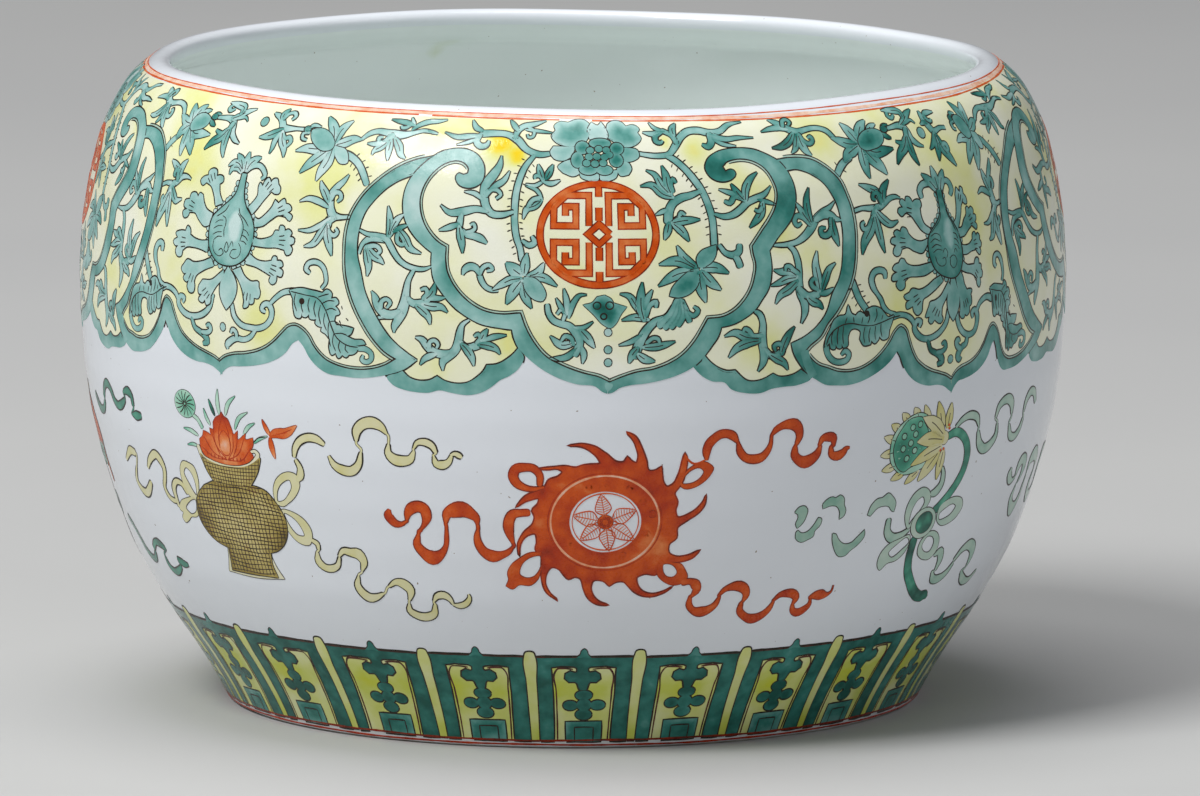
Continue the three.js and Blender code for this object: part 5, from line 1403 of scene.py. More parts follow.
VASE_RIB = """
-78.9,79.8,.8 -78.4,81.8,1.4 -76.8,83.8,1.6 -74.3,84.8,1.8 -72,84.6,1.8 -70.2,83.6,1.0
-78.5,78.7,.8 -77.6,76.9,1.4 -77.9,74.8,1.9 -78.8,73.8,1.2
-68.7,80.5,.6 -67.5,78.5,1.6 -65.3,77.4,2.2 -62.8,77.3,2.2 -60.8,79,1.6 -59.9,82,.6
-60.9,85.2,.8 -60.7,87.3,2 -59,89.2,2.4 -56.3,89.8,2.6 -54,88.8,1.8 -52.8,87.4,.6
-52.4,84.5,.6 -52.6,82.6,1.6 -51,81,2.4 -49,80.7,2.4 -46.9,81.3,1.8 -46,83,.8
-45.9,84,.4 -45,85.4,1.0 -43,85.7,1.6 -41.2,84.8,1.4 -40.4,83.4,.8
-40.9,82.3,.4 -40.3,80.5,1.6 -38.8,80.2,2 -37.2,81,1.4 -36.5,82.3,.8
-36.6,82.7,.5 -35.6,83.1,.9 -34.2,82.5,1.0 -33.8,82.2,.5
-77.2,58,1 -76,57.3,1.2 -75.9,56,.8
-76.6,54.8,.8 -76.7,52.5,2 -75,51,1.8 -73,50.9,1.8 -71,51.9,1.3 -70,54,.6
-69.9,54.6,.6 -68.5,56,1.4 -66.2,55.8,2 -64,55.5,2.8 -62.9,53.5,2 -63.8,51.2,.6
-65.3,49.3,.6 -66,46.8,1.8 -65,44.9,2.2 -63.2,43.7,2.4 -61,44,1.6 -59,45,.7
-56.5,47.4,.6 -54.5,48.6,1.5 -52.5,48.3,2.4 -50.7,46.6,2.2 -51.1,44.5,1.0 -51.5,43.7,.5
-51.7,42.7,.5 -51.9,40.8,1.6 -50,39.4,2.0 -47.3,39.1,2.2 -45,40.2,1.8 -44.3,42.8,.8
-44.5,43.8,.4 -43.4,45.3,1.4 -41.3,45.7,1.8 -39.8,44.6,1.2 -39.2,43.3,.5
-38.9,43.1,.6 -37.3,42.9,1.4 -35.3,43.8,1.4 -34.4,45.5,.8 -34.6,46.3,.3
-120,66,1.0 -121.5,68.0,1.2 -124,68.3,1.4 -125.8,66.5,1.4 -126,64,1.2 -125.8,61.8,1.0
-125.8,63,1 -127.5,62.9,1.2 -129.5,63.7,1.2 -130.5,66,1.0 -129.3,68.5,1.2 -128.7,71,1.4 -129.8,73,2.0 -131.6,74.2,2.0 -134,73.3,1.8 -136,71.8,1.4 -137.3,70.2,.8
-138,66,1.2 -140,64.2,1.8 -142.5,62.8,2.0 -145,63.3,1.8 -146.8,65.3,1.2 -145.8,67.8,.8 -144.8,69.2,.5
-144.2,73,1.8 -146.5,73.2,2 -149,71.8,1.4 -151,70.3,.8
"""
DARK_RIB = """
-136.5,83.2,1.4 -138.8,83,2 -140.6,83,.8
-139.9,85.5,.8 -140.2,87.6,1.4 -142,88.6,2 -144.3,88.2,1
-144.8,86,1 -147,84.7,1.8 -149.5,84,1.8 -152,85,1.4 -154,87.5,1.6 -156.5,88.6,2 -159,87.4,1.4 -160.6,85,1
-160.6,83.4,.8 -162.4,81.4,1.6 -165.5,81,2 -168.5,82.4,1.6 -170.5,84,1.2
-131.5,45.2,1 -133.5,45.2,2 -136,45.9,1.6
-136.5,43.8,1 -139,42.5,1.6 -141.5,41.8,1.8 -144.5,43.3,1.6 -144.8,45.2,.8
-143.2,48.2,1.4 -146,49,2 -149,48.8,1.4 -151.6,47,1.2
-152,45.6,.9 -154,43.8,1.6 -157.5,43.6,2.1 -160.5,45.4,1.8 -162.8,48,1.4 -165.6,50.6,1.4 -169,52.6,1.3
"""


def vase_emblem():
    O, OL = "emblem_vase_olive", "emblem_vase_lines"
    Y = "emblem_vase_ribbons"
    ribs(Y, OL, VASE_RIB, tone=0.4)
    body = "-108.2,70.3 -104,70.6 -100,70.6 -96,70.6 -92.3,70.6 -89.3,69.6 -87.2,67.5 -85.4,64.7 -84.7,61.5 -85.1,59.05 -86.8,56.2 -89.6,54.1 -92.3,53.3| -92.8,50 -91.9,46.6| -100,46.5 -109.3,46.8| -108.6,50 -108.1,52.9| -112.8,54.5 -115.3,56.6 -117,59.4 -117.2,61.5 -116.5,64.3 -114.9,66.4 -111.75,68.9|"
    bl = corners(body, closed=False)
    # pale edges of the foot
    shape(Y, OL, "-108.4,53| -109.4,49.8 -110.9,46.3| -100,45.7 -89.8,46.4| -91.6,49.6 -92.6,53|", layer=0, tone=0.15, edge=0.22, grid=3)
    outline(OL, bl, w=0.6, h=0.13)
    fill(O, [bl], 0.16, tone=0.5, rim=0.2, deep=-0.1, reach=4, vary=0.15, grid=2.2, spots=[(-96, 58, 6, -0.15), (-108, 60, 4, -0.1), (-88, 60, 3, 0.25), (-114, 60, 3, 0.2), (-97, 49, 4, -0.1)])
    bowl = "-111.05,77.3 -110.35,75.2 -109.5,73.1 -107.5,70.6 -101,70.1 -94.9,70.2 -93.15,72.0 -91.05,74.8 -89.8,78.35 -91.6,77.2 -95,75.6 -100,75 -105,75.1 -108.8,76 |"
    bw = corners(bowl)
    outline(OL, bw, w=0.6, h=0.14)
    fill(O, [bw], 0.17, tone=0.35, rim=0.15, vary=0.1, grid=2.2)
    # woven grid: fine dark lines
    def clip_lines(loop, direction, gap, w, curvef, h):
        lo, hi = loop.min(axis=0), loop.max(axis=0)
        ax = 0 if direction == "v" else 1
        for x in np.arange(lo[ax] + gap * 0.6, hi[ax], gap):
            tt = np.arange(lo[1 - ax], hi[1 - ax], 0.45)
            xs = x + curvef(x, tt)
            pp = np.column_stack([xs, tt]) if direction == "v" else np.column_stack([tt, xs])
            ok = inside(pp, [loop])
            run = []
            for i in range(len(pp) + 1):
                if i < len(pp) and ok[i]:
                    run.append(pp[i])
                elif run:
                    if len(run) > 2:
                        line(OL, np.array(run), w=w, h=h, sampled=True, tone=0.72)
                    run = []
    cx = -101.0
    clip_lines(bl, "v", 1.22, 0.25, lambda x, t: (x - cx) * -0.10 * ((t - 61) / 9.0) ** 2 * (t > 53.2) + 0.1 * np.sin(t * 1.1 + x), 0.2)
    clip_lines(bl, "h", 1.12, 0.25, lambda x, t: 0.15 * np.sin(t * 0.5 + x) - 0.004 * (t - cx) ** 2 * (1 if x > 61 else -1) * min(1, abs(x - 61) / 6), 0.2)
    clip_lines(bw, "v", 0.95, 0.2, lambda x, t: (x - cx) * 0.08 * (t - 73) / 3, 0.21)
    clip_lines(bw, "h", 0.9, 0.2, lambda x, t: 0.006 * (t - cx) ** 2, 0.21)
    # rim of the bowl
    stroke(Y, OL, nums("-111.2,78.8,1.1 -110.4,76.7,1.2 -107.2,75.5,1 -103.3,74.9,.9 -99.8,74.8,.9 -96.3,75.2,.9 -92.9,76.4,1 -91.1,77.8,1.1 -90.3,79.1,1.1 -91.2,79.8,.8 -92.2,79.6,.6"), layer=3, tone=0.12, edge=0.2)
    # flower
    fl = "-110.35,78.35 -110.35,80.8| -108.95,81.9 -108.6,83.1| -106.8,82.7 -105.8,82.2| -106.1,84| -104.9,83.8 -104.6,85.7| -103.3,87.1 -102.3,87.5 -101.2,88.5| -100.5,87.5 -99.5,87.1 -98.4,85| -97.7,83.3 -96.3,84.3| -96.5,82.2 -93.7,84| -93.9,82.6 -91.4,83.1| -91.4,81.5 -92.3,79.75 -91.9,78.35 -91.75,77.3 -93.15,76.4 -96.3,75.5 -99.8,75.2 -103.3,75.4 -107.2,75.9 -109.3,76.95|"
    F, FL = "emblem_vase_flower", "emblem_vase_flower_lines"
    shape(F, FL, fl, layer=2, tone=0.42, rim=0.15, vary=0.15, edge=0.16, grid=1.6, spots=[(-101, 81, 2.2, -0.25), (-108, 78, 3, 0.1), (-101, 86, 2, 0.15)])
    for a, bq, c in (((-101, 76.6), (-104, 79.5), (-105.6, 83.2)), ((-101, 76.6), (-105.5, 78), (-108.6, 81.8)), ((-101, 76.6), (-106, 76.9), (-109.8, 79)),
                     ((-100.8, 76.6), (-98.5, 79.5), (-98, 84)), ((-100.8, 76.6), (-96.8, 78.5), (-94.2, 82.8)), ((-100.8, 76.6), (-96, 77), (-92.2, 80.6)),
                     ((-103, 79.4), (-103, 83), (-101.2, 87.6)), ((-99.2, 79.4), (-99.4, 83), (-101, 87.6)), ((-103.2, 77.4), (-104.6, 81), (-104.6, 85.4)), ((-98.8, 77.4), (-97, 80.6), (-96.6, 83.6))):
        line(FL, [a, bq, c], w=0.26, h=0.22, tone=0.75)
    line(FL, [(-103, 79.6), (-102.8, 82.4), (-101.2, 84), (-99.5, 82.4), (-99.2, 79.8), (-100.2, 77.9), (-101.8, 77.8), (-102.8, 79)], w=0.26, h=0.22, tone=0.7)
    for x in np.arange(-108, -94, 1.3):
        line(FL, [(x, 76.4 + 0.03 * (x + 101) ** 2 * 0.4), (x + 0.1, 77.4 + 0.03 * (x + 101) ** 2 * 0.4)], w=0.35, h=0.22, tone=0.8, step=0.5)
    # bud
    for w, t, tn in ((2.6, "-86,84 -84.5,84.8 -81,85.3 -77.4,87.5", 0.4), (1.2, "-85.9,84.4 -87,86.2 -87.9,88.1", 0.5), (1.6, "-85.9,83.8 -85.6,81.6 -84.8,78.5", 0.5)):
        leaf(F, FL, nums(t), w, layer=3, tone=tn, edge=0.16)
    line(FL, [(-85.5, 84.2), (-82.5, 85), (-79, 86.4)], w=0.22, h=0.3, tone=0.7)
    GL = "emblem_vase_leaves"
    line(OL, [(-91.4, 81.9), (-89.6, 83.3), (-87.3, 83.7)], w=0.35, h=0.16)
    leaf(GL, OL, nums("-91.2,81.8 -89.4,83 -86.6,84"), 0.8, layer=1, tone=0.3, edge=0.14)
    # green round flower and blades
    disc(GL, OL, -114.7, 89.05, 4.0, 3.4, layer=1, tone=0.2, deep=0.25, reach=3, edge=0.14, grid=1.5)
    for a in np.arange(0, 2 * math.pi, math.pi / 7):
        line(OL, [(-114.7 + 0.3 * math.cos(a), 89.05 + 0.3 * math.sin(a)), (-114.7 + 2.2 * math.cos(a + 0.12), 89.05 + 1.9 * math.sin(a + 0.12)), (-114.7 + 3.7 * math.cos(a), 89.05 + 3.1 * math.sin(a))], w=0.26, h=0.2)
    stroke(GL, OL, nums("-112,86.6,.9 -110.4,85.8,1 -109,84,1"), layer=0, tone=0.1, edge=0.16)
    for w, t, tn in ((1.0, "-110.7,81.6 -113.5,82.6 -116.4,82.9", 0.05), (0.8, "-111,78.8 -113.2,79.2 -115.6,78.8", 0.3), (1.0, "-103.7,87.3 -104.6,89.3 -105.5,91.3", 0.75),
                     (1.2, "-101.9,87.6 -102.3,90.6 -102.1,94.1", 0.1), (1.1, "-100,87.8 -98.6,90.9 -96.1,93", 0.1), (1.0, "-97.2,84.6 -95.4,87.6 -92.3,89.4", 0.1),
                     (1.0, "-94.4,83.6 -92.7,85.6 -90.3,86.9", 0.1), (1.0, "-105.7,84.8 -106.9,86.6 -107.6,88.8", 0.1)):
        leaf(GL, OL, nums(t), w, layer=1, tone=tn, edge=0.16)
    for o, hl in (
        ("-86.3,66.8 -87,69.6 -86.1,72.4 -83.7,74.7 -80.9,75.5 -79.1,75 -78.4,72.7 -79.8,69.9 -82.6,67.5 -84.7,66.4|", "-86,67.5 -85.8,69.9 -84,72.4 -81.2,73.4 -80.9,72 -82.3,69.6 -84.4,67.8|"),
        ("-85.4,65.4 -81.6,65 -78.8,63.4 -77.2,60.8 -77.4,58.35 -78.4,56.9 -80.9,56.8 -83,58 -84.6,60.1|", "-84.7,64.7 -82.3,63.8 -80.2,61.5 -79.6,59.05 -81.6,59.05 -83.7,61.2|"),
        ("-115.3,65.4 -119.1,65.2 -120,66.4 -121.05,69.9 -120.7,72.4 -119.1,74.1 -116.7,74 -114.9,73.4 -113.9,70.6 -114.6,67.1|", "-116,65.7 -118.4,68.9 -119.5,71.3 -118.1,72.7 -116.7,72 -115.3,68.9|"),
        ("-116.3,64.8 -121.2,64.3 -124.4,62.9 -125.6,60.8 -124.4,60.3 -125.4,58.7 -124.7,57.65 -122.6,58.4 -121.2,59.4 -118.4,59.9 -117,60.8|", "-117,64.5 -120.5,63.4 -122.5,61.5 -120.9,60.3 -118.1,61.2|"),
    ):
        shape(Y, OL, o, holes=(hl,), layer=1, tone=0.35, edge=0.2, grid=1.4, step=0.7)


LOTUS_RIB = """
94.5,67,1.2 96.4,67.4,2.2 98.1,69.3,1.6 98.1,72,1.2 97.4,73.5,.6
100.6,83.5,.8 102.9,85,1.4 106.4,85.6,1.8 109,84.6,1.6 110,82.7,.6
110.2,80.8,1 111.3,78.1,2 114,76.2,2.4 117.1,77,2.2 119,78.9,1.4 119,81.9,.5
118,83.8,.8 119,86.1,1.6 121.3,87.3,2 124,87.3,2.4 125.9,85.75,2 126.4,83.5,.6
125.9,80.4,.8 127.4,77.7,1.8 130,77.1,1.8 132.5,78.5,1.5 134,81,.6
134,83,.6 135,85.6,1.6 137.5,87.3,2 140,86.8,1.8 141.8,84.4,1.2
103.7,49.8,.8 105.6,50.5,2.2 106.9,48.25,2 106.4,45.6,.8
105.2,44.8,.8 106.7,42.9,2 109.8,42.5,2.4 112.5,43.7,1.8 114.4,46,.8
114.6,47.1,.8 117.1,49.4,1.6 120.5,50.35,2.7 123.6,48.6,2.6 124,45.6,1.4 123.6,44.4,.6
122,42.5,1 124.3,40.6,2 127.4,39.3,2 130,39.4,1.5 132.5,41.5,.7
81.1,61.6,1.4 81.5,58.6,2 83.8,56.7,2.4 86.5,57,1.8 89.1,58.2,1
"""


def lotus_emblem():
    P, PL, R = "emblem_lotus_petals", "emblem_lotus_lines", "emblem_lotus_ribbons"
    GS = "emblem_lotus_green"
    ribs(R, PL, LOTUS_RIB, tone=0.4)
    for t in ("50.9,66.6 52,67.8 53.5,68 54.4,67.1 54.3,65.2 53.5,63.4 52.3,62.3| 51.7,63.4 52.15,65.2 51.85,66|",
              "52.6,61.7 53.8,60.9 55.4,61.1 56.9,62.5 58.1,64.6| 59,64.3 59,62.8 57.5,60.9 57.5,60 56,59.1 54.1,58.5 52.3,59.7 52.15,61.1|",
              "58.7,68 59.65,69.05 61.5,69.7 62.4,69.4 63.6,70 64.9,69.05 65.2,67.4 66,65.8 65.8,64.6 64.55,63.7| 64.2,65.8 63,67.2 61.2,67.5 59,66.9|",
              "63.3,60| 63.6,58.2 64.4,56.3 65.2,55 66.7,53.6 68.8,53.7 70,54.8 71.8,56 73.7,58.6 73.4,60| 71.4,58.2 70,57 67.6,56.8 65.8,57.9 64.4,59.7|",
              "73.4,63.9 74.1,66.4 75.8,67.85 77.3,68 79.1,69 80.7,68 82.2,66.2 82.2,63.9| 81.4,64.2 80,65.5 78.3,65.8 76.3,65.5 74.4,63.6|"):
        shape(R, PL, t, layer=1, tone=0.5, edge=0.22, grid=1.4)
    stroke(GS, PL, nums("97.9,81.5,1.8 100.6,82.1,2.1 103.7,80.8,2.2 106,78.1,2.3 106.9,75,2.4 106.5,72,2.3 104.8,68.9,2.3 102.5,66.2,2.4 99.85,63.6,2.6 97.9,62.4,2.2"), layer=1, tone=0.62, edge=0.2, vary=0.2)
    stroke(GS, PL, nums("92.4,55,2.6 92.6,50.2,2.6 93.7,46.7,2.6 96.4,43.3,2.6 99.85,40.2,2.7 103.3,38.3,2.9 106.7,37.9,2.5 107.6,37.5,1.0"), layer=1, tone=0.75, edge=0.2, vary=0.2)
    lo = [
        ("89.1,58.6 86.8,62 86.8,65.1 88.75,68.1 91.4,69.1 93.7,68.1 94.9,65.5 93.7,63.2 90.7,60.9|", "89.1,59.7 88.75,63.6 90.3,66.2 91.8,66.8 93,65.1 91.8,62.8 89.9,60.9|"),
        ("99.85,63.2 102.9,64.7 106.4,64.9 109,63.9 110,62 108.65,59.7 105.6,58.2 102.1,58 99.85,59.7|", "100.2,60.9 102.5,62.6 105.6,63.2 106.9,62.4 106,60.9 103.3,59.7 100.6,59.7|"),
        ("98.3,56.7 101.4,56.1 103.3,54 103.7,51.3 101.8,49.2 98.3,49.4 95.6,51.3 95.4,54.4 96.8,55.9|", "97.55,55.5 100.2,55.1 101.4,53.2 100.6,51.1 98.3,51.3 96.4,53.2|"),
        ("90.3,56.7 86.5,56.1 82.6,54.75 80.9,52.5 80.9,49.8 82.2,48.25 84.2,49.8 87.6,50.4 90.3,52.8|", "89.5,56.3 86.5,55.1 83.8,52.5 85.3,51.3 88.4,52.8 90.7,55.1|"),
    ]
    for o, hl in lo:
        shape(R, PL, o, holes=(hl,), layer=2, tone=0.3, edge=0.22, grid=1.4)
    disc(R, PL, 94.5, 59.5, 4.6, 4.0, layer=3, tone=0.3, edge=0.24, grid=1.6)
    disc(GS, PL, 94.8, 59.6, 3.1, 2.8, layer=4, tone=0.95, edge=0.2, grid=1.4, spots=[(93, 59, 1, -0.5), (96, 60.4, 0.9, -0.5)])
    # seed pod and petals
    for tip, base in (((77.1, 86.5), (80.6, 84.6)), ((80.3, 89), (83, 86.6)), ((84.2, 90), (86.2, 87.4)), ((87.8, 90.3), (90, 85.6)), ((75.1, 83.6), (79.5, 82)), ((74.5, 78.9), (79, 79.4)), ((75.6, 75), (80.2, 76)), ((79, 72.3), (83.6, 74.2)), ((84, 70.8), (88.4, 74))):
        m = ((tip[0] + base[0]) / 2, (tip[1] + base[1]) / 2)
        leaf(P, PL, [base, m, tip], 2.3, layer=1, tone=0.45, edge=0.2)
    shape(GS, PL, "88.75,87.7 86.8,88.4 84.5,88.2 81.9,87.1 79.6,85.4 77.85,82.7 77.5,80 78.2,76.95 79.95,75 82.6,73.5 86.1,73.5 89.1,74.3 91.4,75.2 92,80 91,85|", layer=2, tone=0.12, edge=0.26, grid=2)
    shape(GS, PL, "88.2,85.75 87.4,87.1 85.3,87.5 82.6,86.9 80.7,85 79.2,82.7 78.6,80.4 79.2,77.7 81.1,75 83,74.1 84.9,75 88,76 90,80 89.6,84|", layer=3, tone=0.35, edge=0.26, grid=2, deep=0.15, spots=[(82, 79, 4, 0.2)])
    for x, y in ((81.7, 83.1), (84.35, 85.1), (86.8, 85.6), (85.5, 83.3), (84.1, 81.2), (81.7, 80), (85.7, 79.2), (83.3, 77.4)):
        disc(GS, PL, x, y, 0.7, layer=4, tone=0.25, edge=0.3, grid=1.0)
    for tip, base, w in (((92.6, 90.6), (95.2, 83.4), 3.0), ((97.6, 89.8), (97, 83.4), 2.7), ((95.6, 70.6), (96.4, 78.3), 2.7), ((88.6, 71), (94.8, 78), 3.8)):
        m = ((tip[0] + base[0]) / 2, (tip[1] + base[1]) / 2)
        leaf(P, PL, [base, m, tip], w, layer=3, tone=0.5, edge=0.22)
    for tip, mid, base, w in (((87.6, 87.2), (91.4, 85.4), (96, 81.8), 3.9), ((85.1, 75.4), (90, 77.6), (95.6, 79.4), 3.4), ((86.3, 81.2), (90.8, 81.5), (96, 80.8), 4.2)):
        leaf(P, PL, [base, mid, tip], w, layer=4, tone=0.5, edge=0.24)
    disc(P, PL, 96.2, 81.2, 1.5, 1.7, layer=4, tone=0.3, edge=0.15, grid=1.2)
    for x, y in ((97.8, 83.4), (97.5, 84.3), (95.2, 78.2), (96.4, 78.4)):
        disc("emblem_lotus_red", None, x, y, 0.4, layer=4, tone=0.5, grid=0.8)




# the five emblems round the sides and back: each has one ribbon to its left, and all but the parasol have two to their
# right
RIB_RIGHT = VASE_RIB.strip().splitlines()[:16]
RIB_LEFT = WHEEL_RIB.strip().splitlines()[14:]


def put(du, ds=0.0, fx=1.0):
    return lambda p: np.column_stack([p[:, 0] * fx + du, p[:, 1] + ds])


def side_ribbons(c, piece, ink, tone, right=True):
    ribs(piece, ink, "\n".join(RIB_LEFT), T=put(c - 1.5, 0.6), layer=2, tone=tone)
    if right:
        ribs(piece, ink, "\n".join(RIB_RIGHT), T=put(c + 101.5, -0.4), layer=1, tone=tone)


def bows(c, piece, ink, tone, y=52):
    """Looped bow where the ribbon is tied on."""
    for sx in (-1, 1):
        T = lambda p, sx=sx: np.column_stack([p[:, 0] * sx + c, p[:, 1] + y])
        shape(piece, ink, "1,0 3.4,3.4 7,4.6 9.8,3.6 9.4,.8 6.4,-1.4 3,-1.4|", holes=("3.2,.4 4.6,2.2 7,3 8.2,2.2 7.4,.8 5.4,-.2|",), layer=1, tone=tone, T=T, edge=0.2, grid=1.4)
        stroke(piece, ink, nums("1,-1,1.2 3,-4,1.6 3.4,-7.4,1.8 1.8,-10.4,1.4 2.4,-13,.7"), layer=1, tone=tone, T=T, edge=0.2)
    disc(piece, ink, c, y, 1.9, 1.7, layer=3, tone=tone + 0.2, edge=0.2, grid=1.2)


def conch(c):
    A, L = "emblem_conch_red", "emblem_conch_lines"
    T = put(c, 67)
    side_ribbons(c, "emblem_conch_green", L, 0.45)
    bows(c, "emblem_conch_green", L, 0.45, y=54)
    shape(A, L, "-9,3 -8.4,8.2 -4.4,12.4 1.6,13.4 7.4,11 10.4,6 10.6,0 8,-6 4,-11.4 1.4,-15.6| -1.4,-11.6 -4.6,-8 -7.6,-3|", layer=2, tone=0.18, rim=0.25, T=T, edge=0.22, grid=2, spots=[(c + 5, 74, 4, 0.3), (c - 4, 62, 4, 0.25)])
    shape(A, L, "-6.2,2.6 -5.2,6.4 -2,7.8 .8,6 1.6,2 .6,-3.6 -1,-8.4| -3.4,-4.6|", layer=3, tone=0.6, T=T, edge=0.22, grid=1.8)
    for t in ("1.4,8 4,10.4 8,8 8.8,3.4 6.4,0 3.4,1.4 3.2,4.4 5.4,5.4 6.8,3.8", "-7,8.6 -2.6,11 3.4,11.4 8.6,8.4", "8.8,0 6.6,-5.4 3,-10.6", "7.2,-1.4 5,-6 2.4,-10", "-8.4,1 -5.8,-4 -2.4,-8.6"):
        line(L, nums(t), w=0.32, h=0.24, T=T, tone=0.8)
    for i in range(9):
        a = 2.4 - i * 0.26
        line(L, [(9.2 * math.cos(a) + 1, 10.8 * math.sin(a) + 2.4), (11.2 * math.cos(a) + 1, 12.6 * math.sin(a) + 2.2)], w=0.3, h=0.24, T=T, tone=0.7)


def fish_pair(c):
    A, L = "emblem_fish_green", "emblem_fish_lines"
    side_ribbons(c, "emblem_fish_red", "emblem_fish_red", 0.55)
    for sx in (-1, 1):
        T = lambda p, sx=sx: np.column_stack([p[:, 0] * sx + c + sx * 0.4, p[:, 1] + 66])
        shape(A, L, "2.6,15.2 5,13.6 7.4,9.6 8.4,4 8,-2 6.2,-7.4 4.2,-11| 6.6,-14.6 7.6,-17.4| 4,-16.4 2.2,-14.6| -.2,-16.4 -2.4,-16.6| -.6,-13.6 1.4,-10.6 2,-6 1.6,0 .4,6 .2,11.4|", layer=2, tone=0.35, deep=0.2, reach=3, T=T, edge=0.26, grid=2)
        disc(A, L, 4.1, 11.4, 0.9, layer=3, tone=0.0, T=T, edge=0.3, grid=1)
        line(L, nums("1,9.4 3,8.2 5.4,8.6 7.2,9.4"), w=0.34, h=0.24, T=T)
        leaf(A, L, nums("8,2 10.4,2.6 12,0.6"), 2.0, layer=1, tone=0.5, T=T, edge=0.22)
        leaf(A, L, nums("7.4,-4 9.4,-4.6 10.4,-6.6"), 1.6, layer=1, tone=0.5, T=T, edge=0.22)
        for j in range(8):
            for i in range(3):
                y = 6.4 - j * 2.0
                x = 2.2 + i * 1.9 + (j % 2) * 0.9 - max(0, j - 4) * 0.25
                if x < 7.4 - max(0, j - 3) * 0.5:
                    line(L, [(x - 0.8, y + 0.5), (x, y - 0.5), (x + 0.8, y + 0.5)], w=0.22, h=0.23, T=T, step=0.5)
        for x in (-0.4, 1.4, 3.4, 5.2):
            line(L, [(2.6 + (x - 2.6) * 0.3, -12.4), (x, -15.6)], w=0.24, h=0.23, T=T, step=0.8)
    bows(c, "emblem_fish_red", "emblem_fish_red", 0.5, y=81)


def knot(c):
    A, L = "emblem_knot_olive", "emblem_knot_lines"
    T = put(c, 66)
    side_ribbons(c, "emblem_knot_green", L, 0.5)
    r = 3.5
    layers = [2, 1]
    for i, d in enumerate((-2, 0, 2)):
        for j, sgn in enumerate((1, -1)):
            q = d * r
            a, b = (-2.9 * r, q), (2.9 * r, q)
            m = math.sqrt(0.5)
            rot = lambda p: (m * (p[0] - p[1]) if sgn > 0 else m * (p[1] - p[0]), m * (p[0] + p[1]))
            pa, pb = ((a[0], a[1]), (b[0], b[1])) if sgn > 0 else ((a[1], a[0]), (b[1], b[0]))
            ra = (m * (pa[0] - pa[1]), m * (pa[0] + pa[1]))
            rb = (m * (pb[0] - pb[1]), m * (pb[0] + pb[1]))
            stroke(A, L, [(ra[0], ra[1], 1.9), ((ra[0] + rb[0]) / 2, (ra[1] + rb[1]) / 2, 1.9), (rb[0], rb[1], 1.9)], layer=1 + j, tone=0.3, T=T, edge=0.3, vary=0.08)
    for a in range(4):
        t = a * math.pi / 2 + math.pi / 4
        for off in (-r, r):
            p0 = np.array([2.9 * r, off - r])
            p1 = np.array([2.9 * r + 2.6, off])
            p2 = np.array([2.9 * r, off + r])
            R = np.array([[math.cos(t), -math.sin(t)], [math.sin(t), math.cos(t)]])
            pts = [(*(R @ p), 1.8) for p in (p0, p1 - [0.8, 1.8], p1, p1 + [-0.8, 1.8], p2)]
            stroke(A, L, pts, layer=3, tone=0.3, T=T, edge=0.3, vary=0.08)
    for x, y in ((0, 0), (0, 2 * r * 1.414), (0, -2 * r * 1.414), (2 * r * 1.414, 0), (-2 * r * 1.414, 0), (r * 1.414, r * 1.414), (-r * 1.414, r * 1.414), (r * 1.414, -r * 1.414), (-r * 1.414, -r * 1.414)):
        disc("emblem_knot_green", L, x, y, 0.9, layer=3, tone=0.6, T=T, edge=0.2, grid=1)
    bows(c, "emblem_knot_green", L, 0.5, y=47)


def banner(c):
    A, L, B = "emblem_banner_red", "emblem_banner_lines", "emblem_banner_olive"
    T = put(c, 66)
    side_ribbons(c, B, L, 0.4)
    for y0, w, col, tn in ((8.5, 6.2, A, 0.45), (1.0, 7.4, B, 0.35), (-6.5, 8.4, A, 0.5)):
        t = f"{-w},{y0} {-w * .5},{y0 + .7} 0,{y0 + .9} {w * .5},{y0 + .7} {w},{y0}| {w + 1.2},{y0 - 6}| {w * .72},{y0 - 7.2} {w * .5},{y0 - 6}| {w * .24},{y0 - 7.4} 0,{y0 - 6.2}| {-w * .24},{y0 - 7.4} {-w * .5},{y0 - 6}| {-w * .72},{y0 - 7.2} {-w - 1.2},{y0 - 6}|"
        shape(col, L, t, layer=2, tone=tn, rim=0.12, T=T, edge=0.24, grid=2)
        for f in (-0.75, -0.5, -0.25, 0, 0.25, 0.5, 0.75):
            line(L, [(w * f * 0.95, y0 - 0.2), (w * f * 1.08, y0 - 5.4)], w=0.26, h=0.23, T=T)
    shape(A, L, "-6.4,8.8 -5,12.4 -2,14.6 0,15.2 2,14.6 5,12.4 6.4,8.8|", layer=3, tone=0.55, T=T, edge=0.24, grid=2)
    disc(B, L, 0, 16.6, 1.5, 1.4, layer=3, tone=0.3, T=T, edge=0.24, grid=1)
    leaf(B, L, nums("0,17.6 0,19.4 0,21.4"), 1.8, layer=2, tone=0.4, T=T, edge=0.2)
    for x in (-8.8, 8.8):
        stroke(A, L, [(x * 0.74, 9, 0.6), (x, 5.6, 0.8), (x * 1.04, 2, 1.6), (x * 1.04, -1, 1.2)], layer=1, tone=0.5, T=T, edge=0.2)
    stroke(B, L, nums("0,-13,1.2 0,-16,1.2 0,-19.5,1.2"), layer=1, tone=0.5, T=T, edge=0.2)
    bows(c, B, L, 0.4, y=49)


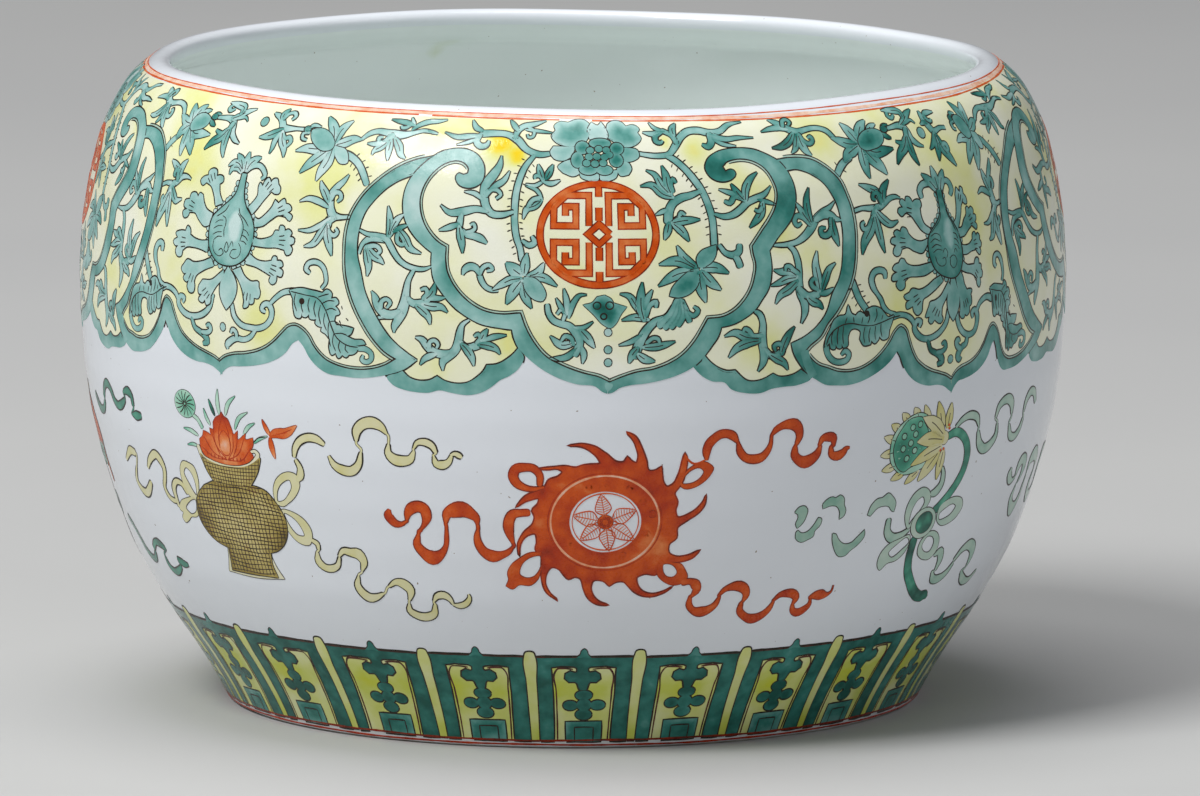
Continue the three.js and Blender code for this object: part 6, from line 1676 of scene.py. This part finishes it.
def parasol(c):
    A, L, B = "emblem_canopy_red", "emblem_canopy_lines", "emblem_canopy_green"
    T = put(c, 66)
    side_ribbons(c, B, L, 0.75, right=False)
    stroke("emblem_canopy_olive", L, nums("0,9,1.3 .2,0,1.3 .6,-8,1.3 1.4,-17,1.4"), layer=0, tone=0.4, T=T, edge=0.24)
    shape(A, L, "-14,5.4| -12,10 -8,13.4 -3,15.6 0,16 3,15.6 8,13.4 12,10 14,5.4| 11.6,4 9.4,5| 7,3.6 4.7,4.7| 2.4,3.4 0,4.6| -2.4,3.4 -4.7,4.7| -7,3.6 -9.4,5| -11.6,4|", layer=2, tone=0.45, rim=0.15, T=T, edge=0.26, grid=2.2)
    for f in (-0.66, -0.33, 0, 0.33, 0.66):
        line(L, [(f * 2, 15.6), (f * 9, 11.4), (f * 14.2, 4.8)], w=0.3, h=0.24, T=T)
    shape(B, L, "-13.4,5.2| -11.6,4 -9.4,5| -7,3.6 -4.7,4.7| -2.4,3.4 0,4.6| 2.4,3.4 4.7,4.7| 7,3.6 9.4,5| 11.6,4 13.4,5.2| 13.6,.6| 11.4,-1.2 9.2,.2| 6.8,-1.4 4.6,0| 2.3,-1.6 0,-.1| -2.3,-1.6 -4.6,0| -6.8,-1.4 -9.2,.2| -11.4,-1.2 -13.6,.6|", layer=3, tone=0.6, T=T, edge=0.24, grid=2)
    for i in range(12):
        x = -12.4 + i * 2.26
        line(L, [(x, 3.6), (x, 0.2)], w=0.24, h=0.26, T=T)
    disc("emblem_canopy_olive", L, 0, 17.4, 1.6, 1.4, layer=3, tone=0.3, T=T, edge=0.24, grid=1)
    for x in (-13.6, 13.6):
        stroke(A, L, [(x, 4.6, 0.6), (x * 1.03, 1.6, 0.7), (x * 1.04, -2.4, 1.5), (x * 1.04, -4.4, 1.1)], layer=1, tone=0.5, T=T, edge=0.2)
    bows(c, B, L, 0.75, y=53)


# ---------------------------------------------------------------- build the painting

SIDE = {0: "front", 1: "right", 2: "back", -1: "left"}


def near_rows(rows, limit):
    """The sprigs that start nearer to the sector's middle than limit."""
    return "\n".join(r for r in rows.strip().splitlines() if abs(float(r.split("|")[1].split(",")[0])) < limit)


ground()
for k in (0, 1, 2, -1):
    border(k)
    L, R = TL(k), TR(k)
    many(L, LEFT_PLANTS)
    many(L, LEFT_OUTER if k in (0, 2) else near_rows(LEFT_OUTER, 81.9))
    for t in LEFT_OUTER_HAIRS:
        hairs(L, t)
    for lay, a, d, t in LEFT_OUTER_SHAPES:
        shape(G, INK, t, layer=lay, tone=a, deep=d, reach=2, T=L, edge=0.27, grid=1.6)
    acanthus(L, ACANTHUS_L, ACANTHUS_L_SPINE, ACANTHUS_L_RIBS, ACANTHUS_L_TAIL, (-75.1, 117.9))
    if k in (0, 2):
        lotus_head(L, BULB_L, PETALS_L, CROWN_L, BULB_L_LINES, -98, (-97.4, 133.8))
        disc(G, INK, -96.3, 160.1, 1.25, 1.2, layer=2, tone=0.6, T=L, edge=0.3, grid=1)
        disc(G, INK, -99.4, 109.5, 0.85, 0.95, layer=2, tone=0.3, T=L, edge=0.28, grid=1)
        lotus_head(R, BULB_R, PETALS_R, CROWN_R, BULB_R_LINES, 96, (97.4, 131))
        disc(G, INK, 95.9, 156.3, 1.3, 1.35, layer=2, tone=0.35, T=R, edge=0.3, grid=1)
        disc(G, INK, 96, 100.6, 0.9, 0.95, layer=2, tone=0.3, T=R, edge=0.28, grid=1)
    disc(G, INK, -81.3, 159.4, 1.0, 0.8, layer=3, tone=0.8, T=L, edge=0.35, grid=1)
    disc(G, INK, 83, 158.6, 1.1, 0.8, layer=3, tone=0.8, T=R, edge=0.35, grid=1)
    many(R, RIGHT_OUTER + RIGHT_FAR if k in (0, 2) else RIGHT_OUTER)
    for t in RIGHT_OUTER_HAIRS:
        hairs(R, t)
    for lay, a, d, t in RIGHT_OUTER_SHAPES:
        shape(G, INK, t, layer=lay, tone=a, deep=d, reach=2, T=R, edge=0.27, grid=1.6)
    acanthus(R, ACANTHUS_R, ACANTHUS_R_SPINE, ACANTHUS_R_RIBS, ACANTHUS_R_TAIL, (68.2, 114.4))
    many(R, RIGHT_PLANTS)
    hairs(L, "-17.2,155.2,1 -19,152.6,1.3 -20.2,149.5,1.4 -20.9,146.1,1.5 -21.1,142.7,1.5 -21,139,1.5 -20.5,135.9,1.4 -19.5,133,1.3 -19.05,130.5,1.2")
    hairs(R, "18.4,155.5,1.3 21.5,153,1.5 23.9,150,1.6 25.6,147.3,1.6 27,143.8,1.6 27.9,140,1.6 28,137,1.5 28,134.8,1.5")
    shape(G, INK, LEFT_PETAL, layer=3, tone=0.5, deep=0.15, reach=2, T=L, edge=0.27, grid=1.6)
    for t in RIGHT_PETALS:
        shape(G, INK, t, layer=3, tone=0.5, deep=0.15, reach=2, T=R, edge=0.27, grid=1.6)
    peony(lambda p, k=k: act(p[:, 0] + SECTOR * k, p[:, 1], k))
    bat(lambda p, k=k: act(p[:, 0] + SECTOR * k, p[:, 1], k))
    fret_roundel(lambda p, k=k: act(p[:, 0] + SECTOR * k, p[:, 1], k), k)
    for n in (G, INK, GB, INKB):
        BUFS[n + "_" + SIDE[k]] = BUFS.pop(n)
lappets()
wheel()
vase_emblem()
lotus_emblem()
ribs("emblem_canopy_green", "emblem_canopy_lines", DARK_RIB, tone=0.75)
conch(SECTOR)
fish_pair(SECTOR * 1.5)
knot(SECTOR * 2)
banner(-SECTOR * 1.5)
parasol(-SECTOR)

# lines round the mouth and the foot
RED = "mouth_lines_red"


def round_line(name, s0, w, sag, tone, gaps=(), h=0.09, seed=1.0, wob=0.10):
    u = np.linspace(-PERIOD / 2, PERIOD / 2, 760)
    s = s0 - sag * smooth01((u - 5) / 70) * smooth01((170 - u) / 60) + wob * (np.sin(u * 0.06 + seed) + 0.5 * np.sin(u * 0.17 + seed * 2))
    ww = w * (1 + wave(u, seed, 0.3))
    run = []
    for i in range(len(u)):
        gap = any(a < u[i] < b for a, b in gaps)
        if not gap:
            run.append((u[i], s[i], ww[i]))
        if (gap or i == len(u) - 1) and len(run) > 3:
            ribbon(buf(name), np.array(run), h, tone, flat=True)
            run = []


round_line("mouth_wash_pink", 166.95, 1.0, 1.25, 0.06, h=0.06, seed=2.0, wob=0.05)
round_line(RED, 167.45, 0.30, 0.35, 0.5, seed=3.0, wob=0.04)
round_line(RED, 166.05, 0.5, 1.45, 0.45, gaps=((-50, -47), (-9.5, -1.5), (203, 208)), seed=5.0, wob=0.08)
round_line("foot_lines_red", 1.15, 0.55, 0.0, 0.92, seed=7.0, wob=0.12, h=0.2)
round_line("foot_lines_red", -0.25, 0.5, 0.0, 0.8, seed=9.0, wob=0.08, h=0.12)

# ---------------------------------------------------------------- materials


def lin(c):
    return tuple((x / 12.92 if x <= 0.04045 else ((x + 0.055) / 1.055) ** 2.4) for x in (v / 255 for v in c)) + (1.0,)


def ramp(nt, stops):
    r = nt.nodes.new("ShaderNodeValToRGB")
    while len(r.color_ramp.elements) < len(stops):
        r.color_ramp.elements.new(0.5)
    for e, (p, c) in zip(r.color_ramp.elements, stops):
        e.position = p
        e.color = lin(c)
    return r


def enamel(name, stops, grain=260.0, amount=0.35, rough=(0.10, 0.24), bump=0.06, coat=0.0, fine=1400.0):
    m = bpy.data.materials.new(name)
    m.use_nodes = True
    nt = m.node_tree
    bsdf = nt.nodes["Principled BSDF"]
    at = nt.nodes.new("ShaderNodeAttribute")
    at.attribute_name = "tone"
    tc = nt.nodes.new("ShaderNodeTexCoord")
    n1 = nt.nodes.new("ShaderNodeTexNoise")
    n1.inputs["Scale"].default_value = grain
    n1.inputs["Detail"].default_value = 3
    n2 = nt.nodes.new("ShaderNodeTexNoise")
    n2.inputs["Scale"].default_value = fine
    n2.inputs["Detail"].default_value = 2
    nt.links.new(tc.outputs["Object"], n1.inputs["Vector"])
    nt.links.new(tc.outputs["Object"], n2.inputs["Vector"])
    sub = nt.nodes.new("ShaderNodeMath")
    sub.operation = "SUBTRACT"
    sub.inputs[1].default_value = 0.5
    mul = nt.nodes.new("ShaderNodeMath")
    mul.operation = "MULTIPLY_ADD"
    mul.inputs[1].default_value = amount * 1.6
    nt.links.new(n1.outputs["Fac"], sub.inputs[0])
    nt.links.new(sub.outputs[0], mul.inputs[0])
    nt.links.new(at.outputs["Fac"], mul.inputs[2])
    r = ramp(nt, stops)
    nt.links.new(mul.outputs[0], r.inputs["Fac"])
    nt.links.new(r.outputs["Color"], bsdf.inputs["Base Color"])
    bsdf.inputs["Specular IOR Level"].default_value = 0.3
    mr = nt.nodes.new("ShaderNodeMapRange")
    mr.inputs["From Min"].default_value = 0.3
    mr.inputs["From Max"].default_value = 0.7
    mr.inputs["To Min"].default_value = rough[0]
    mr.inputs["To Max"].default_value = rough[1]
    nt.links.new(n2.outputs["Fac"], mr.inputs["Value"])
    nt.links.new(mr.outputs["Result"], bsdf.inputs["Roughness"])
    bp = nt.nodes.new("ShaderNodeBump")
    bp.inputs["Strength"].default_value = bump
    bp.inputs["Distance"].default_value = 0.0004
    nt.links.new(n2.outputs["Fac"], bp.inputs["Height"])
    nt.links.new(bp.outputs["Normal"], bsdf.inputs["Normal"])
    return m


GREEN = [(0.0, (202, 226, 222)), (0.3, (156, 200, 194)), (0.55, (108, 168, 160)), (0.78, (54, 130, 120)), (1.0, (22, 90, 80))]
PALE_GREEN = [(0.0, (206, 220, 206)), (0.4, (176, 204, 188)), (0.7, (128, 176, 156)), (1.0, (80, 140, 120))]
YELLOW = [(0.0, (247, 248, 232)), (0.3, (243, 244, 210)), (0.55, (235, 237, 162)), (0.8, (242, 226, 84)), (1.0, (250, 216, 36))]
FOOT_YELLOW = [(0.0, (232, 234, 186)), (0.3, (220, 224, 140)), (0.55, (206, 214, 96)), (0.8, (208, 212, 52)), (1.0, (220, 206, 36))]
REDS = [(0.0, (242, 212, 192)), (0.25, (232, 140, 80)), (0.5, (212, 84, 12)), (0.75, (180, 52, 6)), (1.0, (104, 30, 12))]
OLIVE = [(0.0, (222, 208, 150)), (0.35, (194, 176, 106)), (0.65, (160, 140, 68)), (1.0, (96, 80, 36))]
INKS = [(0.0, (50, 44, 34)), (0.5, (38, 32, 24)), (0.8, (58, 36, 26)), (1.0, (92, 44, 30))]
PALE_YEL = [(0.0, (232, 228, 200)), (0.4, (222, 218, 170)), (0.7, (214, 206, 130)), (1.0, (170, 160, 90))]
BRIGHT = [(0.0, (190, 224, 204)), (0.35, (110, 190, 160)), (0.6, (64, 150, 124)), (1.0, (26, 70, 62))]

MATS = {
    "scroll": enamel("enamel_green_scroll", GREEN),
    "border": enamel("enamel_green_border", GREEN, grain=180, amount=0.4),
    "pale": enamel("enamel_pale_green", PALE_GREEN),
    "yellow": enamel("enamel_yellow_ground", YELLOW, grain=80, amount=0.42, rough=(0.08, 0.2)),
    "foot_yellow": enamel("enamel_yellow_foot", FOOT_YELLOW, grain=160, amount=0.4),
    "red": enamel("iron_red", REDS, grain=300, amount=0.35, rough=(0.22, 0.38)),
    "olive": enamel("enamel_olive", OLIVE, grain=260, amount=0.3),
    "ink": enamel("ink_dark", INKS, grain=400, amount=0.6, rough=(0.25, 0.4)),
    "pale_yellow": enamel("enamel_pale_yellow", PALE_YEL),
    "bright": enamel("enamel_bright_green", BRIGHT),
}
WHICH = {
    G: ("scroll", "green_enamel"), GB: ("border", "green_enamel"), INK: ("ink", "ink_line"), INKB: ("ink", "ink_line"),
    "border_enamel_pale": ("pale", "green_enamel"), "ground_enamel_yellow": ("yellow", "yellow_enamel"),
    "roundel_enamel_red": ("red", "red_enamel"), "foot_enamel_green": ("scroll", "green_enamel"),
    "foot_enamel_yellow": ("foot_yellow", "yellow_enamel"), "ink_foot": ("ink", "ink_line"),
    "emblem_wheel_red": ("red", "red_enamel"), "emblem_wheel_lines": ("red", "red_enamel"),
    "emblem_vase_olive": ("olive", "yellow_enamel"), "emblem_vase_lines": ("ink", "ink_line"),
    "emblem_vase_ribbons": ("pale_yellow", "yellow_enamel"), "emblem_vase_flower": ("red", "red_enamel"),
    "emblem_vase_flower_lines": ("red", "red_enamel"), "emblem_vase_leaves": ("bright", "green_enamel"),
    "emblem_lotus_petals": ("pale_yellow", "yellow_enamel"), "emblem_lotus_lines": ("ink", "ink_line"),
    "emblem_lotus_ribbons": ("pale", "green_enamel"), "emblem_lotus_green": ("bright", "green_enamel"),
    "emblem_lotus_red": ("red", "red_enamel"), "emblem_canopy_green": ("bright", "green_enamel"),
    "emblem_canopy_lines": ("ink", "ink_line"), "emblem_canopy_red": ("red", "red_enamel"), "emblem_canopy_olive": ("olive", "yellow_enamel"),
    "emblem_conch_red": ("red", "red_enamel"), "emblem_conch_lines": ("ink", "ink_line"), "emblem_conch_green": ("pale", "green_enamel"),
    "emblem_fish_green": ("bright", "green_enamel"), "emblem_fish_lines": ("ink", "ink_line"), "emblem_fish_red": ("red", "red_enamel"),
    "emblem_knot_olive": ("pale_yellow", "yellow_enamel"), "emblem_knot_lines": ("ink", "ink_line"), "emblem_knot_green": ("bright", "green_enamel"),
    "emblem_banner_red": ("red", "red_enamel"), "emblem_banner_lines": ("ink", "ink_line"), "emblem_banner_olive": ("pale_yellow", "yellow_enamel"), RED: ("red", "red_enamel"), "mouth_wash_pink": ("red", "red_enamel"),
    "foot_lines_red": ("red", "red_enamel"),
}

# ---------------------------------------------------------------- porcelain body


def porcelain_material():
    m = bpy.data.materials.new("porcelain_glaze")
    m.use_nodes = True
    nt = m.node_tree
    bsdf = nt.nodes["Principled BSDF"]
    at = nt.nodes.new("ShaderNodeAttribute")
    at.attribute_name = "tone"
    tc = nt.nodes.new("ShaderNodeTexCoord")
    n1 = nt.nodes.new("ShaderNodeTexNoise")
    n1.inputs["Scale"].default_value = 34
    n1.inputs["Detail"].default_value = 4
    n2 = nt.nodes.new("ShaderNodeTexNoise")
    n2.inputs["Scale"].default_value = 900
    n2.inputs["Detail"].default_value = 1
    n3 = nt.nodes.new("ShaderNodeTexNoise")
    n3.inputs["Scale"].default_value = 120
    n3.inputs["Detail"].default_value = 2
    for n in (n1, n2, n3):
        nt.links.new(tc.outputs["Object"], n.inputs["Vector"])
    mul = nt.nodes.new("ShaderNodeMath")
    mul.operation = "MULTIPLY_ADD"
    mul.inputs[1].default_value = 0.12
    nt.links.new(n1.outputs["Fac"], mul.inputs[0])
    nt.links.new(at.outputs["Fac"], mul.inputs[2])
    r = ramp(nt, [(0.0, (236, 240, 246)), (0.12, (232, 237, 242)), (0.3, (236, 242, 241)), (0.62, (234, 241, 238)), (0.85, (222, 230, 214)), (1.0, (216, 214, 170))])
    nt.links.new(mul.outputs[0], r.inputs["Fac"])
    # pinholes and specks of iron in the glaze
    sp = ramp(nt, [(0.0, (255, 255, 255)), (0.79, (255, 255, 255)), (0.82, (150, 130, 110)), (1.0, (120, 100, 80))])
    nt.links.new(n2.outputs["Fac"], sp.inputs["Fac"])
    mix = nt.nodes.new("ShaderNodeMix")
    mix.data_type = "RGBA"
    mix.blend_type = "MULTIPLY"
    mix.inputs["Factor"].default_value = 1.0
    nt.links.new(r.outputs["Color"], mix.inputs["A"])
    nt.links.new(sp.outputs["Color"], mix.inputs["B"])
    nt.links.new(mix.outputs["Result"], bsdf.inputs["Base Color"])
    mr = nt.nodes.new("ShaderNodeMapRange")
    mr.inputs["To Min"].default_value = 0.05
    mr.inputs["To Max"].default_value = 0.13
    nt.links.new(n3.outputs["Fac"], mr.inputs["Value"])
    nt.links.new(mr.outputs["Result"], bsdf.inputs["Roughness"])
    bp = nt.nodes.new("ShaderNodeBump")
    bp.inputs["Strength"].default_value = 0.12
    bp.inputs["Distance"].default_value = 0.0006
    nt.links.new(n3.outputs["Fac"], bp.inputs["Height"])
    nt.links.new(bp.outputs["Normal"], bsdf.inputs["Normal"])
    return m


def biscuit_material():
    m = bpy.data.materials.new("biscuit")
    m.use_nodes = True
    nt = m.node_tree
    bsdf = nt.nodes["Principled BSDF"]
    tc = nt.nodes.new("ShaderNodeTexCoord")
    n = nt.nodes.new("ShaderNodeTexNoise")
    n.inputs["Scale"].default_value = 240
    n.inputs["Detail"].default_value = 6
    nt.links.new(tc.outputs["Object"], n.inputs["Vector"])
    r = ramp(nt, [(0.25, (172, 156, 130)), (0.5, (212, 202, 182)), (0.75, (228, 222, 208))])
    nt.links.new(n.outputs["Fac"], r.inputs["Fac"])
    nt.links.new(r.outputs["Color"], bsdf.inputs["Base Color"])
    bsdf.inputs["Roughness"].default_value = 0.8
    bp = nt.nodes.new("ShaderNodeBump")
    bp.inputs["Strength"].default_value = 0.4
    bp.inputs["Distance"].default_value = 0.0004
    nt.links.new(n.outputs["Fac"], bp.inputs["Height"])
    nt.links.new(bp.outputs["Normal"], bsdf.inputs["Normal"])
    return m


def turned(name, section, material, slot, tones, closed=False, seg=288, wob=True, smudges=()):
    """Revolves a section of (r, z) points. Points on the axis become poles."""
    sec = np.array(section, float)
    b = Buf()
    th = np.arange(seg) * 2 * math.pi / seg
    rows = []
    for (r, z), tn in zip(sec, tones):
        if r < 1e-6:
            rows.append((b.points(np.array([[0, 0, z * MM]]), tn), 1))
            continue
        x, y, zz = r * np.cos(th), r * np.sin(th), np.full(seg, z)
        if smudges and r < 112 and z > 120 and tn > 0.2:
            tn = tn + sum(a * np.exp(-(((th - t0) * 108) ** 2) / (w * w) - ((z - z0) ** 2) / (g * g)) for t0, z0, w, g, a in smudges)
        if wob:
            x, y, zz = wobble(x, y, zz)
        rows.append((b.points(np.column_stack([x, y, zz]) * MM, tn), seg))
    i = np.arange(seg)
    j = (i + 1) % seg
    pairs = list(zip(rows[:-1], rows[1:]))
    if closed:
        pairs.append((rows[-1], rows[0]))
    for (a, na), (c, nc) in pairs:
        if na == 1:
            b.tris(np.column_stack([np.full(seg, a), c + j, c + i]))
        elif nc == 1:
            b.tris(np.column_stack([a + i, a + j, np.full(seg, c)]))
        else:
            b.quads(np.column_stack([a + i, a + j, c + j, c + i]))
    return b.make(name, material, slot)


def resample(p, step):
    d = np.concatenate([[0], np.cumsum(np.linalg.norm(np.diff(p, axis=0), axis=1))])
    t = np.linspace(0, d[-1], max(2, int(d[-1] / step)) + 1)
    return np.column_stack([np.interp(t, d, p[:, 0]), np.interp(t, d, p[:, 1])])


under = curve([(1, 7.3), (36, 7.0), (66, 6.6), (72.5, 6.0), (74.6, 4.0), (75.4, 0.9), (76.2, 0.25)], step=1.6)
flat = np.array([(77.2, 0.12), (79.5, 0.12), (82.0, 0.12), (82.9, 0.14)])
bevel = curve([(83.5, 0.2), (84.3, 0.55), (84.8, 1.2)], step=0.3)[:-1]
wall_out = resample(outer_line, 1.6)[:-1]
lip = resample(lip_line, 0.45)
zs = np.linspace(147, 27, 76)
wall_in = np.array([(float(outer_r(z)) - float(wall(z)), z) for z in zs])
floor_in = curve([(wall_in[-1][0], 27), (88.6, 21.5), (83.4, 17.6), (76, 15.2), (66, 14.1), (40, 13.6), (1, 13.4)], step=1.8)[1:]
section = np.vstack([[(0, 7.3)], under, flat, bevel, wall_out, lip, wall_in, floor_in, [(0, 13.4)]])
n_out = 1 + len(under) + len(flat) + len(bevel) + len(wall_out) + len(lip) // 2
tones = []
for i, (r, z) in enumerate(section):
    if i < n_out:
        tones.append(0.0 if z > 8 else 0.12)
    else:
        # inside the jar: painted shade, the glaze made darker and greener below about z 140 under the rim, and a little
        # darker again down towards the floor
        tones.append(0.28 + 0.22 * float(smooth01((140 - z) / 16)) + 0.08 * float(smooth01((70 - z) / 50)))
PORC = porcelain_material()
body = turned("porcelain_body", section, PORC, "porcelain", tones,
              smudges=[(1.90, 145.5, 3.2, 2.6, 0.5), (1.86, 148.5, 5.0, 1.6, 0.35), (1.55, 141, 4.0, 2.2, 0.16), (1.2, 143, 3.0, 3.0, 0.14), (2.3, 142, 4.5, 2.5, 0.14)])
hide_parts("lower_section", "upper_section")

# unglazed flat of the foot ring
fr = [(76.3, 0.4), (76.5, 0.0), (79.6, 0.0), (82.9, 0.0), (83.6, 0.12), (83.3, 0.4)]
foot = turned("foot_biscuit", fr, biscuit_material(), "biscuit", [0.5] * len(fr), closed=True)

# the bead of slip inside, fired into the wall
zb = np.linspace(91.8, 100.2, 13)
bead = [(float(outer_r(z)) - float(wall(z)) + 0.3, z) for z in zb]
bead += [(float(outer_r(z)) - float(wall(z)) - 1.3 * max(0.0, math.cos((z - 96) / 4.2 * math.pi / 2)) ** 0.8 - 0.02, z) for z in zb[::-1]]
band_piece = turned("luting_bead", bead, PORC, "slip", [0.5] * len(bead), closed=True)
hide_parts("luting_band")

def drift(b, swing):
    """Makes the green paler at the left of the front and deeper at the right, fading out towards the back."""
    v, t = np.vstack(b.v), np.concatenate(b.t)
    u = (np.arctan2(v[:, 0], -v[:, 1]) - TURN) * 120
    b.t = [t - 0.03 + swing * np.tanh(u / 55) * np.clip(1.6 - np.abs(u) / 140, 0, 1)]


for name, b in BUFS.items():
    if name.startswith((G, GB)):
        drift(b, 0.16 if name.startswith(G) else 0.09)
    mat, slot = WHICH[name] if name in WHICH else WHICH[name.rsplit("_", 1)[0]]
    b.make(name, MATS[mat], slot)

# ---------------------------------------------------------------- floor, light, camera


def sheet_object(name, verts, faces, material):
    me = bpy.data.meshes.new(name)
    me.from_pydata(verts, [], faces)
    me.update()
    o = bpy.data.objects.new(name, me)
    bpy.context.scene.collection.objects.link(o)
    me.materials.append(material)
    for p in me.polygons:
        p.use_smooth = True
    return o


fm = bpy.data.materials.new("floor_paper")
fm.use_nodes = True
fn = fm.node_tree
fb = fn.nodes["Principled BSDF"]
ftc = fn.nodes.new("ShaderNodeTexCoord")
fno = fn.nodes.new("ShaderNodeTexNoise")
fno.inputs["Scale"].default_value = 3.0
fn.links.new(ftc.outputs["Object"], fno.inputs["Vector"])
frp = ramp(fn, [(0.3, (190, 190, 189)), (0.7, (196, 196, 194))])
fn.links.new(fno.outputs["Fac"], frp.inputs["Fac"])
fn.links.new(frp.outputs["Color"], fb.inputs["Base Color"])
fb.inputs["Roughness"].default_value = 0.85
prof = [(-14.0, 0.0), (12.4, 0.0)] + [(12.4 + 1.6 * math.sin(a), 1.6 - 1.6 * math.cos(a)) for a in np.linspace(0.1, math.pi / 2, 14)] + [(14.0, 12.0)]
vs, fs = [], []
for y, z in prof:
    vs += [(-14, y, z), (14, y, z)]
for i in range(len(prof) - 1):
    fs.append((2 * i, 2 * i + 1, 2 * i + 3, 2 * i + 2))
floor = sheet_object("floor", vs, fs, fm)


def area(name, loc, target, size, power, color=(1, 1, 1)):
    d = bpy.data.lights.new(name, "AREA")
    d.shape = "RECTANGLE"
    d.size, d.size_y = size
    d.energy = power
    d.color = color
    o = bpy.data.objects.new(name, d)
    o.location = loc
    o.rotation_euler = (Vector(target) - Vector(loc)).to_track_quat("-Z", "Y").to_euler()
    bpy.context.scene.collection.objects.link(o)
    return o


key = area("key", (-1.6, -1.5, 2.8), (0, 0, 0.08), (1.3, 1.3), 86)
top = area("top", (-0.2, 0.2, 2.1), (0, 0, 0.1), (1.3, 1.1), 17)
side = area("side", (2.0, -1.0, 1.6), (0, 0, 0.08), (1.0, 1.2), 5, (0.94, 0.96, 1.0))
world = bpy.data.worlds.new("studio")
bpy.context.scene.world = world
world.use_nodes = True
world.node_tree.nodes["Background"].inputs["Color"].default_value = (0.93, 0.95, 1.0, 1)
world.node_tree.nodes["Background"].inputs["Strength"].default_value = 0.22

cam_data = bpy.data.cameras.new("camera")
cam = bpy.data.objects.new("camera", cam_data)
bpy.context.scene.collection.objects.link(cam)
el = math.radians(8.547)
aim = Vector((0, 0, 0.0812))
cam.location = aim + Vector((0, -math.cos(el), math.sin(el))) * 4.8
cam.rotation_euler = (aim - cam.location).to_track_quat("-Z", "Y").to_euler()
cam_data.sensor_width = 36
cam_data.lens = 590.5
cam_data.shift_x = 0.02255
cam_data.shift_y = -0.0297
cam_data.clip_start = 0.1
cam_data.clip_end = 60
bpy.context.scene.camera = cam
bpy.context.scene.view_settings.view_transform = "Standard"
